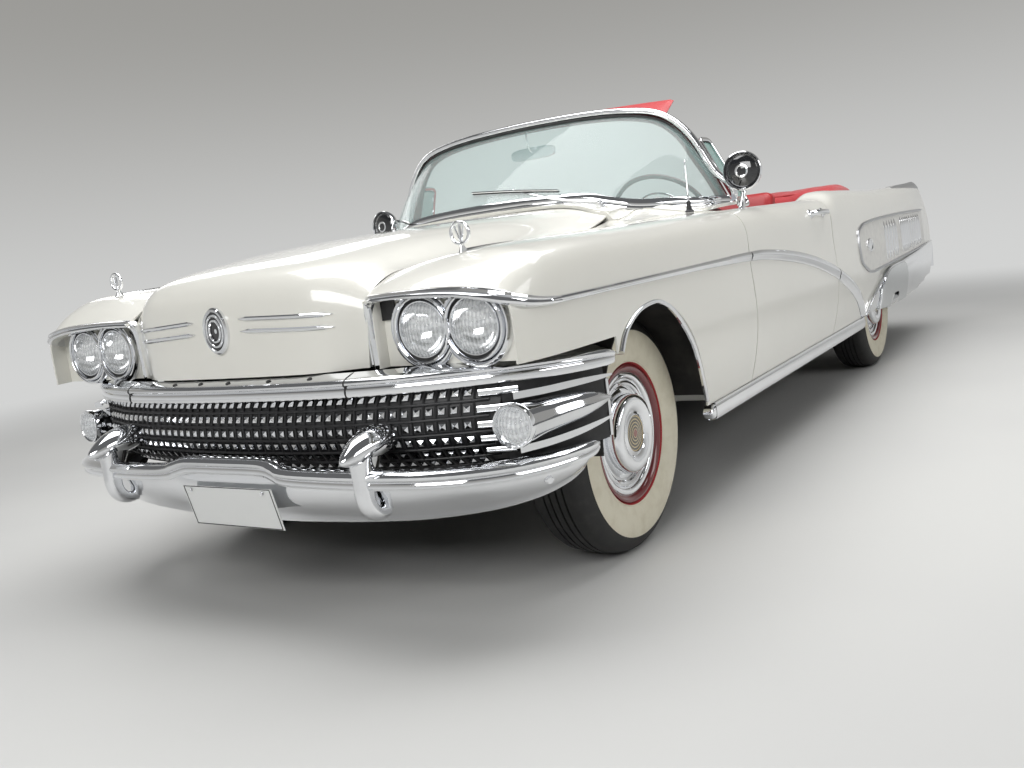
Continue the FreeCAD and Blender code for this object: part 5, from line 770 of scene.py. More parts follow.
def make_front_bumper():
    """The rolled bar, the skirt under it, two guards and two bolts."""
    roll = sweep("BumperRoll", smooth_path(BUMPER_PATH), BUMPER_OUTLINE,
        sizes=smooth_sizes(BUMPER_SIZES))
    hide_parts("front_bumper")
    top = smooth_path(SKIRT_TOP)
    low = smooth_path(SKIRT_BOTTOM)
    rings = []
    for a, b in zip(top, low):
        out = Vector((1, 0.6 * a.y, 0)).normalized()
        front = [a + (b - a) * (k / 8) + out * (0.016 * math.sin(math.pi * min(1, k / 8 * 1.15)))
            for k in range(9)]
        rings.append(front + [p - out * 0.006 + Vector((0, 0, 0.001)) for p in reversed(front)])
    loft("BumperSkirt", rings)
    bolts = []
    for side in SIDES:
        guard(side)
    for side in SIDES:
        near = min(range(len(top)), key=lambda i: abs(top[i].y - 0.905 * side))
        spot = top[near] + (low[near] - top[near]) * 0.42 + Vector((0.008, 0.013 * side, 0))
        bolts.append(lathe("BumperBolt", ((-0.012, 0.0125), (0.003, 0.0125), (0.007, 0.0085),
            (0.008, 0)), spot, (0.62, 0.78 * side, -0.1), steps=20))
    join("BumperBolts", bolts)


GUARD_TIP = (2.884, 0.526, 0.511)
BULLET_STATIONS = ((0, 0.001, 0.001, 0), (0.004, 0.009, 0.008, 0), (0.02, 0.021, 0.018, 0.003),
    (0.05, 0.034, 0.03, 0.01), (0.085, 0.043, 0.037, 0.017), (0.12, 0.047, 0.039, 0.022),
    (0.155, 0.045, 0.036, 0.025), (0.185, 0.037, 0.029, 0.024), (0.205, 0.024, 0.018, 0.02),
    (0.212, 0.004, 0.004, 0.018))
GUARD_SPINE = ((2.8, 0.508, 0.036, 0.046), (2.806, 0.478, 0.028, 0.037),
    (2.813, 0.442, 0.0225, 0.029), (2.817, 0.412, 0.0205, 0.025), (2.813, 0.386, 0.021, 0.023),
    (2.801, 0.366, 0.022, 0.021), (2.782, 0.354, 0.0215, 0.018), (2.748, 0.35, 0.018, 0.014))


def guard(side):
    """A pointed bullet on a post that wraps under the bumper."""
    tip = Vector((GUARD_TIP[0], GUARD_TIP[1] * side, GUARD_TIP[2]))
    rings = []
    for back, wide, high, lift in curve_values(BULLET_STATIONS, 4):
        wide, high = max(wide, 0.0005), max(high, 0.0005)
        ring = []
        for a in turns(28):
            c, s = math.cos(a), math.sin(a)
            peak = high * (1.0 if s < 0 else 1.12)
            ring.append(tip + Vector((-back, wide * swell(c, 0.9), lift + peak * swell(s, 1.1))))
        rings.append(ring)
    loft("GuardBullet" + HAND[side], rings)
    rings = []
    rows = curve_values(GUARD_SPINE, 4)
    for (x, z, wide, deep), heading in zip(rows,
            headings([Vector((row[0], 0, row[1])) for row in rows])):
        out = Vector((-heading.z, 0, heading.x))
        rings.append([Vector((x, tip.y, z)) + Vector((0, wide * swell(math.cos(a), 0.7), 0)) + out
            * (deep * swell(math.sin(a), 0.7)) for a in turns(24)])
    loft("GuardPost" + HAND[side], rings)


PLATE_CORNERS = ((2.817, -0.185, 0.415), (2.817, 0.187, 0.415), (2.79, 0.187, 0.29),
    (2.79, -0.185, 0.29))


def make_front_plate():
    """A bare plate in a thin black line, held by two screws."""
    plate("NumberPlate", PLATE_CORNERS, 0.003, (1, 0, -0.2), PLATE_WHITE, slot="body_paint",
        round_to=0.001)
    corners = [Vector(p) + Vector((0.0036, 0, 0)) for p in PLATE_CORNERS]
    centre = sum(corners, Vector()) / 4
    rim = [centre + (p - centre) * 0.965 for p in corners]
    edge = []
    for a, b in zip(rim, rim[1:] + rim[:1]):
        edge.append(wire("PlateLine", [a, (a + b) / 2, b], 0.0012, BLACK, slot="body_paint",
            steps=6))
    join("PlateBorder", edge)
    screws = [lathe("PlateScrew", ((0, 0.006), (0.004, 0.005), (0.005, 0)), (2.819, y, 0.402),
        (1, 0, -0.2), steps=16) for y in (-0.15, 0.15)]
    join("PlateScrews", screws)


def sealed_glass():
    """Pressed lamp glass: flutes and prisms over silver."""
    r = Recipe("FlutedGlass", IOR=1.5, Specular_IOR_Level=0.8)
    y, z = r.axes()[1:]
    flutes = (y * 560.0).sine()
    steps = (z * 240.0 + (y * 90.0).sine()).sine()
    blocks = r.cells(52.0)
    r.colour(r.mix(flutes.step(-1, 1) * 0.5 + steps.step(0.3, 1.0) * 0.3, tone(0.78, 0.81, 0.82),
        tone(0.95, 0.96, 0.97)))
    r.set("Roughness", blocks * 0.1 + 0.04)
    r.set("Alpha", steps.step(-0.2, 1.0) * 0.16 + flutes.step(-1, 1) * 0.14 + 0.28)
    return r.bump(flutes * 0.6 + steps, 0.7, 0.0016).material


FLUTED = sealed_glass()
SILVER = chromed("ReflectorSilver", (0.9, 0.91, 0.92), 0.1)
PLATE_WHITE = paint("PlateEnamel", tone(0.78, 0.79, 0.78), tone(0.7, 0.71, 0.7), 0.4)

LENS_X = 2.642
LAMP_Z = 0.799
OUTER_LAMP_Y = 0.806
INNER_LAMP_Y = 0.645
LAMP_LENS_PROFILE = ((0, 0.07), (0.006, 0.062), (0.0125, 0.048), (0.0175, 0.03), (0.02, 0.014),
    (0.0205, 0))
LAMP_PARTS = (("LampBowl", SILVER, 48, False, ((-0.002, 0.0695), (-0.016, 0.064), (-0.034, 0.05),
    (-0.048, 0.032), (-0.056, 0.012), (-0.057, 0), (-0.06, 0), (-0.06, 0.015), (-0.05, 0.036),
    (-0.034, 0.055), (-0.016, 0.068), (-0.004, 0.072))),
    ("LampShield", CHROME, 24, False, ((-0.03, 0), (-0.03, 0.009), (-0.02, 0.011), (-0.012, 0.009),
    (-0.01, 0))), ("LampRetainer", CHROME, 64, True, ((-0.008, 0.0745), (0.004, 0.074),
    (0.0065, 0.0725), (0.006, 0.07), (0.001, 0.069), (-0.008, 0.069))),
    ("LampSeal", RUBBER, 64, True, ((-0.01, 0.079), (0.0005, 0.079), (0.0005, 0.0735),
    (-0.01, 0.0735))),
    ("LampRing", CHROME, 64, True, ((-0.03, 0.0885), (0.004, 0.089), (0.011, 0.0868),
    (0.0125, 0.0838), (0.0105, 0.0808), (0.004, 0.079), (-0.01, 0.0785), (-0.03, 0.0785))))


def make_lamps():
    """Two round lamps a side, each a fluted lens over a silvered bowl in two rings."""
    for side in SIDES:
        for y, key in ((OUTER_LAMP_Y, "Outer"), (INNER_LAMP_Y, "Inner")):
            centre = (LENS_X, y * side, LAMP_Z)
            title = key + HAND[side]
            glass = lathe("LampLens" + title, LAMP_LENS_PROFILE, (0, 0, 0), AHEAD, FLUTED, 56,
                slot="lamp_glass")
            at_place(glass, centre, "body")
            if title == "OuterLeft":
                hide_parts("headlamps")
            for name, material, steps, loop, profile in LAMP_PARTS:
                lathe(name + title, profile, centre, AHEAD, material, steps, loop=loop)


POD_PATH = ((2.642, 0.88, 0.548, 0.052), (2.61, 0.886, 0.549, 0.051), (2.56, 0.898, 0.55, 0.048),
    (2.5, 0.918, 0.553, 0.044), (2.44, 0.942, 0.555, 0.038), (2.39, 0.961, 0.556, 0.028),
    (2.35, 0.975, 0.555, 0.014), (2.325, 0.984, 0.553, 0.003))
PARK_RING_PROFILE = ((-0.012, 0.056), (0, 0.057), (0.006, 0.055), (0.007, 0.0515), (0.003, 0.048),
    (-0.01, 0.046), (-0.012, 0.05))
PARK_BOWL_PROFILE = ((-0.006, 0.0465), (-0.02, 0.04), (-0.03, 0.02), (-0.032, 0), (-0.035, 0),
    (-0.033, 0.022), (-0.022, 0.043), (-0.01, 0.048))
PARK_LENS_PROFILE = ((0, 0.0465), (0.008, 0.042), (0.016, 0.033), (0.022, 0.021), (0.025, 0.009),
    (0.0255, 0))
FLASH_OUTLINE = ((-0.012, -0.009), (0.004, -0.009), (0.01, -0.003), (0.01, 0.003), (0.004, 0.009),
    (-0.012, 0.009))
FLASHES = (("UpperFlash", ((2.605, 0.862, 0.617, 1), (2.54, 0.915, 0.618, 1),
    (2.46, 0.95, 0.618, 0.95), (2.37, 0.975, 0.615, 0.7), (2.31, 0.985, 0.612, 0.3))),
    ("LowerFlash", ((2.62, 0.872, 0.485, 1), (2.55, 0.915, 0.488, 1), (2.47, 0.948, 0.493, 0.95),
    (2.39, 0.97, 0.499, 0.7), (2.33, 0.983, 0.504, 0.3))))
CHEEK_PLAN = ((2.59, 0.82), (2.575, 0.85), (2.535, 0.88), (2.47, 0.918), (2.39, 0.948),
    (2.315, 0.964), (2.3, 0.94), (2.45, 0.89), (2.56, 0.8))


def make_pods():
    """The parking lamps' torpedoes, with a spear along each, and the thin bars above and below."""
    for side in SIDES:
        title = HAND[side]
        rings = []
        for x, y, z, r in curve_values(POD_PATH, 4):
            r = max(r, 0.0008)
            ring = []
            for a in turns(32):
                c, s = math.cos(a), math.sin(a)
                crest = 1.0 + 0.1 * max(0.0, 1 - abs(s) * 5) * (c > 0)
                ring.append(Vector((x, (y + r * c * crest) * side, z + r * s)))
            rings.append(ring)
        pod = loft("Torpedo" + title, rings)
        if side > 0:
            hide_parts("wing_pods")
        centre = (2.642, 0.88 * side, 0.548)
        axis = (1, 0.1 * side, 0)
        lathe("ParkRing" + title, PARK_RING_PROFILE, centre, axis, steps=56, loop=True)
        lathe("ParkBowl" + title, PARK_BOWL_PROFILE, centre, axis, SILVER, 40)
        glass = lathe("ParkLens" + title, PARK_LENS_PROFILE, (0, 0, 0), axis, FLUTED, 40,
            slot="lamp_glass")
        at_place(glass, centre, "body")
        for name, rows in FLASHES:
            rows = curve_values(rows, 5)
            sweep(name + title, flip([row[:3] for row in rows], side),
                [(-side * a, -side * b) for a, b in FLASH_OUTLINE],
                sizes=[(row[3], row[3]) for row in rows])
        cheek = [[Vector((x, y * side, z)) for x, y in CHEEK_PLAN]
            for z in (0.442, 0.49, 0.545, 0.6, 0.648)]
        loft("BlackCheek" + title, cheek, BLACK, slot="grille_black")


make_header_bar()
make_grille()
make_front_bumper()
make_front_plate()
make_lamps()
make_pods()


# Trim of the nose, the sides and the tail.

SIDE_SKINS = {side: [skin_of(n + HAND[side].lower()) for n in ("fender_", "door_", "quarter_")]
    for side in (1, -1)}
HOOD_SKIN = skin_of("hood")


def flank(x, z, side, proud=0.0):
    """A point of the body's side, or just outside it."""
    best = 0.0
    for skin in SIDE_SKINS[side]:
        spot = met(skin, (x, 1.5 * side, z), (0, -side, 0))
        if spot is not None and abs(spot.y) > 0.6:
            best = max(best, abs(spot.y))
    return Vector((x, (max(best, 0.8) + proud) * side, z))


def on_flank(rows, side, proud=0.0, step=0.03):
    """A path of (x, z) rows laid on the side, with points at even steps."""
    line = curve_points([(x, 0, z) for x, z in rows], 8)
    points = []
    for a, b in zip(line, line[1:]):
        count = max(1, int((b - a).length / step))
        points += [flank(a.x + (b.x - a.x) * i / count, a.z + (b.z - a.z) * i / count, side, proud)
            for i in range(count)]
    points.append(flank(line[-1].x, line[-1].z, side, proud))
    return points


def strip_on_flank(name, rows, side, body="body", crown=0.01, steps=60):
    """A crowned moulding. rows hold (x, upper z, width) along the side."""
    rings = []
    line = curve_values(rows, 8)
    for i in range(steps + 1):
        t = i / steps * (len(line) - 1)
        k = min(int(t), len(line) - 2)
        x, top, wide = (line[k][j] + (line[k + 1][j] - line[k][j]) * (t - k) for j in range(3))
        ring = []
        for share, rise in ((0.0, -0.004), (0.0, 0.25), (0.1, 0.62), (0.26, 0.92), (0.42, 1.0),
                (0.58, 0.86), (0.7, 0.66), (0.8, 0.62), (0.92, 0.48), (1.0, 0.22), (1.0, -0.004)):
            ring.append(flank(x, top - share * wide, side, rise * crown if rise > 0 else rise))
        rings.append(ring)
    return loft(name, rings, body=body)


BROW_ROWS = ((2.653, 0.483, 0.702, 0.017, 0.012), (2.657, 0.484, 0.78, 0.014, 0.012),
    (2.66, 0.488, 0.85, 0.012, 0.012), (2.668, 0.5, 0.883, 0.011, 0.014),
    (2.68, 0.535, 0.89, 0.011, 0.016), (2.688, 0.62, 0.8925, 0.0115, 0.017),
    (2.693, 0.72, 0.8915, 0.0125, 0.018), (2.695, 0.81, 0.886, 0.014, 0.019),
    (2.693, 0.88, 0.876, 0.0155, 0.019), (2.685, 0.925, 0.865, 0.0165, 0.018),
    (2.67, 0.948, 0.856, 0.0165, 0.016), (2.64, 0.964, 0.848, 0.015, 0.013),
    (2.59, 0.974, 0.841, 0.012, 0.01), (2.52, 0.981, 0.836, 0.0095, 0.009))
BROW_OUTLINE = ((-0.9, -1), (0.15, -1), (0.62, -0.82), (0.72, -0.45), (0.55, -0.22), (0.85, 0.02),
    (1, 0.35), (0.85, 0.72), (0.4, 0.98), (-0.9, 1))


def make_brow(side):
    """The bright lip that climbs beside the lamps, runs over them and turns along the side."""
    rings = []
    rows = curve_values(BROW_ROWS, 6)
    count = len(rows)
    for i, heading in enumerate(headings([Vector(row[:3]) for row in rows])):
        x, y, z, high, deep = rows[i]
        turn = smooth_share(min(1, max(0, i / count - 0.6) / 0.25))
        way = Vector((1 - turn, turn, 0))
        out = (way - heading * way.dot(heading)).normalized()
        rise = heading.cross(out)
        rings.append(flip([Vector((x, y, z)) + out * (p * deep) + rise * (q * high)
            for p, q in BROW_OUTLINE], side))
    loft("Brow" + HAND[side], rings)


FENDER_STRIP = ((2.56, 0.846, 0.019), (2.3, 0.845, 0.018), (2, 0.845, 0.02), (1.6, 0.845, 0.024),
    (1.3, 0.845, 0.03), (1.1625, 0.844, 0.033))
DOOR_STRIP = ((1.156, 0.844, 0.034), (1, 0.84, 0.038), (0.727, 0.817, 0.044), (0.5, 0.788, 0.048),
    (0.305, 0.754, 0.052), (0.1, 0.708, 0.056), (0.0035, 0.682, 0.058))
QUARTER_STRIP = ((-0.0035, 0.68, 0.058), (-0.101, 0.65, 0.062), (-0.2, 0.617, 0.064),
    (-0.3, 0.579, 0.066), (-0.406, 0.531, 0.066), (-0.501, 0.472, 0.064), (-0.58, 0.414, 0.05),
    (-0.63, 0.374, 0.03))
ARCH_LIP = ((2.306, 0.382), (2.298, 0.47), (2.284, 0.57), (2.254, 0.645), (2.212, 0.704),
    (2.16, 0.738), (2.105, 0.757), (2.05, 0.765), (1.99, 0.766), (1.94, 0.754), (1.89, 0.729),
    (1.845, 0.692), (1.8, 0.642), (1.76, 0.588), (1.72, 0.528), (1.68, 0.47), (1.64, 0.422),
    (1.612, 0.388))


def make_side_strips(side):
    title, key = HAND[side], HAND[side].lower()
    front = strip_on_flank("FenderStrip" + title, FENDER_STRIP, side, crown=0.012)
    door = strip_on_flank("DoorStrip" + title, DOOR_STRIP, side, "door_" + key, crown=0.014)
    strip_on_flank("QuarterStrip" + title, QUARTER_STRIP, side, crown=0.015)
    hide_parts("door_trim_" + key)
    rings = []
    centre = Vector((FRONT_AXLE_X, 0, WHEEL_Z))
    for point in curve_points([(x, 0, z) for x, z in ARCH_LIP], 5):
        out = Vector((point.x - centre.x, 0, point.z - centre.z)).normalized()
        point = Vector((point.x, flank(point.x + 0.022 * out.x, point.z + 0.022 * out.z, side).y,
            point.z))
        rings.append([point + out * a + Vector((0, b * side, 0))
            for a, b in ((-0.007, -0.006), (-0.008, 0.001), (-0.005, 0.0045), (-0.001, 0.0055),
            (0.004, 0.0045), (0.0065, 0.001), (0.007, -0.005), (0, -0.008))])
    loft("ArchLip" + title, rings)
    if side > 0:
        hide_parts("side_trim")


PANEL_TOP = ((-0.47, 0.8), (-0.55, 0.836), (-0.66, 0.853), (-1, 0.862), (-1.5, 0.864), (-2, 0.86),
    (-2.4, 0.853))
PANEL_LOW = ((-0.47, 0.68), (-0.55, 0.632), (-0.7, 0.596), (-1, 0.598), (-1.5, 0.606), (-2, 0.615),
    (-2.4, 0.624))
RIB_STATIONS = (-1.109, -1.183, -1.256, -1.33, -1.403, -1.576, -1.632, -1.688, -1.744, -1.8, -1.88,
    -1.96, -2.04, -2.12, -2.2)
TAIL_X = -2.688
PANEL_FRONT_X, PANEL_REAR_X = -0.47, -2.4
SWEEP_FRONT_X, SWEEP_FOOT_Z = -0.64, 0.352
FIN_START_X = -1.78
FIN_CAP_PROUD = 0.0032
SWEEP_TOP = ((-0.64, 0.372), (-0.677, 0.405), (-0.74, 0.45), (-0.85, 0.5), (-1, 0.545),
    (-1.137, 0.57), (-1.5, 0.584), (-2, 0.602), (-2.4, 0.618), (-2.66, 0.628))
SKIRT_RIM = ((-0.91, 0.352), (-0.912, 0.43), (-0.935, 0.505), (-1, 0.556), (-1.12, 0.58),
    (-1.3, 0.586), (-1.46, 0.584), (-1.56, 0.562), (-1.62, 0.51), (-1.645, 0.43), (-1.65, 0.352))


def satin_panel():
    """Ribbed bright-work behind the louvres: fine lines on pale enamel."""
    r = Recipe("LouvreEnamel", Coat_Weight=0.6, Coat_Roughness=0.1)
    fine = r.noise(30.0, 3.0)
    r.colour(r.mix(fine.step(0.3, 0.8), tone(0.66, 0.65, 0.61), tone(0.58, 0.57, 0.54)))
    r.set("Roughness", fine * 0.2 + 0.25)
    return r.bump(fine, 0.05, 0.001).material


LOUVRE_ENAMEL = satin_panel()


def make_quarter_panel(side):
    """The louvred panel, its frame, three groups of five ribs and a bare oval."""
    title = HAND[side]
    rings = []
    for x in spread(PANEL_FRONT_X, PANEL_REAR_X, 48):
        low = along_table(PANEL_LOW, x)
        top = along_table(PANEL_TOP, x)
        ring = [flank(x, low + (top - low) * k / 8, side, 0.0016) for k in range(9)]
        rings.append(ring + [p - Vector((0, 0.004 * side, 0)) for p in reversed(ring)])
    loft("LouvrePanel" + title, rings, LOUVRE_ENAMEL)
    frame_line = list(reversed(PANEL_TOP)) + list(PANEL_LOW)
    wire("LouvreFrame" + title, on_flank(frame_line, side, 0.003, 0.04), 0.0075, SATIN)
    ribs = []
    for x in RIB_STATIONS:
        low = along_table(PANEL_LOW, x) + 0.018
        top = along_table(PANEL_TOP, x) - 0.02
        rings = []
        for k in range(13):
            share = k / 12
            fade = min(1.0, 6 * share + 0.15, 6 * (1 - share) + 0.15)
            spot = flank(x, low + (top - low) * share, side, 0.0)
            rings.append([spot + Vector((a * fade, b * fade * side, 0))
                for a, b in ((-0.016, -0.002), (-0.014, 0.004), (-0.008, 0.0085), (0, 0.0105),
                (0.008, 0.0085), (0.014, 0.004), (0.016, -0.002))])
        ribs.append(loft("LouvreRib", rings))
    join("LouvreRibs" + title, ribs)
    rings = []
    for grow, proud in ((1, -0.002), (1, 0.005), (0.88, 0.009), (0.7, 0.0095), (0.62, 0.006),
            (0.3, 0.0075), (0.02, 0.008)):
        rings.append([flank(-0.7 + 0.06 * grow * math.cos(a), 0.735 + 0.036 * grow * math.sin(a),
            side, proud) for a in turns(28)])
    loft("BareOval" + title, rings)


def make_lower_sweep(side):
    """The bright panel at the foot of the quarter, and the wheel's skirt proud of it."""
    title = HAND[side]
    rings = []
    for x in spread(SWEEP_FRONT_X, TAIL_X, 72):
        top = along_table(SWEEP_TOP, x)
        bulge = 0.008 + 0.006 * smooth_share(min(1, (SWEEP_FRONT_X - x) / 0.3))
        ring = [flank(x, top, side, -0.003)]
        for k in range(12):
            share = k / 11
            lift = 1.0 if share < 0.1 else 0.62 + 0.25 * math.sin(math.pi * share)
            ring.append(flank(x, top + (SWEEP_FOOT_Z - top) * share, side, bulge * lift
                * (0.5 if k in (0, 11) else 1)))
        ring.append(flank(x, SWEEP_FOOT_Z, side, -0.003))
        rings.append(ring)
    loft("LowerSweep" + title, rings)
    wire("SweepBead" + title, on_flank(SWEEP_TOP, side, 0.01, 0.05), 0.006, steps=8)
    rim = on_flank(SKIRT_RIM, side, 0.013, 0.03)
    rings = []
    for grow, proud in ((1, 0.004), (0.995, 0.018), (0.975, 0.024), (0.94, 0.024), (0.8, 0.024),
            (0.55, 0.024), (0.3, 0.024)):
        ring = []
        for p in rim:
            x = -1.28 + (p.x + 1.28) * grow
            z = SWEEP_FOOT_Z + (p.z - SWEEP_FOOT_Z) * grow
            ring.append(flank(x, z, side, proud))
        rings.append(ring)
    loft("WheelSkirt" + title, rings, SKIRT_CHROME, caps=False, closed=False)
    wire("SkirtSeam" + title, [p + Vector((0, 0.006 * side, 0)) for p in rim], 0.0042, steps=8)


SKIRT_CHROME = chromed("SkirtPlate", (0.62, 0.64, 0.65), 0.16)


def make_fin_cap(side):
    """The thin bright wedge along the fin's crest."""
    skin = SIDE_SKINS[side][2]
    rings = []
    for i, x in enumerate(spread(FIN_START_X, TAIL_X, 32)):
        drop = 0.004 + 0.038 * i / 32
        top = height_on(skin, x, 0.868 * side, 1.03)
        ring = [flank(x, top - drop + (drop - 0.004) * k / 5, side, FIN_CAP_PROUD)
            for k in range(6)]
        ring += [Vector((x, y * side, height_on(skin, x, y * side, top) + FIN_CAP_PROUD))
            for y in (0.872, 0.858, 0.846)]
        rings.append(ring + [Vector((p.x, p.y - 0.005 * side, p.z - 0.004))
            for p in reversed(ring)])
    loft("FinCap" + HAND[side], rings, SATIN)


def make_arch_liner(side):
    """Dark sheet that closes the front wheel's housing."""
    rings = []
    for turn in spread(4, 176, 36):
        c, s = math.cos(math.radians(turn)), math.sin(math.radians(turn))
        wide = 1.0 if c < 0 else 0.9
        rings.append([Vector((FRONT_AXLE_X + radius * wide * c, y * side, WHEEL_Z + radius * s))
            for y, radius in ((0.565, 0.42), (0.6, 0.428), (0.75, 0.43), (0.9, 0.43), (0.955, 0.42),
            (0.955, 0.424), (0.9, 0.4345), (0.75, 0.4345), (0.6, 0.4325), (0.565, 0.4245))])
    loft("ArchLiner" + HAND[side], rings, UNDER, slot="underbody")


def hood_spot(y, z, proud=0.0):
    spot = met(HOOD_SKIN, (3.2, y, z), (-1, 0, 0))
    return Vector(((spot.x if spot else 2.74) + proud, y, z))


def make_hood_trim():
    """A bare oval of rings on the hood's nose, with two strips on each hand."""
    rings = []
    for grow, proud in ((1, -0.002), (1, 0.008), (0.93, 0.0125), (0.84, 0.013), (0.79, 0.008),
            (0.74, 0.008), (0.7, 0.0125), (0.63, 0.013), (0.58, 0.008), (0.53, 0.008),
            (0.49, 0.0125), (0.42, 0.013), (0.37, 0.007), (0.02, 0.007)):
        rings.append([hood_spot(0.05 * grow * math.cos(a), 0.848 + 0.066 * grow * math.sin(a),
            proud) for a in turns(48)])
    loft("NoseOval", rings, NOSE_RINGS, body="hood")
    for side in SIDES:
        bars = []
        for drop in (0.0, 0.034):
            rings = []
            for i in range(25):
                share = i / 24
                y = 0.098 + (0.405 - 0.098) * share
                z = 0.876 - 0.012 * share - drop
                fade = min(1.0, share * 12 + 0.2, (1 - share) * 10 + 0.15)
                spot = hood_spot(y * side, z)
                rings.append([spot + Vector((a, 0, b * fade))
                    for a, b in ((-0.003, -0.0062), (0.003, -0.006), (0.0065, -0.003), (0.0072, 0),
                    (0.0065, 0.003), (0.003, 0.006), (-0.003, 0.0062))])
            bars.append(loft("HoodStrip", rings, body="hood"))
        join("HoodStrips" + HAND[side], bars)


def nose_rings():
    """Bright rings on black, by distance from the oval's middle."""
    r = Recipe("NoseRings", Metallic=0.0, Coat_Weight=0.7, Coat_Roughness=0.05)
    y, z = r.axes()[1:]
    off = ((y * 20.0) * (y * 20.0) + ((z - 0.848) * 15.15) * ((z - 0.848) * 15.15)) ** 0.5
    bright = off.between(0.8, 1.1) + off.between(0.6, 0.725) + off.between(0.39,
        0.515) + off.between(-1.0, 0.1)
    r.colour(r.mix(bright, tone(0.012, 0.012, 0.013), tone(0.8, 0.81, 0.83)))
    r.set("Metallic", bright)
    r.set("Roughness", r.noise(60.0) * 0.06 + 0.06)
    return r.bump(bright, 0.2, 0.0006).material


NOSE_RINGS = nose_rings()


def figure_eight(x, radius, side, half=0.0805, steps=72):
    """The outline round both lamps of a side."""
    ring = []
    middle = (OUTER_LAMP_Y + INNER_LAMP_Y) / 2
    for a in turns(steps):
        c, s = math.cos(a), math.sin(a)
        reach = half * abs(c) + math.sqrt(max(radius ** 2 - (half * s) ** 2, 1e-9))
        ring.append(Vector((x, (middle + reach * c) * side, LAMP_Z + reach * s)))
    return ring


def make_lamp_bezels(side):
    rings = [figure_eight(x, r, side) for x, r in ((2.618, 0.104), (2.632, 0.1045), (2.642, 0.103),
        (2.648, 0.0995), (2.649, 0.096), (2.646, 0.093), (2.641, 0.0905), (2.633, 0.0885),
        (2.618, 0.088))]
    loft("LampBezel" + HAND[side], rings, caps=False, loop=True)
    pocket = [(2.629, 0.506, 0.896), (2.629, 0.555, 0.896), (2.629, 0.552, 0.83),
        (2.629, 0.506, 0.828)]
    plate("LampPocket" + HAND[side], flip(pocket, side), 0.003, AHEAD, BLACK)
    rings = []
    for z in (0.706, 0.74, 0.79, 0.84, 0.89):
        rings.append([Vector((x, y * side, z)) for x, y in ((2.635, 0.474), (2.656, 0.476),
            (2.66, 0.485), (2.66, 0.5), (2.65, 0.506), (2.62, 0.506), (2.48, 0.502), (2.48, 0.49))])
    loft("BrowPost" + HAND[side], rings, WHITE, slot="body_paint")


CREST_X, CREST_Y = 2.541, 0.725
AERIAL_SPOT = (1.215, 0.8, 1.012)
AERIAL_PARTS = (("AerialBase", BLACK, 24, ((-0.006, 0.017), (0.004, 0.0165), (0.01, 0.011),
    (0.026, 0.0075), (0.034, 0.0085), (0.04, 0.006), (0.044, 0))),
    ("AerialMast", CHROME, 12, ((0.04, 0), (0.04, 0.0034), (0.09, 0.0034), (0.092, 0.0026),
    (0.15, 0.0026), (0.152, 0.0019), (0.18, 0.0019), (0.182, 0.0036), (0.188, 0.003), (0.19, 0))))


def make_nose_fittings():
    """Ring ornaments on the fender crests, and the aerial on the left cowl."""
    for side in SIDES:
        title = HAND[side]
        y = CREST_Y * side
        centre = Vector((CREST_X, y, 1.026))
        profile = [(0.005 * math.cos(a), 0.0275 + 0.0048 * math.sin(a)) for a in turns(12)]
        ring = lathe("CrestRing" + title, profile, centre, AHEAD, steps=48, loop=True)
        if side > 0:
            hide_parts("front_fittings")
        rings = [oval(Vector((CREST_X - 0.4 * deep, y, z)), AHEAD * deep, ACROSS * wide, 16)
            for z, deep, wide in ((0.972, 0.03, 0.005), (0.982, 0.02, 0.0045), (0.99, 0.01, 0.004),
            (1, 0.0065, 0.0036), (1.02, 0.0055, 0.0038), (1.04, 0.005, 0.0034),
            (1.052, 0.004, 0.002))]
        loft("CrestBlade" + title, rings)
        arcs = [wire("CrestArm", [centre + Vector((0, a * lean, b))
            for a, b in ((0.001, -0.022), (0.008, -0.004), (0.015, 0.0225))], 0.0024, steps=8)
            for lean in (1, -1)]
        join("CrestArms" + title, arcs)
        crease = [Vector((x, y, height_on(SIDE_SKINS[side][0], x, y, 0.98) + 0.001))
            for x in (2.525, 2.46, 2.38, 2.3)]
        wire("CrestSpear" + title, curve_points(crease, 4),
            [0.0052 - 0.0042 * i / 12 for i in range(13)], steps=8)
    for name, material, steps, profile in AERIAL_PARTS:
        lathe(name, profile, AERIAL_SPOT, UP, material, steps)


for trim_side in SIDES:
    make_brow(trim_side)
    make_side_strips(trim_side)
    make_quarter_panel(trim_side)
    make_lower_sweep(trim_side)
    make_fin_cap(trim_side)
    make_arch_liner(trim_side)
    make_lamp_bezels(trim_side)
make_hood_trim()
make_nose_fittings()


# Windshield, doors, cabin and tail.

GLASS_FOOT = ((1.309, 0, 1.115, 1.15), (1.295, 0.2, 1.113, 1.148), (1.263, 0.4, 1.1, 1.137),
    (1.242, 0.5, 1.074, 1.111), (1.198, 0.6, 1.048, 1.086), (1.112, 0.7, 1.04, 1.077),
    (1.022, 0.76, 1.033, 1.067), (0.93, 0.8, 1.03, 1.064), (0.87, 0.822, 1.029, 1.06))
HOOP = ((0.985, 0, 1.452), (0.982, 0.19, 1.449), (0.9682, 0.37, 1.44), (0.95, 0.49, 1.425),
    (0.9249, 0.585, 1.398), (0.9099, 0.645, 1.355), (0.9001, 0.69, 1.302), (0.8929, 0.722, 1.245),
    (0.871, 0.778, 1.14), (0.85, 0.815, 1.05))


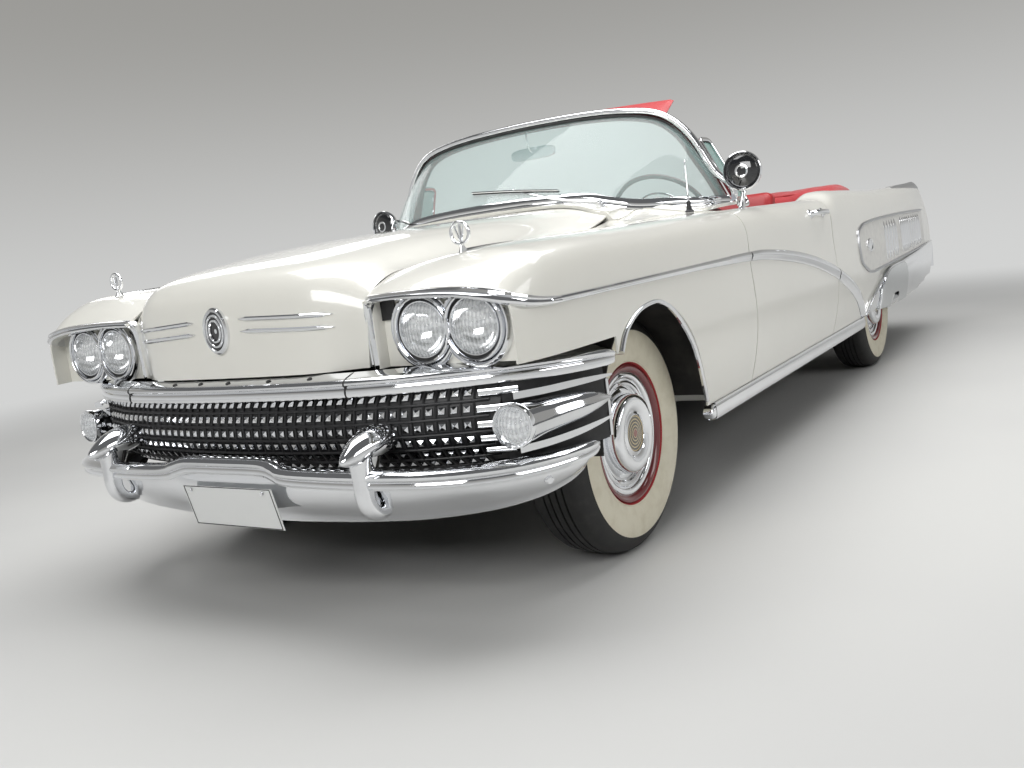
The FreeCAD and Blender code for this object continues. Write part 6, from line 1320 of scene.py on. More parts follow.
def make_windshield_trim():
    """The moulding at the glass's foot, and the hoop's seal, lining and drip rail."""
    rows = curve_values(GLASS_FOOT, 6)
    rows = [(x, -y, a, b) for x, y, a, b in reversed(rows[1:])] + rows
    rings = []
    for (x, y, low, high), heading in zip(rows,
            headings([Vector((row[0], row[1], 0)) for row in rows])):
        out = Vector((heading.y, -heading.x, 0))
        tall = high - low
        rings.append([Vector((x, y, low + tall * t)) + out * o
            for o, t in ((-0.016, -0.12), (0.018, -0.12), (0.0225, 0.02), (0.0215, 0.14),
            (0.0165, 0.22), (0.015, 0.3), (0.016, 0.42), (0.014, 0.62), (0.0105, 0.84),
            (0.0065, 0.99), (0.003, 1.02), (-0.004, 1), (-0.013, 0.8))])
    loft("GlassFootStrip", rings)
    seal = [Vector((x + 0.006, y * 0.984, z - 0.004)) for x, y, z in HOOP]
    wire("GlassSeal", curve_points(mirrored(seal), 6), 0.0075, RUBBER, steps=8)
    lining = [Vector((x - 0.022, y * 0.972, z - 0.006)) for x, y, z in HOOP]
    wire("HoopLining", curve_points(mirrored(lining), 6),
        [0.013 + 0.01 * smooth_share(min(1, abs(i - 54) / 54)) for i in range(109)], DARK_RED,
        slot="red_trim", steps=12)
    drip = [Vector((x - 0.012, y * 1.006, z + 0.0205)) for x, y, z in HOOP[:-1]]
    wire("HoopDrip", curve_points(mirrored(drip), 6), 0.0042, steps=8)


DARK_RED = hide("PillarVinyl", tone(0.16, 0.012, 0.016), tone(0.1, 0.008, 0.01))


def make_wiper(side, pivot, middle, tip, blade_low, blade_high):
    title = HAND[side]
    base = Vector(pivot)
    lathe("WiperPivot" + title, ((-0.02, 0.015), (0.002, 0.015), (0.008, 0.0125), (0.016, 0.011),
        (0.019, 0)), base, (0.35, 0, 0.94), steps=24)
    arm = curve_points([base + Vector((0, 0, 0.012)), middle, tip], 8)
    rings = []
    for i, p in enumerate(arm):
        t = i / (len(arm) - 1)
        wide = 0.0065 - 0.0032 * t
        heading = (arm[min(i + 1, len(arm) - 1)] - arm[max(i - 1, 0)]).normalized()
        cross = heading.cross(Vector((0.8, 0, 0.6))).normalized()
        rings.append([p + cross * (a * wide) + Vector((0.8, 0, 0.6)) * (b * 0.0035)
            for a, b in ((-1, -0.6), (1, -0.6), (1, 0.2), (0.5, 1), (-0.5, 1), (-1, 0.2))])
    loft("WiperArm" + title, rings)
    line = curve_points([blade_low, (Vector(blade_low) + Vector(blade_high)) / 2
        + Vector((0.002, 0, 0.003)), blade_high], 10)
    wire("WiperSpine" + title, [p + Vector((0.006, 0, 0.005)) for p in line], 0.0038, steps=8)
    wire("WiperRubber" + title, line, 0.004, RUBBER, steps=6)


def make_ring_glass(name, corners, body, bar=0.0085):
    """A pane in a thin bright frame, given by its corners."""
    centre = sum((Vector(c) for c in corners), Vector()) / len(corners)
    loop = []
    for i, corner in enumerate(corners):
        corner = Vector(corner)
        before, after = Vector(corners[i - 1]), Vector(corners[(i + 1) % len(corners)])
        for k in range(7):
            t = k / 6
            a = corner + (before - corner).normalized() * 0.03
            b = corner + (after - corner).normalized() * 0.03
            loop.append(a * (1 - t) ** 2 + corner * (2 * t * (1 - t)) + b * t ** 2)
    rings = []
    normal = (Vector(corners[1]) - Vector(corners[0])).cross(Vector(corners[2])
        - Vector(corners[0])).normalized()
    count = len(loop)
    for i, p in enumerate(loop):
        heading = (loop[(i + 1) % count] - loop[i - 1]).normalized()
        cross = heading.cross(normal)
        rings.append([p + cross * (a * bar) + normal * (b * bar)
            for a, b in ((-1, -0.5), (-0.6, -0.8), (0.6, -0.8), (1, -0.5), (1, 0.5), (0.6, 0.8),
            (-0.6, 0.8), (-1, 0.5))])
    frame_piece = loft(name + "Frame", rings, body=body, loop=True)
    seal = [centre + (p - centre) * 0.93 for p in loop]
    rings = [[p + normal * (0.004 * b) + (centre - p).normalized() * (0.004 * a)
        for a, b in ((-1, -1), (1, -1), (1, 1), (-1, 1))] for p in seal]
    loft(name + "Seal", rings, RUBBER, body=body, loop=True)
    pane = [centre + (p - centre) * 0.935 - normal * 0.0015 for p in loop]
    plate(name + "Pane", pane, 0.003, normal, VENT_GLASS, body=body, slot="glass")
    return frame_piece


VENT_GLASS = clear_glass("VentGlass", tone(0.2, 0.42, 0.38), 0.45)
DARK_LENS = paint("DarkLens", tone(0.01, 0.011, 0.013), tone(0.02, 0.02, 0.022), 0.06)


def make_door_parts(side):
    """Handle, vent window, mirror lamp and the padded card of one door. All ride on the door."""
    body = "door_" + HAND[side].lower()
    title = HAND[side]
    handle = curve_values(((0.311, 0.978, 0.944, 0.01, 0.009), (0.295, 1.0, 0.945, 0.013, 0.01),
        (0.26, 1.012, 0.946, 0.012, 0.009), (0.21, 1.016, 0.945, 0.011, 0.008),
        (0.15, 1.012, 0.943, 0.012, 0.009), (0.122, 0.998, 0.941, 0.013, 0.01),
        (0.112, 0.978, 0.939, 0.01, 0.009)), 5)
    rings = []
    ways = headings([Vector((row[0], row[1], 0)) for row in handle])
    for (x, y, z, high, deep), heading in zip(handle, ways):
        out = Vector((heading.y, -heading.x, 0))
        rings.append(flip(oval(Vector((x, y, z)), out * deep, UP * high, 16), side))
    piece = loft("DoorHandle" + title, rings, body=body)
    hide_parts("door_fittings_" + HAND[side].lower())
    for x in (0.306, 0.12):
        spot = flank(x, 0.9415, side, -0.004)
        lathe("HandlePad" + str(int(x * 1000)) + title, ((0, 0.022), (0.006, 0.0205), (0.01, 0.015),
            (0.011, 0)), spot, (0, side, 0.35), body=body, steps=28)
    lathe("HandleButton" + title, ((0, 0.011), (0.016, 0.0105), (0.019, 0.008), (0.02, 0)),
        flank(0.14, 0.9415, side, 0), (0, side, 0.2), body=body, steps=24)
    make_ring_glass("VentWindow" + title,
        flip(((0.79, 0.834, 1.018), (0.825, 0.71, 1.296), (0.721, 0.71, 1.296),
        (0.66, 0.834, 1.018)), side), body)
    head = Vector((0.904, 0.904 * side, 1.143))
    lathe("MirrorShell" + title, ((0.004, 0.066), (0.012, 0.0675), (0.018, 0.0705), (0.016, 0.0735),
        (0.006, 0.075), (-0.006, 0.0735), (-0.02, 0.069), (-0.034, 0.057), (-0.044, 0.04),
        (-0.05, 0.02), (-0.052, 0)), head, (1, 0.1 * side, 0.02), body=body, steps=56)
    lathe("MirrorLens" + title, ((0.004, 0.0665), (0.011, 0.06), (0.018, 0.045), (0.022, 0.026),
        (0.024, 0)), head, (1, 0.1 * side, 0.02), DARK_LENS, body=body, slot="lamp_glass", steps=48)
    lathe("MirrorStar" + title, ((0.02, 0.026), (0.0235, 0.025), (0.0245, 0.02), (0.0225, 0.017)),
        head, (1, 0.1 * side, 0.02), body=body, steps=40)
    stem = curve_values(((0.943, 0.9, 0.99, 0.034, 0.012), (0.94, 0.901, 1.006, 0.028, 0.01),
        (0.933, 0.902, 1.022, 0.018, 0.008), (0.922, 0.903, 1.042, 0.013, 0.008),
        (0.91, 0.9035, 1.062, 0.012, 0.009), (0.902, 0.904, 1.08, 0.014, 0.012)), 5)
    rings = [flip(oval(Vector((x, y, z)), AHEAD * deep, ACROSS * wide, 18), side)
        for x, y, z, deep, wide in stem]
    loft("MirrorStem" + title, rings, body=body)
    make_door_card(side, body, title)


CARD_FRONT, CARD_REAR = 0.94, 0.03
CARD_LOW, CARD_TOP = 0.42, 0.985
CARD_Y = 0.7975
FLUTE_PITCH = 0.045


def fluted_card(name, side, body):
    """The door's upright card, pressed in soft upright flutes under a padded rail."""
    rings = []
    count = int((CARD_FRONT - CARD_REAR) / FLUTE_PITCH) * 8
    for i in range(count + 1):
        x = CARD_FRONT + (CARD_REAR - CARD_FRONT) * i / count
        flute = 0.005 * abs(math.sin(math.pi * (x - CARD_FRONT) / FLUTE_PITCH)) ** 0.6
        edge = min(1.0, (i + 0.2) / 5, (count - i + 0.2) / 5)
        ring = []
        for k in range(15):
            share = k / 14
            soft = min(1.0, (k + 0.2) / 2, (14 - k + 0.2) / 2)
            push = (0.004 + flute * (0.1 < share < 0.72) + 0.004 * (share > 0.76)) * edge * soft
            ring.append(Vector((x, (CARD_Y - push) * side, CARD_LOW + (CARD_TOP - CARD_LOW)
                * share)))
        rings.append(ring + [Vector((x, (CARD_Y + 0.003) * side, z)) for z in (CARD_TOP, CARD_LOW)])
    loft(name, rings, LEATHER, body=body, slot="red_trim")


def make_door_card(side, body, title):
    fluted_card("DoorCard" + title, side, body)
    for z, tall in ((0.478, 0.005), (0.828, 0.006)):
        path = [Vector((x, 0.789 * side, z)) for x in (0.93, 0.7, 0.45, 0.2, 0.045)]
        wire("CardStrip" + str(int(z * 1000)) + title, path, tall, body=body, steps=8)
    rest = curve_values(((0.7, 0.77, 0.7, 0.004, 0.006), (0.66, 0.765, 0.704, 0.02, 0.02),
        (0.56, 0.762, 0.706, 0.028, 0.024), (0.42, 0.762, 0.706, 0.028, 0.024),
        (0.33, 0.765, 0.704, 0.02, 0.02), (0.29, 0.77, 0.7, 0.004, 0.006)), 5)
    rings = [flip(oval(Vector((x, y, z)), ACROSS * wide, UP * high, 16), side)
        for x, y, z, wide, high in rest]
    arm = loft("ArmRest" + title, rings, LEATHER, body=body, slot="red_trim")
    hub = Vector((0.76, 0.782 * side, 0.62))
    lathe("CrankHub" + title, ((0, 0.02), (0.008, 0.018), (0.012, 0.01), (0.013, 0)), hub,
        (0, -side, 0), body=body, steps=24)
    wire("CrankArm" + title, [hub + Vector((0, -0.01 * side, 0)),
        hub + Vector((0.03, -0.016 * side, -0.04)), hub + Vector((0.055, -0.02 * side, -0.085))],
        0.005, body=body, steps=8)
    lathe("CrankKnob" + title, ((0, 0.01), (0.01, 0.012), (0.02, 0.01), (0.022, 0)),
        hub + Vector((0.055, -0.018 * side, -0.085)), (0, -side, 0), BAKELITE, body=body, steps=20)


def make_dash_parts():
    """Dials in a bright panel before the driver, a speaker grille, knobs and a glove box lid."""
    def face(y, z, proud=0.0):
        spot = met(DASH_SKIN, (0.3, y, z), AHEAD)
        return Vector(((spot.x if spot else 0.79) - proud, y, z))
    for low, high, name in ((0.885, 0.893, "DashStripLow"), (0.968, 0.976, "DashStripHigh")):
        wire(name, [face(y / 100, (low + high) / 2, 0.001) for y in range(-76, 77, 4)], 0.0045,
            steps=8)
    rings = []
    for y in spread(-0.755, 0.755, 60):
        rings.append([face(y, z, p) for z, p in ((0.893, 0.0005), (0.896, 0.003), (0.912, 0.0042),
            (0.93, 0.0045), (0.95, 0.0042), (0.964, 0.003), (0.967, 0.0005), (0.96, -0.002),
            (0.9, -0.002))])
    loft("DashBand", rings, SATIN, slot="red_trim")
    for y, radius, key in ((0.41, 0.036, "Speed"), (0.51, 0.029, "Fuel"), (0.31, 0.029, "Heat"),
            (0.59, 0.02, "Oil"), (0.23, 0.02, "Charge"), (-0.02, 0.027, "Clock")):
        spot = face(y, 0.93, 0.004)
        lathe("DialRim" + key, ((-0.004, radius), (0.01, radius), (0.014, radius * 0.95),
            (0.013, radius * 0.88), (0.006, radius * 0.86), (-0.004, radius * 0.86)), spot,
            (-1, 0, 0), steps=40, loop=True)
        dial = lathe("DialFace" + key, ((0, radius * 0.88), (0.0035, radius * 0.86), (0.0045, 0)),
            (0, 0, 0), (-1, 0, 0), DIAL, slot="grille_black", steps=40)
        at_place(dial, spot, "body")
        wire("DialHand" + key,
            [spot + Vector((-0.006, 0, 0)),
            spot + Vector((-0.0062, -radius * 0.35, radius * 0.55))], 0.0009, RED_LENS,
            slot="red_lens", steps=6)
    slats = [wire("SpeakerSlat", [face(y / 1000, z, 0.002) for y in range(30, 171, 20)], 0.0026,
        steps=6) for z in (0.82, 0.83, 0.84, 0.85, 0.86)]
    join("SpeakerSlats", slats)
    knobs = []
    for y in (0.59, 0.3, 0.215, -0.08, -0.15, -0.22):
        spot = face(y, 0.86, 0.0)
        knobs.append(lathe("DashKnob", ((-0.004, 0.006), (0.012, 0.006), (0.014, 0.012),
            (0.026, 0.011), (0.03, 0.007), (0.031, 0)), spot, (-1, 0, 0.2), steps=20))
    join("DashKnobs", knobs)
    lid = []
    for y, z in ((-0.29, 0.8), (-0.66, 0.8), (-0.66, 0.872), (-0.29, 0.872)):
        lid.append(face(y, z, 0.0015))
    lid.append(lid[0])
    path = []
    for a, b in zip(lid, lid[1:]):
        path += [face(a.y + (b.y - a.y) * k / 6, a.z + (b.z - a.z) * k / 6, 0.0015)
            for k in range(6)]
    wire("GloveBoxSeam", path + [path[0]], 0.002, RUBBER, steps=6)
    lathe("GloveBoxLatch", ((0, 0.012), (0.008, 0.011), (0.011, 0.007), (0.012, 0)),
        face(-0.475, 0.862), (-1, 0, 0.2), steps=20)


def dial_face():
    """Black dial with a ring of pale ticks, about the dial's own middle."""
    r = Recipe("DialFace", Coat_Weight=1.0, Coat_Roughness=0.03)
    y, z = r.axes()[1:]
    off = (y * y + z * z) ** 0.5
    turn = y.angle_to(z)
    ticks = (turn * 24.0).sine().step(0.75, 0.9) * off.between(0.015, 0.0215)
    r.colour(r.mix(ticks, tone(0.012, 0.012, 0.014), tone(0.75, 0.76, 0.7)))
    r.set("Roughness", r.noise(50.0) * 0.1 + 0.35)
    return r.bump(ticks, 0.1, 0.0003).material


DIAL = dial_face()
DASH_SKIN = skin_of("dashboard")
WHEEL_CENTRE = Vector((0.58, 0.41, 1.011))
HORN_RADIUS = 0.12
COLUMN_AXIS = Vector((math.cos(math.radians(34)), 0, -math.sin(math.radians(34))))


def make_steering_wheel():
    body = "steering_wheel"
    rim = lathe("SteeringRim", [(0.01 * math.cos(a), 0.215 + 0.0105 * math.sin(a))
        for a in turns(14)], WHEEL_CENTRE, COLUMN_AXIS, BAKELITE, body=body,
        slot="wheel_rim_plastic", steps=112, loop=True)
    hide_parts("steering_wheel")
    lathe("SteeringHub", ((-0.03, 0), (-0.029, 0.02), (-0.024, 0.034), (-0.012, 0.041),
        (0.01, 0.042), (0.026, 0.036), (0.06, 0.03), (0.082, 0.026), (0.082, 0)), WHEEL_CENTRE,
        COLUMN_AXIS, BAKELITE, body=body, slot="wheel_rim_plastic", steps=48)
    lathe("HornButton", ((-0.038, 0), (-0.037, 0.012), (-0.034, 0.022), (-0.029, 0.027),
        (-0.026, 0.028)), WHEEL_CENTRE, COLUMN_AXIS, body=body, steps=40)
    down = COLUMN_AXIS.cross(ACROSS)
    for sign in SIDES:
        stations = ((0.03, 0.018, 0.01, 0), (0.07, 0.016, 0.008, 0.004),
            (0.12, 0.013, 0.007, 0.006), (0.17, 0.012, 0.007, 0.004), (0.21, 0.014, 0.009, 0))
        rings = []
        for reach, wide, deep, sag in curve_values(stations, 5):
            spot = WHEEL_CENTRE + ACROSS * (reach * sign) + COLUMN_AXIS * (0.006 - sag)
            rings.append(oval(spot, down * wide, COLUMN_AXIS * deep, 14))
        loft("SteeringSpoke" + HAND[sign], rings, BAKELITE, body=body, slot="wheel_rim_plastic")
    middle = WHEEL_CENTRE - COLUMN_AXIS * 0.012
    horn = [middle + ACROSS * (HORN_RADIUS * math.cos(math.radians(a))) - down
        * (HORN_RADIUS * math.sin(math.radians(a))) for a in spread(-200, 20, 48)]
    wire("HornRing", horn, 0.004, body=body)
    for sign in SIDES:
        hub = WHEEL_CENTRE + ACROSS * (0.03 * sign) - COLUMN_AXIS * 0.014
        wire("HornArm" + HAND[sign], [hub, horn[-1] if sign > 0 else horn[0]], 0.004, body=body,
            steps=8)
    lever = WHEEL_CENTRE + COLUMN_AXIS * 0.12
    wire("GearLever", [lever + Vector((0.01, -0.02, 0)), lever + Vector((0.005, -0.09, 0.02)),
        lever + Vector((-0.02, -0.165, 0.035))], 0.0048)
    lathe("GearKnob", ((-0.012, 0), (-0.008, 0.009), (0, 0.0125), (0.008, 0.009), (0.012, 0)),
        lever + Vector((-0.02, -0.168, 0.036)), (-0.1, -1, 0.2), BAKELITE, slot="wheel_rim_plastic",
        steps=20)


def pad(name, profile, half, pitch, ribs, material=LEATHER, slot="red_leather", depth=0.01,
        corner=0.045, wrinkle=0.0):
    """A sewn pad: a closed profile of (x, z) carried across the car, drawn in at its seams."""
    line = [Vector((p[0], 0, p[1])) for p in profile]
    count = len(line)
    smooth = []
    for i in range(count):
        near = line[i - 1], line[i], line[(i + 1) % count], line[(i + 2) % count]
        smooth += [between(*near, k / 5) for k in range(5)]
    centre = sum(smooth, Vector()) / len(smooth)
    inward = []
    size = len(smooth)
    for i in range(size):
        heading = (smooth[(i + 1) % size] - smooth[i - 1]).normalized()
        normal = Vector((heading.z, 0, -heading.x))
        inward.append(-normal if normal.dot(centre - smooth[i]) < 0 else normal)
    steps = int(2 * half / 0.012)
    inner = [y for y in (-half + 2 * half * i / steps for i in range(steps + 1)) if abs(y) < half
        - corner]
    ends = [corner * (1 - math.cos(math.radians(10 * k))) for k in range(1, 9)]
    rings = []
    for y in sorted(set([-half + e for e in ends] + [half - e for e in ends] + inner)):
        rim = half - abs(y)
        pull = 0.0
        if rim < corner:
            pull = corner * 0.85 * (1 - math.sqrt(max(0.0, 1 - (1 - rim / corner) ** 2)))
        seam = depth * (1 - abs(math.sin(math.pi * (y - pitch / 2) / pitch)) ** 0.45)
        ring = []
        for p, n in zip(smooth, inward):
            crease = wrinkle * math.sin(31 * y + 9 * p.x) * math.sin(17 * y * (1 + p.z) + 40 * p.x)
            spot = p + n * (pull + seam * ribs(p) + crease)
            ring.append(Vector((spot.x, y, spot.z)))
        rings.append(ring)
    piece = loft(name, rings, material, slot=slot)
    return piece


FRONT_CUSHION = ((0.48, 0.48), (0.494, 0.54), (0.486, 0.598), (0.43, 0.63), (0.32, 0.622),
    (0.2, 0.598), (0.09, 0.586), (0.045, 0.59), (0.03, 0.54), (0.045, 0.48), (0.25, 0.466))
FRONT_BACK = ((0.056, 0.596), (0.03, 0.64), (-0.002, 0.76), (-0.032, 0.9), (-0.068, 1.01),
    (-0.104, 1.062), (-0.15, 1.066), (-0.172, 1.03), (-0.16, 0.9), (-0.13, 0.76), (-0.104, 0.62),
    (-0.04, 0.58))
REAR_CUSHION = ((-0.455, 0.49), (-0.442, 0.54), (-0.452, 0.596), (-0.5, 0.628), (-0.6, 0.624),
    (-0.7, 0.602), (-0.785, 0.604), (-0.8, 0.56), (-0.78, 0.49), (-0.62, 0.478))
REAR_BACK = ((-0.79, 0.612), (-0.806, 0.68), (-0.832, 0.8), (-0.862, 0.93), (-0.88, 0.99),
    (-0.91, 1.008), (-0.938, 0.99), (-0.944, 0.86), (-0.94, 0.7), (-0.9, 0.6), (-0.83, 0.592))


def make_seats():
    front = pad("FrontCushion", FRONT_CUSHION, 0.69, 0.092, lambda p: p.z > 0.575
        and 0.1 < p.x < 0.455)
    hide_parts("front_seat")
    pad("FrontBack", FRONT_BACK, 0.69, 0.092, lambda p: p.x > -0.085 and 0.62 < p.z < 0.985)
    rings = []
    for x, low, high in ((0.47, 0.32, 0.47), (0.44, 0.32, 0.476), (0.1, 0.32, 0.476),
            (-0.12, 0.32, 0.6), (-0.16, 0.34, 0.62)):
        rings.append([Vector((x, y, z)) for y, z in ((-0.665, low), (-0.665, high), (0.665, high),
            (0.665, low))])
    loft("BenchPlinth", rings, CARPET, slot="red_leather", round_to=0.012)
    rings = []
    for x, z, half in ((-0.13, 0.42, 0.66), (-0.15, 0.5, 0.668), (-0.164, 0.7, 0.672),
            (-0.184, 0.9, 0.672), (-0.196, 1, 0.664), (-0.19, 1.03, 0.64)):
        ring = []
        for k in range(25):
            y = -half + 2 * half * k / 24
            ring.append(Vector((x - 0.004 * (1 - (y / half) ** 2), y, z)))
        ring += [Vector((x + 0.02, half, z)), Vector((x + 0.02, -half, z))]
        rings.append(ring)
    loft("BenchBackShell", rings, LEATHER, slot="red_leather")
    for side in SIDES:
        path = [Vector((x, 0.688 * side, z)) for x, z in ((0.47, 0.47), (0.25, 0.462),
            (0.06, 0.474), (-0.08, 0.52), (-0.14, 0.64), (-0.172, 0.82), (-0.188, 0.98))]
        wire("BenchSideStrip" + HAND[side], curve_points(path, 5), 0.006, steps=8)
    rear = pad("RearCushion", REAR_CUSHION, 0.59, 0.098, lambda p: p.z > 0.575 and -0.76 < p.x <
        -0.48)
    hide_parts("rear_seat")
    pad("RearBack", REAR_BACK, 0.59, 0.098, lambda p: p.x > -0.88 and 0.63 < p.z < 0.95)


BOOT_PROFILE = ((-0.966, 0.955), (-0.972, 1), (-1, 1.046), (-1.06, 1.07), (-1.14, 1.077),
    (-1.22, 1.078), (-1.31, 1.073), (-1.38, 1.058), (-1.43, 1.03), (-1.448, 0.99), (-1.44, 0.955),
    (-1.2, 0.945))


def make_boot():
    """The stuffed cloth cover over the folded top, with its snaps and corded edges."""
    boot = pad("TopBoot", BOOT_PROFILE, 0.764, 0.318, lambda p: p.z > 1.03, TOP_CLOTH, "red_fabric",
        depth=0.007, corner=0.06, wrinkle=0.0022)
    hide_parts("top_boot")
    snaps = []
    for y in [-0.66 + 0.12 * k for k in range(12)]:
        for x, z, lean in ((-0.967, 0.985, (1, 0, 0.1)), (-1.447, 1, (-1, 0, 0.2))):
            snaps.append(lathe("Snap", ((-0.003, 0.007), (0.001, 0.0068), (0.0035, 0.005),
                (0.0045, 0)), (x, y, z), lean, steps=16))
    join("BootSnaps", snaps)
    for name, x, z in (("BootCordFront", -1.01, 1.052), ("BootCordRear", -1.392, 1.052)):
        path = [Vector((x, y / 100, z - 0.01 * (y / 74) ** 4)) for y in range(-72, 73, 6)]
        wire(name, path, 0.0042, TOP_CLOTH, slot="red_fabric", steps=8)


def make_visors():
    """Two padded boards that tip up behind the header, and the mirror between them."""
    for side in SIDES:
        title = HAND[side]
        rings = []
        for i in range(41):
            share = i / 40
            y = 0.05 + 0.55 * share
            near = min(1.0, min(share, 1 - share) / 0.035)
            rim = math.sqrt(max(0, 1 - (1 - near) ** 2))
            front = Vector((along_table([(row[1], row[0]) for row in HOOP], y) - 0.02, y,
                along_table([(row[1], row[2]) for row in HOOP], y) + 0.006))
            along = Vector((0.76 + 0.01 * share, y, 1.5 - 0.044 * y)) - front
            up = Vector((along.z, 0, -along.x)).normalized()
            reach = along * (0.5 * (0.93 + 0.07 * rim))
            puff = up * ((0.0085 + 0.0015 * math.sin(math.pi * share)) * max(rim, 0.15))
            rings.append(flip([front + along / 2 + reach * swell(math.cos(a), 0.35) + puff
                * swell(math.sin(a), 0.75) for a in turns(32)], side))
        board = loft("Visor" + title, rings, VISOR_VINYL, slot="red_trim")
        hem = []
        for share in (0.03, 0.2, 0.4, 0.6, 0.8, 0.97):
            y = 0.05 + 0.55 * share
            hem.append(Vector((0.7625 + 0.01 * share, y * side, 1.5 - 0.044 * y)))
        wire("VisorCord" + title, curve_points(hem, 5), 0.0032, DARK_RED, 8, slot="red_trim")
        if side > 0:
            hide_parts("sun_visors")
        bracket = flip(((0.93, 0.06, 1.456), (0.955, 0.045, 1.458), (0.975, 0.03, 1.46)), side)
        wire("VisorBracket" + title, bracket, 0.0045, steps=8)
    rings = [[Vector((x, wide * swell(math.cos(t), 0.5), 1.352 + high * swell(math.sin(t), 0.6)))
        for t in turns(40)] for x, wide, high in ((0.939, 0.1, 0.02), (0.937, 0.108, 0.025),
        (0.929, 0.11, 0.026), (0.9215, 0.108, 0.0245), (0.9205, 0.104, 0.0215))]
    loft("InsideMirror", rings, SATIN)
    wire("InsideMirrorStem", curve_points([(0.938, 0, 1.356), (0.958, 0, 1.372), (0.97, 0, 1.41),
        (0.966, 0, 1.452)], 5), 0.0045)


VISOR_VINYL = hide("VisorVinyl", tone(0.52, 0.05, 0.055), tone(0.44, 0.036, 0.04), 0.5)


def make_carpets():
    """Looped carpet laid over the floor and its tunnel, cut to the cabin."""
    floor = skin_of("floor_pan")
    for title, (x0, x1), half in (("Front", (0.5, 1.15), 0.74), ("Rear", (-0.44, -0.185), 0.7)):
        nx, ny = int((x1 - x0) / 0.025), int(2 * half / 0.02)
        points = []
        for i in range(nx + 1):
            x = x0 + (x1 - x0) * i / nx
            for j in range(ny + 1):
                y = -half + 2 * half * j / ny
                points.append(Vector((x, y, height_on(floor, x, y, 0.317, 0.8) + 0.004)))
        corners = [i * (ny + 1) + j for i in range(nx) for j in range(ny)]
        faces = [(a, a + ny + 1, a + ny + 2, a + 1) for a in corners]
        part = build("Carpet" + title, points, faces, CARPET, slot="red_fabric", outward=False)
        thick = part.modifiers.new("Pile", "SOLIDIFY")
        thick.thickness = 0.006
        thick.offset = 1.0


TAIL_OUTLINE = ((0.808, 0.615), (0.944, 0.615), (0.946, 0.66), (0.942, 0.74), (0.929, 0.84),
    (0.907, 0.925), (0.887, 0.985), (0.87, 1.014), (0.853, 1.014), (0.84, 0.93), (0.82, 0.83),
    (0.812, 0.74))


def make_tail(side):
    """A tall lamp cluster: bright housing, ribbed red lens above a clear one."""
    title = HAND[side]
    mid_y = sum(p[0] for p in TAIL_OUTLINE) / len(TAIL_OUTLINE)
    mid_z = sum(p[1] for p in TAIL_OUTLINE) / len(TAIL_OUTLINE)
    rings = []
    for x, scale in ((-2.64, 1), (-2.688, 1), (-2.702, 0.97), (-2.7085, 0.9), (-2.708, 0.8),
            (-2.7, 0.74), (-2.69, 0.72)):
        ring = []
        for (y, z), (y_next, z_next) in zip(TAIL_OUTLINE, TAIL_OUTLINE[1:] + TAIL_OUTLINE[:1]):
            for t in (0, 0.25, 0.5, 0.75):
                py, pz = y + (y_next - y) * t, z + (z_next - z) * t
                ring.append(Vector((x, (mid_y + (py - mid_y) * scale) * side, mid_z + (pz - mid_z)
                    * (1 - (1 - scale) * 0.35))))
        rings.append(ring)
    housing = loft("TailHousing" + title, rings)
    for name, low, high, material, slot in (("TailLens", 0.77, 0.945, RED_LENS, "red_lens"),
            ("ReverseLens", 0.64, 0.735, FLUTED, "lamp_glass")):
        rings = []
        for x, grow in ((-2.69, 1), (-2.704, 1), (-2.7095, 0.9), (-2.7108, 0.6), (-2.711, 0.05)):
            ring = []
            for t in turns(40):
                z = (low + high) / 2 + (high - low) / 2 * grow * swell(math.sin(t), 0.7)
                inner = along_table(((0.615, 0.814), (0.74, 0.818), (0.83, 0.826), (0.93, 0.845)),
                    z)
                outer = along_table(((0.615, 0.938), (0.74, 0.936), (0.84, 0.923), (0.925, 0.901)),
                    z)
                y = (inner + outer) / 2 + (outer - inner) / 2 * 0.78 * grow * swell(math.cos(t),
                    0.7)
                ring.append(Vector((x, y * side, z)))
            rings.append(ring)
        loft(name + title, rings, material, slot=slot)
    if side > 0:
        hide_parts("tail_lamps")


REAR_PATH = ((-2.832, 0, 0.52), (-2.832, 0.3, 0.52), (-2.8262, 0.6, 0.52), (-2.809, 0.78, 0.52),
    (-2.7744, 0.885, 0.52), (-2.74, 0.945, 0.52))
REAR_OUTLINE = ((0.026, -0.074), (-0.01, -0.074), (-0.024, -0.066), (-0.029, -0.05),
    (-0.024, -0.034), (-0.012, -0.026), (-0.011, -0.016), (-0.022, -0.008), (-0.03, 0.01),
    (-0.03, 0.034), (-0.024, 0.056), (-0.01, 0.07), (0.026, 0.074))


BAR_HEIGHTS = (0.64, 0.664, 0.688)


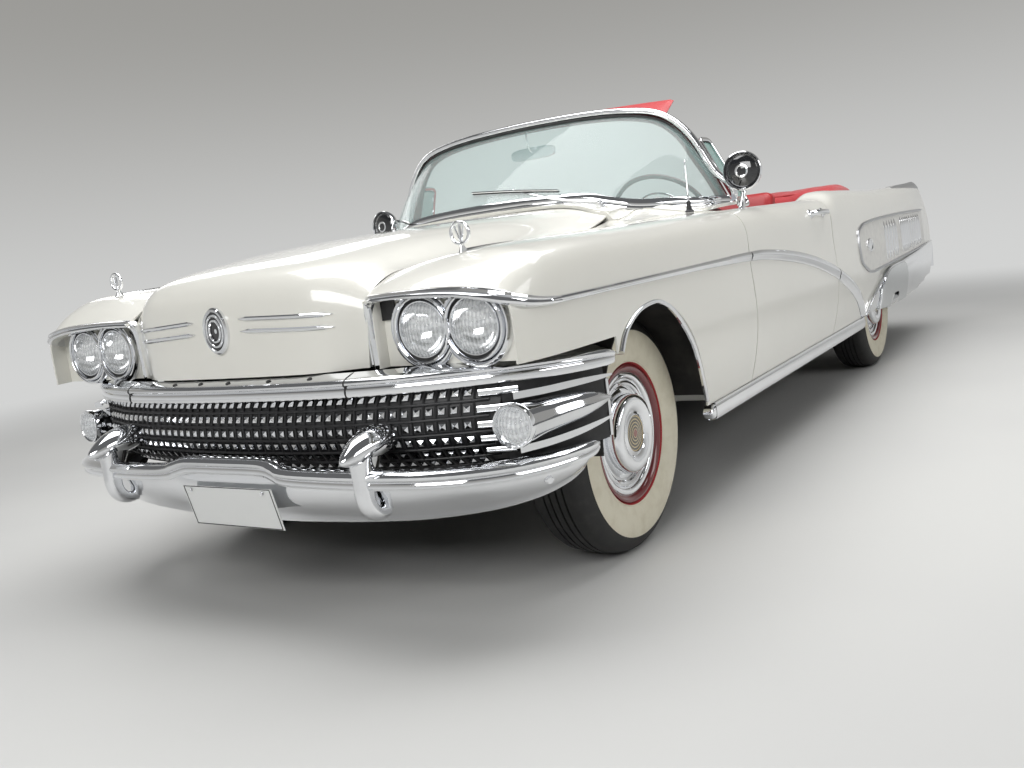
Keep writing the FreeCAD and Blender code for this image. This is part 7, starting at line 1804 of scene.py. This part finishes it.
def make_rear():
    """The bumper with its bullets, the pipes, the bars, a bare plate and a bare oval."""
    path = curve_points(mirrored(REAR_PATH), 6)
    roll = sweep("RearBumper", path, [(-a, b) for a, b in REAR_OUTLINE])
    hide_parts("rear_bumper")
    for side in SIDES:
        lathe("RearBullet" + HAND[side], ((0, 0), (0.004, 0.016), (0.016, 0.03), (0.034, 0.042),
            (0.056, 0.048), (0.076, 0.046), (0.1, 0.04)), (-2.884, 0.62 * side, 0.52), AHEAD,
            steps=40)
        lathe("TailPipe" + HAND[side], ((-0.02, 0.024), (-0.02, 0.028), (0.1, 0.028), (0.1, 0.024)),
            (-2.696, 0.64 * side, 0.3), (1, 0, 0.05), steps=32, loop=True)
    bars = []
    for z in BAR_HEIGHTS:
        rings = []
        for y in spread(-0.56, 0.56, 40):
            spots = [met(skin, (-3.2, y, z), AHEAD) for skin in (LID_SKIN, DECK_SKIN)]
            x = min([spot.x for spot in spots if spot] or [-2.67])
            rings.append([Vector((x + a, y, z + b)) for a, b in ((0.003, -0.007), (-0.004, -0.007),
                (-0.008, -0.003), (-0.008, 0.003), (-0.004, 0.007), (0.003, 0.007))])
        bars.append(rings)
    join("DeckBars", [loft("DeckBar", rings) for rings in bars[:2]])
    loft("LidBars", bars[2], body="trunk_lid")
    plate("RearPlate", [(-2.864, -0.185, 0.58), (-2.864, 0.185, 0.58), (-2.864, 0.185, 0.462),
        (-2.864, -0.185, 0.462)], 0.003, (-1, 0, 0), PLATE_WHITE, slot="body_paint", round_to=0.001)
    spot = met(LID_SKIN, (-3.2, 0, 0.8), AHEAD)
    if spot is not None:
        rings = []
        for grow, proud in ((1, -0.003), (1, 0.008), (0.85, 0.013), (0.5, 0.015), (0.03, 0.0155)):
            rings.append(oval(Vector((spot.x - proud, 0, 0.8)), ACROSS * (0.055 * grow),
                UP * (0.036 * grow), 32))
        loft("LidOval", rings, body="trunk_lid")


def make_rocker(side):
    """The bright sill moulding: a rolled face under a fine bead, drawn to a point at the front."""
    rings = []
    for x, low, high, out in curve_values(((1.58, 0.336, 0.342, 0.96), (1.57, 0.324, 0.36, 0.963),
            (1.545, 0.313, 0.369, 0.9655), (1.5, 0.3112, 0.3705, 0.966),
            (1.0, 0.3112, 0.3705, 0.966), (0.3, 0.3112, 0.3705, 0.966),
            (-0.3, 0.3112, 0.3705, 0.966), (-0.58, 0.3112, 0.3705, 0.9655),
            (-0.605, 0.314, 0.368, 0.964)), 4):
        tall = high - low
        rings.append(
            flip([Vector((x, y, low + tall * t)) for y, t in ((out - 0.034, 1), (out - 0.007, 1),
            (out - 0.003, 0.975), (out - 0.0025, 0.93), (out - 0.006, 0.895), (out - 0.005, 0.86),
            (out - 0.0012, 0.78), (out, 0.6), (out - 0.0004, 0.4), (out - 0.002, 0.2),
            (out - 0.006, 0.06), (out - 0.012, 0), (out - 0.034, 0))], side))
    sill = loft("SillStrip" + HAND[side], rings)
    if side > 0:
        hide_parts("rockers")


def make_body_fillers():
    """Painted metal round the cowl, and the apron over the rear bumper."""
    fender = ((0.556, 1.056), (0.6, 1.053), (0.66, 1.044), (0.7, 1.036), (0.74, 1.028),
        (0.78, 1.02), (0.82, 1.013), (0.85, 1.009))
    cowl = ((0.556, 1.081), (0.6, 1.071), (0.66, 1.055), (0.7, 1.044), (0.74, 1.035), (0.78, 1.029),
        (0.82, 1.0255), (0.85, 1.025))
    for side in SIDES:
        rings = []
        for y in spread(0.548, 0.848, 30):
            a, b = along_table(fender, y), along_table(cowl, y)
            ring = [Vector((1.212 - 0.12 * k / 8, y * side, a + 0.0012 + (b - a)
                * smooth_share(k / 8))) for k in range(9)]
            rings.append(ring + [p - Vector((0, 0, 0.006)) for p in reversed(ring)])
        loft("CowlFiller" + HAND[side], rings, WHITE, slot="body_paint")
        rings = []
        for x, top, low in ((1.374, 1.055, 1.0215), (1.35, 1.0575, 1.0235), (1.32, 1.0585, 1.029),
                (1.28, 1.0615, 1.037), (1.24, 1.0675, 1.0465), (1.2, 1.0745, 1.056),
                (1.17, 1.0805, 1.064), (1.13, 1.085, 1.078)):
            outline = ((0.52, top + 0.006), (0.534, top + 0.0025), (0.546, top - 0.004),
                (0.556, (top + low) / 2), (0.568, low + 0.003), (0.59, low - 0.0005),
                (0.585, low - 0.006), (0.54, low - 0.006), (0.52, low))
            rings.append([Vector((x, y * side, z)) for y, z in outline])
        loft("CowlCheek" + HAND[side], rings, WHITE, slot="body_paint")
    lip = ((0, 1.113, 1.1), (0.2, 1.11, 1.097), (0.3, 1.1055, 1.093), (0.4, 1.0975, 1.079),
        (0.45, 1.0845, 1.066), (0.5, 1.068, 1.045), (0.54, 1.0565, 1.033), (0.552, 1.05, 1.022))
    rings = []
    for y in spread(-0.552, 0.552, 92):
        top, low = along_table(lip, abs(y)), along_table([(a, c) for a, b, c in lip], abs(y))
        rings.append([Vector((x, y, z)) for x, z in ((1.3755, low - 0.004), (1.376, low),
            (1.3735, low * 0.35 + top * 0.65), (1.366, top - 0.0005), (1.352, top + 0.001),
            (1.348, top - 0.004), (1.348, low - 0.004))])
    loft("CowlLip", rings, WHITE, slot="body_paint")
    rings = []
    for y in spread(-0.935, 0.935, 80):
        bend = 0.085 * smooth_share(max(0, (abs(y) - 0.6) / 0.335))
        drop = 0.01 * smooth_share(min(1, max(0, (abs(y) - 0.8) / 0.13)))
        outer = [(-2.668, 0.608), (-2.695, 0.606), (-2.735, 0.598 - drop),
            (-2.78 + bend * 0.7, 0.588 - drop), (-2.812 + bend, 0.574 - drop)]
        inner = [(-2.808 + bend, 0.56 - drop), (-2.76 + bend * 0.6, 0.545),
            (-2.73 + bend * 0.4, 0.49), (-2.72 + bend * 0.3, 0.43), (-2.69, 0.4), (-2.668, 0.405),
            (-2.662, 0.5)]
        rings.append([Vector((x, y, z)) for x, z in outer + inner])
    loft("RearApron", rings, WHITE, slot="body_paint")


LID_SKIN = skin_of("trunk_lid")
DECK_SKIN = skin_of("rear_deck")

make_windshield_trim()
make_wiper(1, (1.29, 0.48, 1.083), (1.3, 0.3, 1.128), (1.27, 0.09, 1.19), (1.29, 0.31, 1.156),
    (1.262, -0.11, 1.202))
make_wiper(-1, (1.29, -0.48, 1.083), (1.262, -0.56, 1.11), (1.18, -0.61, 1.15), (1.3, -0.43, 1.12),
    (1.06, -0.69, 1.15))
for door_side in SIDES:
    make_door_parts(door_side)
make_dash_parts()
make_steering_wheel()
make_seats()
make_boot()
make_visors()
make_carpets()
for sill_side in SIDES:
    make_rocker(sill_side)
for cheek_side in SIDES:
    wire("CheekEdge" + HAND[cheek_side], [(2.306, 0.964 * cheek_side, 0.446),
        (2.306, 0.966 * cheek_side, 0.52), (2.306, 0.966 * cheek_side, 0.6)], 0.006)
for tail_side in SIDES:
    make_tail(tail_side)
make_rear()
make_body_fillers()


# Camera, floor and light.

EYE = Vector((4.49494, 2.14369, 0.98367))
YAW, PITCH, ROLL = (math.radians(a) for a in (-145.961, -8.435, -7.434))
LENS_MM = 33.07


def set_camera():
    ahead = Vector((math.cos(PITCH) * math.cos(YAW), math.cos(PITCH) * math.sin(YAW),
        math.sin(PITCH)))
    right = Vector((math.sin(YAW), -math.cos(YAW), 0))
    above = right.cross(ahead)
    across = right * math.cos(ROLL) + above * math.sin(ROLL)
    over = above * math.cos(ROLL) - right * math.sin(ROLL)
    data = bpy.data.cameras.new("StudioCamera")
    data.lens = LENS_MM
    data.sensor_width = 36.0
    data.clip_start = 0.05
    data.clip_end = 100.0
    camera = bpy.data.objects.new("StudioCamera", data)
    bpy.context.scene.collection.objects.link(camera)
    turn = Matrix((across, over, -ahead)).transposed()
    camera.matrix_world = Matrix.Translation(EYE) @ turn.to_4x4()
    bpy.context.scene.camera = camera


def studio_paper():
    """Pale paper, whose far part shows at its own brightness to the eye and in reflections."""
    r = Recipe("StudioPaper", Specular_IOR_Level=0.2)
    r.colour(r.mix(r.noise(0.8, 2.0).step(0.3, 0.8), tone(0.6, 0.6, 0.585), tone(0.57, 0.57, 0.56)))
    r.set("Roughness", r.noise(3.0) * 0.1 + 0.7)
    x, y, z = r.axes()
    far = ((x * x + y * y) ** 0.5).step(3.6, 8.0)
    seen = [r.node("ShaderNodeLightPath", output=i) for i in (0, 3, 6)]
    shown = seen[0].highest(seen[1].highest(seen[2]))
    glow = r.node("ShaderNodeEmission", None,
        {0: r.mix(z.step(-1.0, 7.0), tone(0.66, 0.665, 0.66), tone(0.33, 0.325, 0.31)), 1: 1.0})
    both = r.node("ShaderNodeMixShader", None, {0: far * shown, 1: Wire(r, r.shader.outputs[0]),
        2: glow})
    r.tree.links.new(both.socket, r.tree.nodes["Material Output"].inputs["Surface"])
    return r.material


def set_studio():
    """A pale floor that curves up into a wall, under soft lamps."""
    mesh = bpy.data.meshes.new("StudioFloor")
    rings = [(0.0, 0.0), (4.0, 0.0), (8.0, 0.0), (10.5, 0.0)]
    rings += [(10.5 + 5.5 * math.sin(a), 5.5 - 5.5 * math.cos(a))
        for a in (math.radians(9 * i) for i in range(1, 11))]
    rings += [(16.0, 9.0)]
    around = 96
    points = []
    faces = []
    for radius, height in rings:
        for i in range(around):
            turn = 2 * math.pi * i / around
            points.append((radius * math.cos(turn), radius * math.sin(turn), height))
    for j in range(len(rings) - 1):
        for i in range(around):
            k = (i + 1) % around
            faces.append((j * around + i, j * around + k, (j + 1) * around + k, (j + 1) * around
                + i))
    mesh.from_pydata(points, [], faces)
    for face in mesh.polygons:
        face.use_smooth = True
    floor = bpy.data.objects.new("StudioFloor", mesh)
    bpy.context.scene.collection.objects.link(floor)
    dress(floor, studio_paper())
    for name, place, aim, size, power in (("SoftboxAbove", (0.6, 0.4, 5.2), (0.2, 0.0, 0.0),
            (7.5, 3.6), 370.0), ("SoftboxFront", (7.0, 1.5, 3.4), (1.5, 0.0, 0.6), (3.5, 2.2),
            150.0), ("SoftboxSide", (1.5, 7.0, 3.6), (0.3, 0.0, 0.5), (6.0, 2.0), 115.0),
            ("SoftboxFar", (-3.0, -6.5, 4.0), (-0.5, 0.0, 0.5), (5.0, 2.0), 90.0)):
        data = bpy.data.lights.new(name, "AREA")
        data.shape = "RECTANGLE"
        data.size, data.size_y = size
        data.energy = power
        lamp = bpy.data.objects.new(name, data)
        lamp.location = place
        lamp.rotation_mode = "QUATERNION"
        lamp.rotation_quaternion = (Vector(aim) - Vector(place)).to_track_quat("-Z", "Y")
        bpy.context.scene.collection.objects.link(lamp)
    world = bpy.data.worlds.new("StudioAir")
    world.use_nodes = True
    world.node_tree.nodes["Background"].inputs["Color"].default_value = tone(0.8, 0.81, 0.82)
    world.node_tree.nodes["Background"].inputs["Strength"].default_value = 0.17
    bpy.context.scene.world = world
    bpy.context.scene.view_settings.view_transform = "Standard"


set_camera()
set_studio()
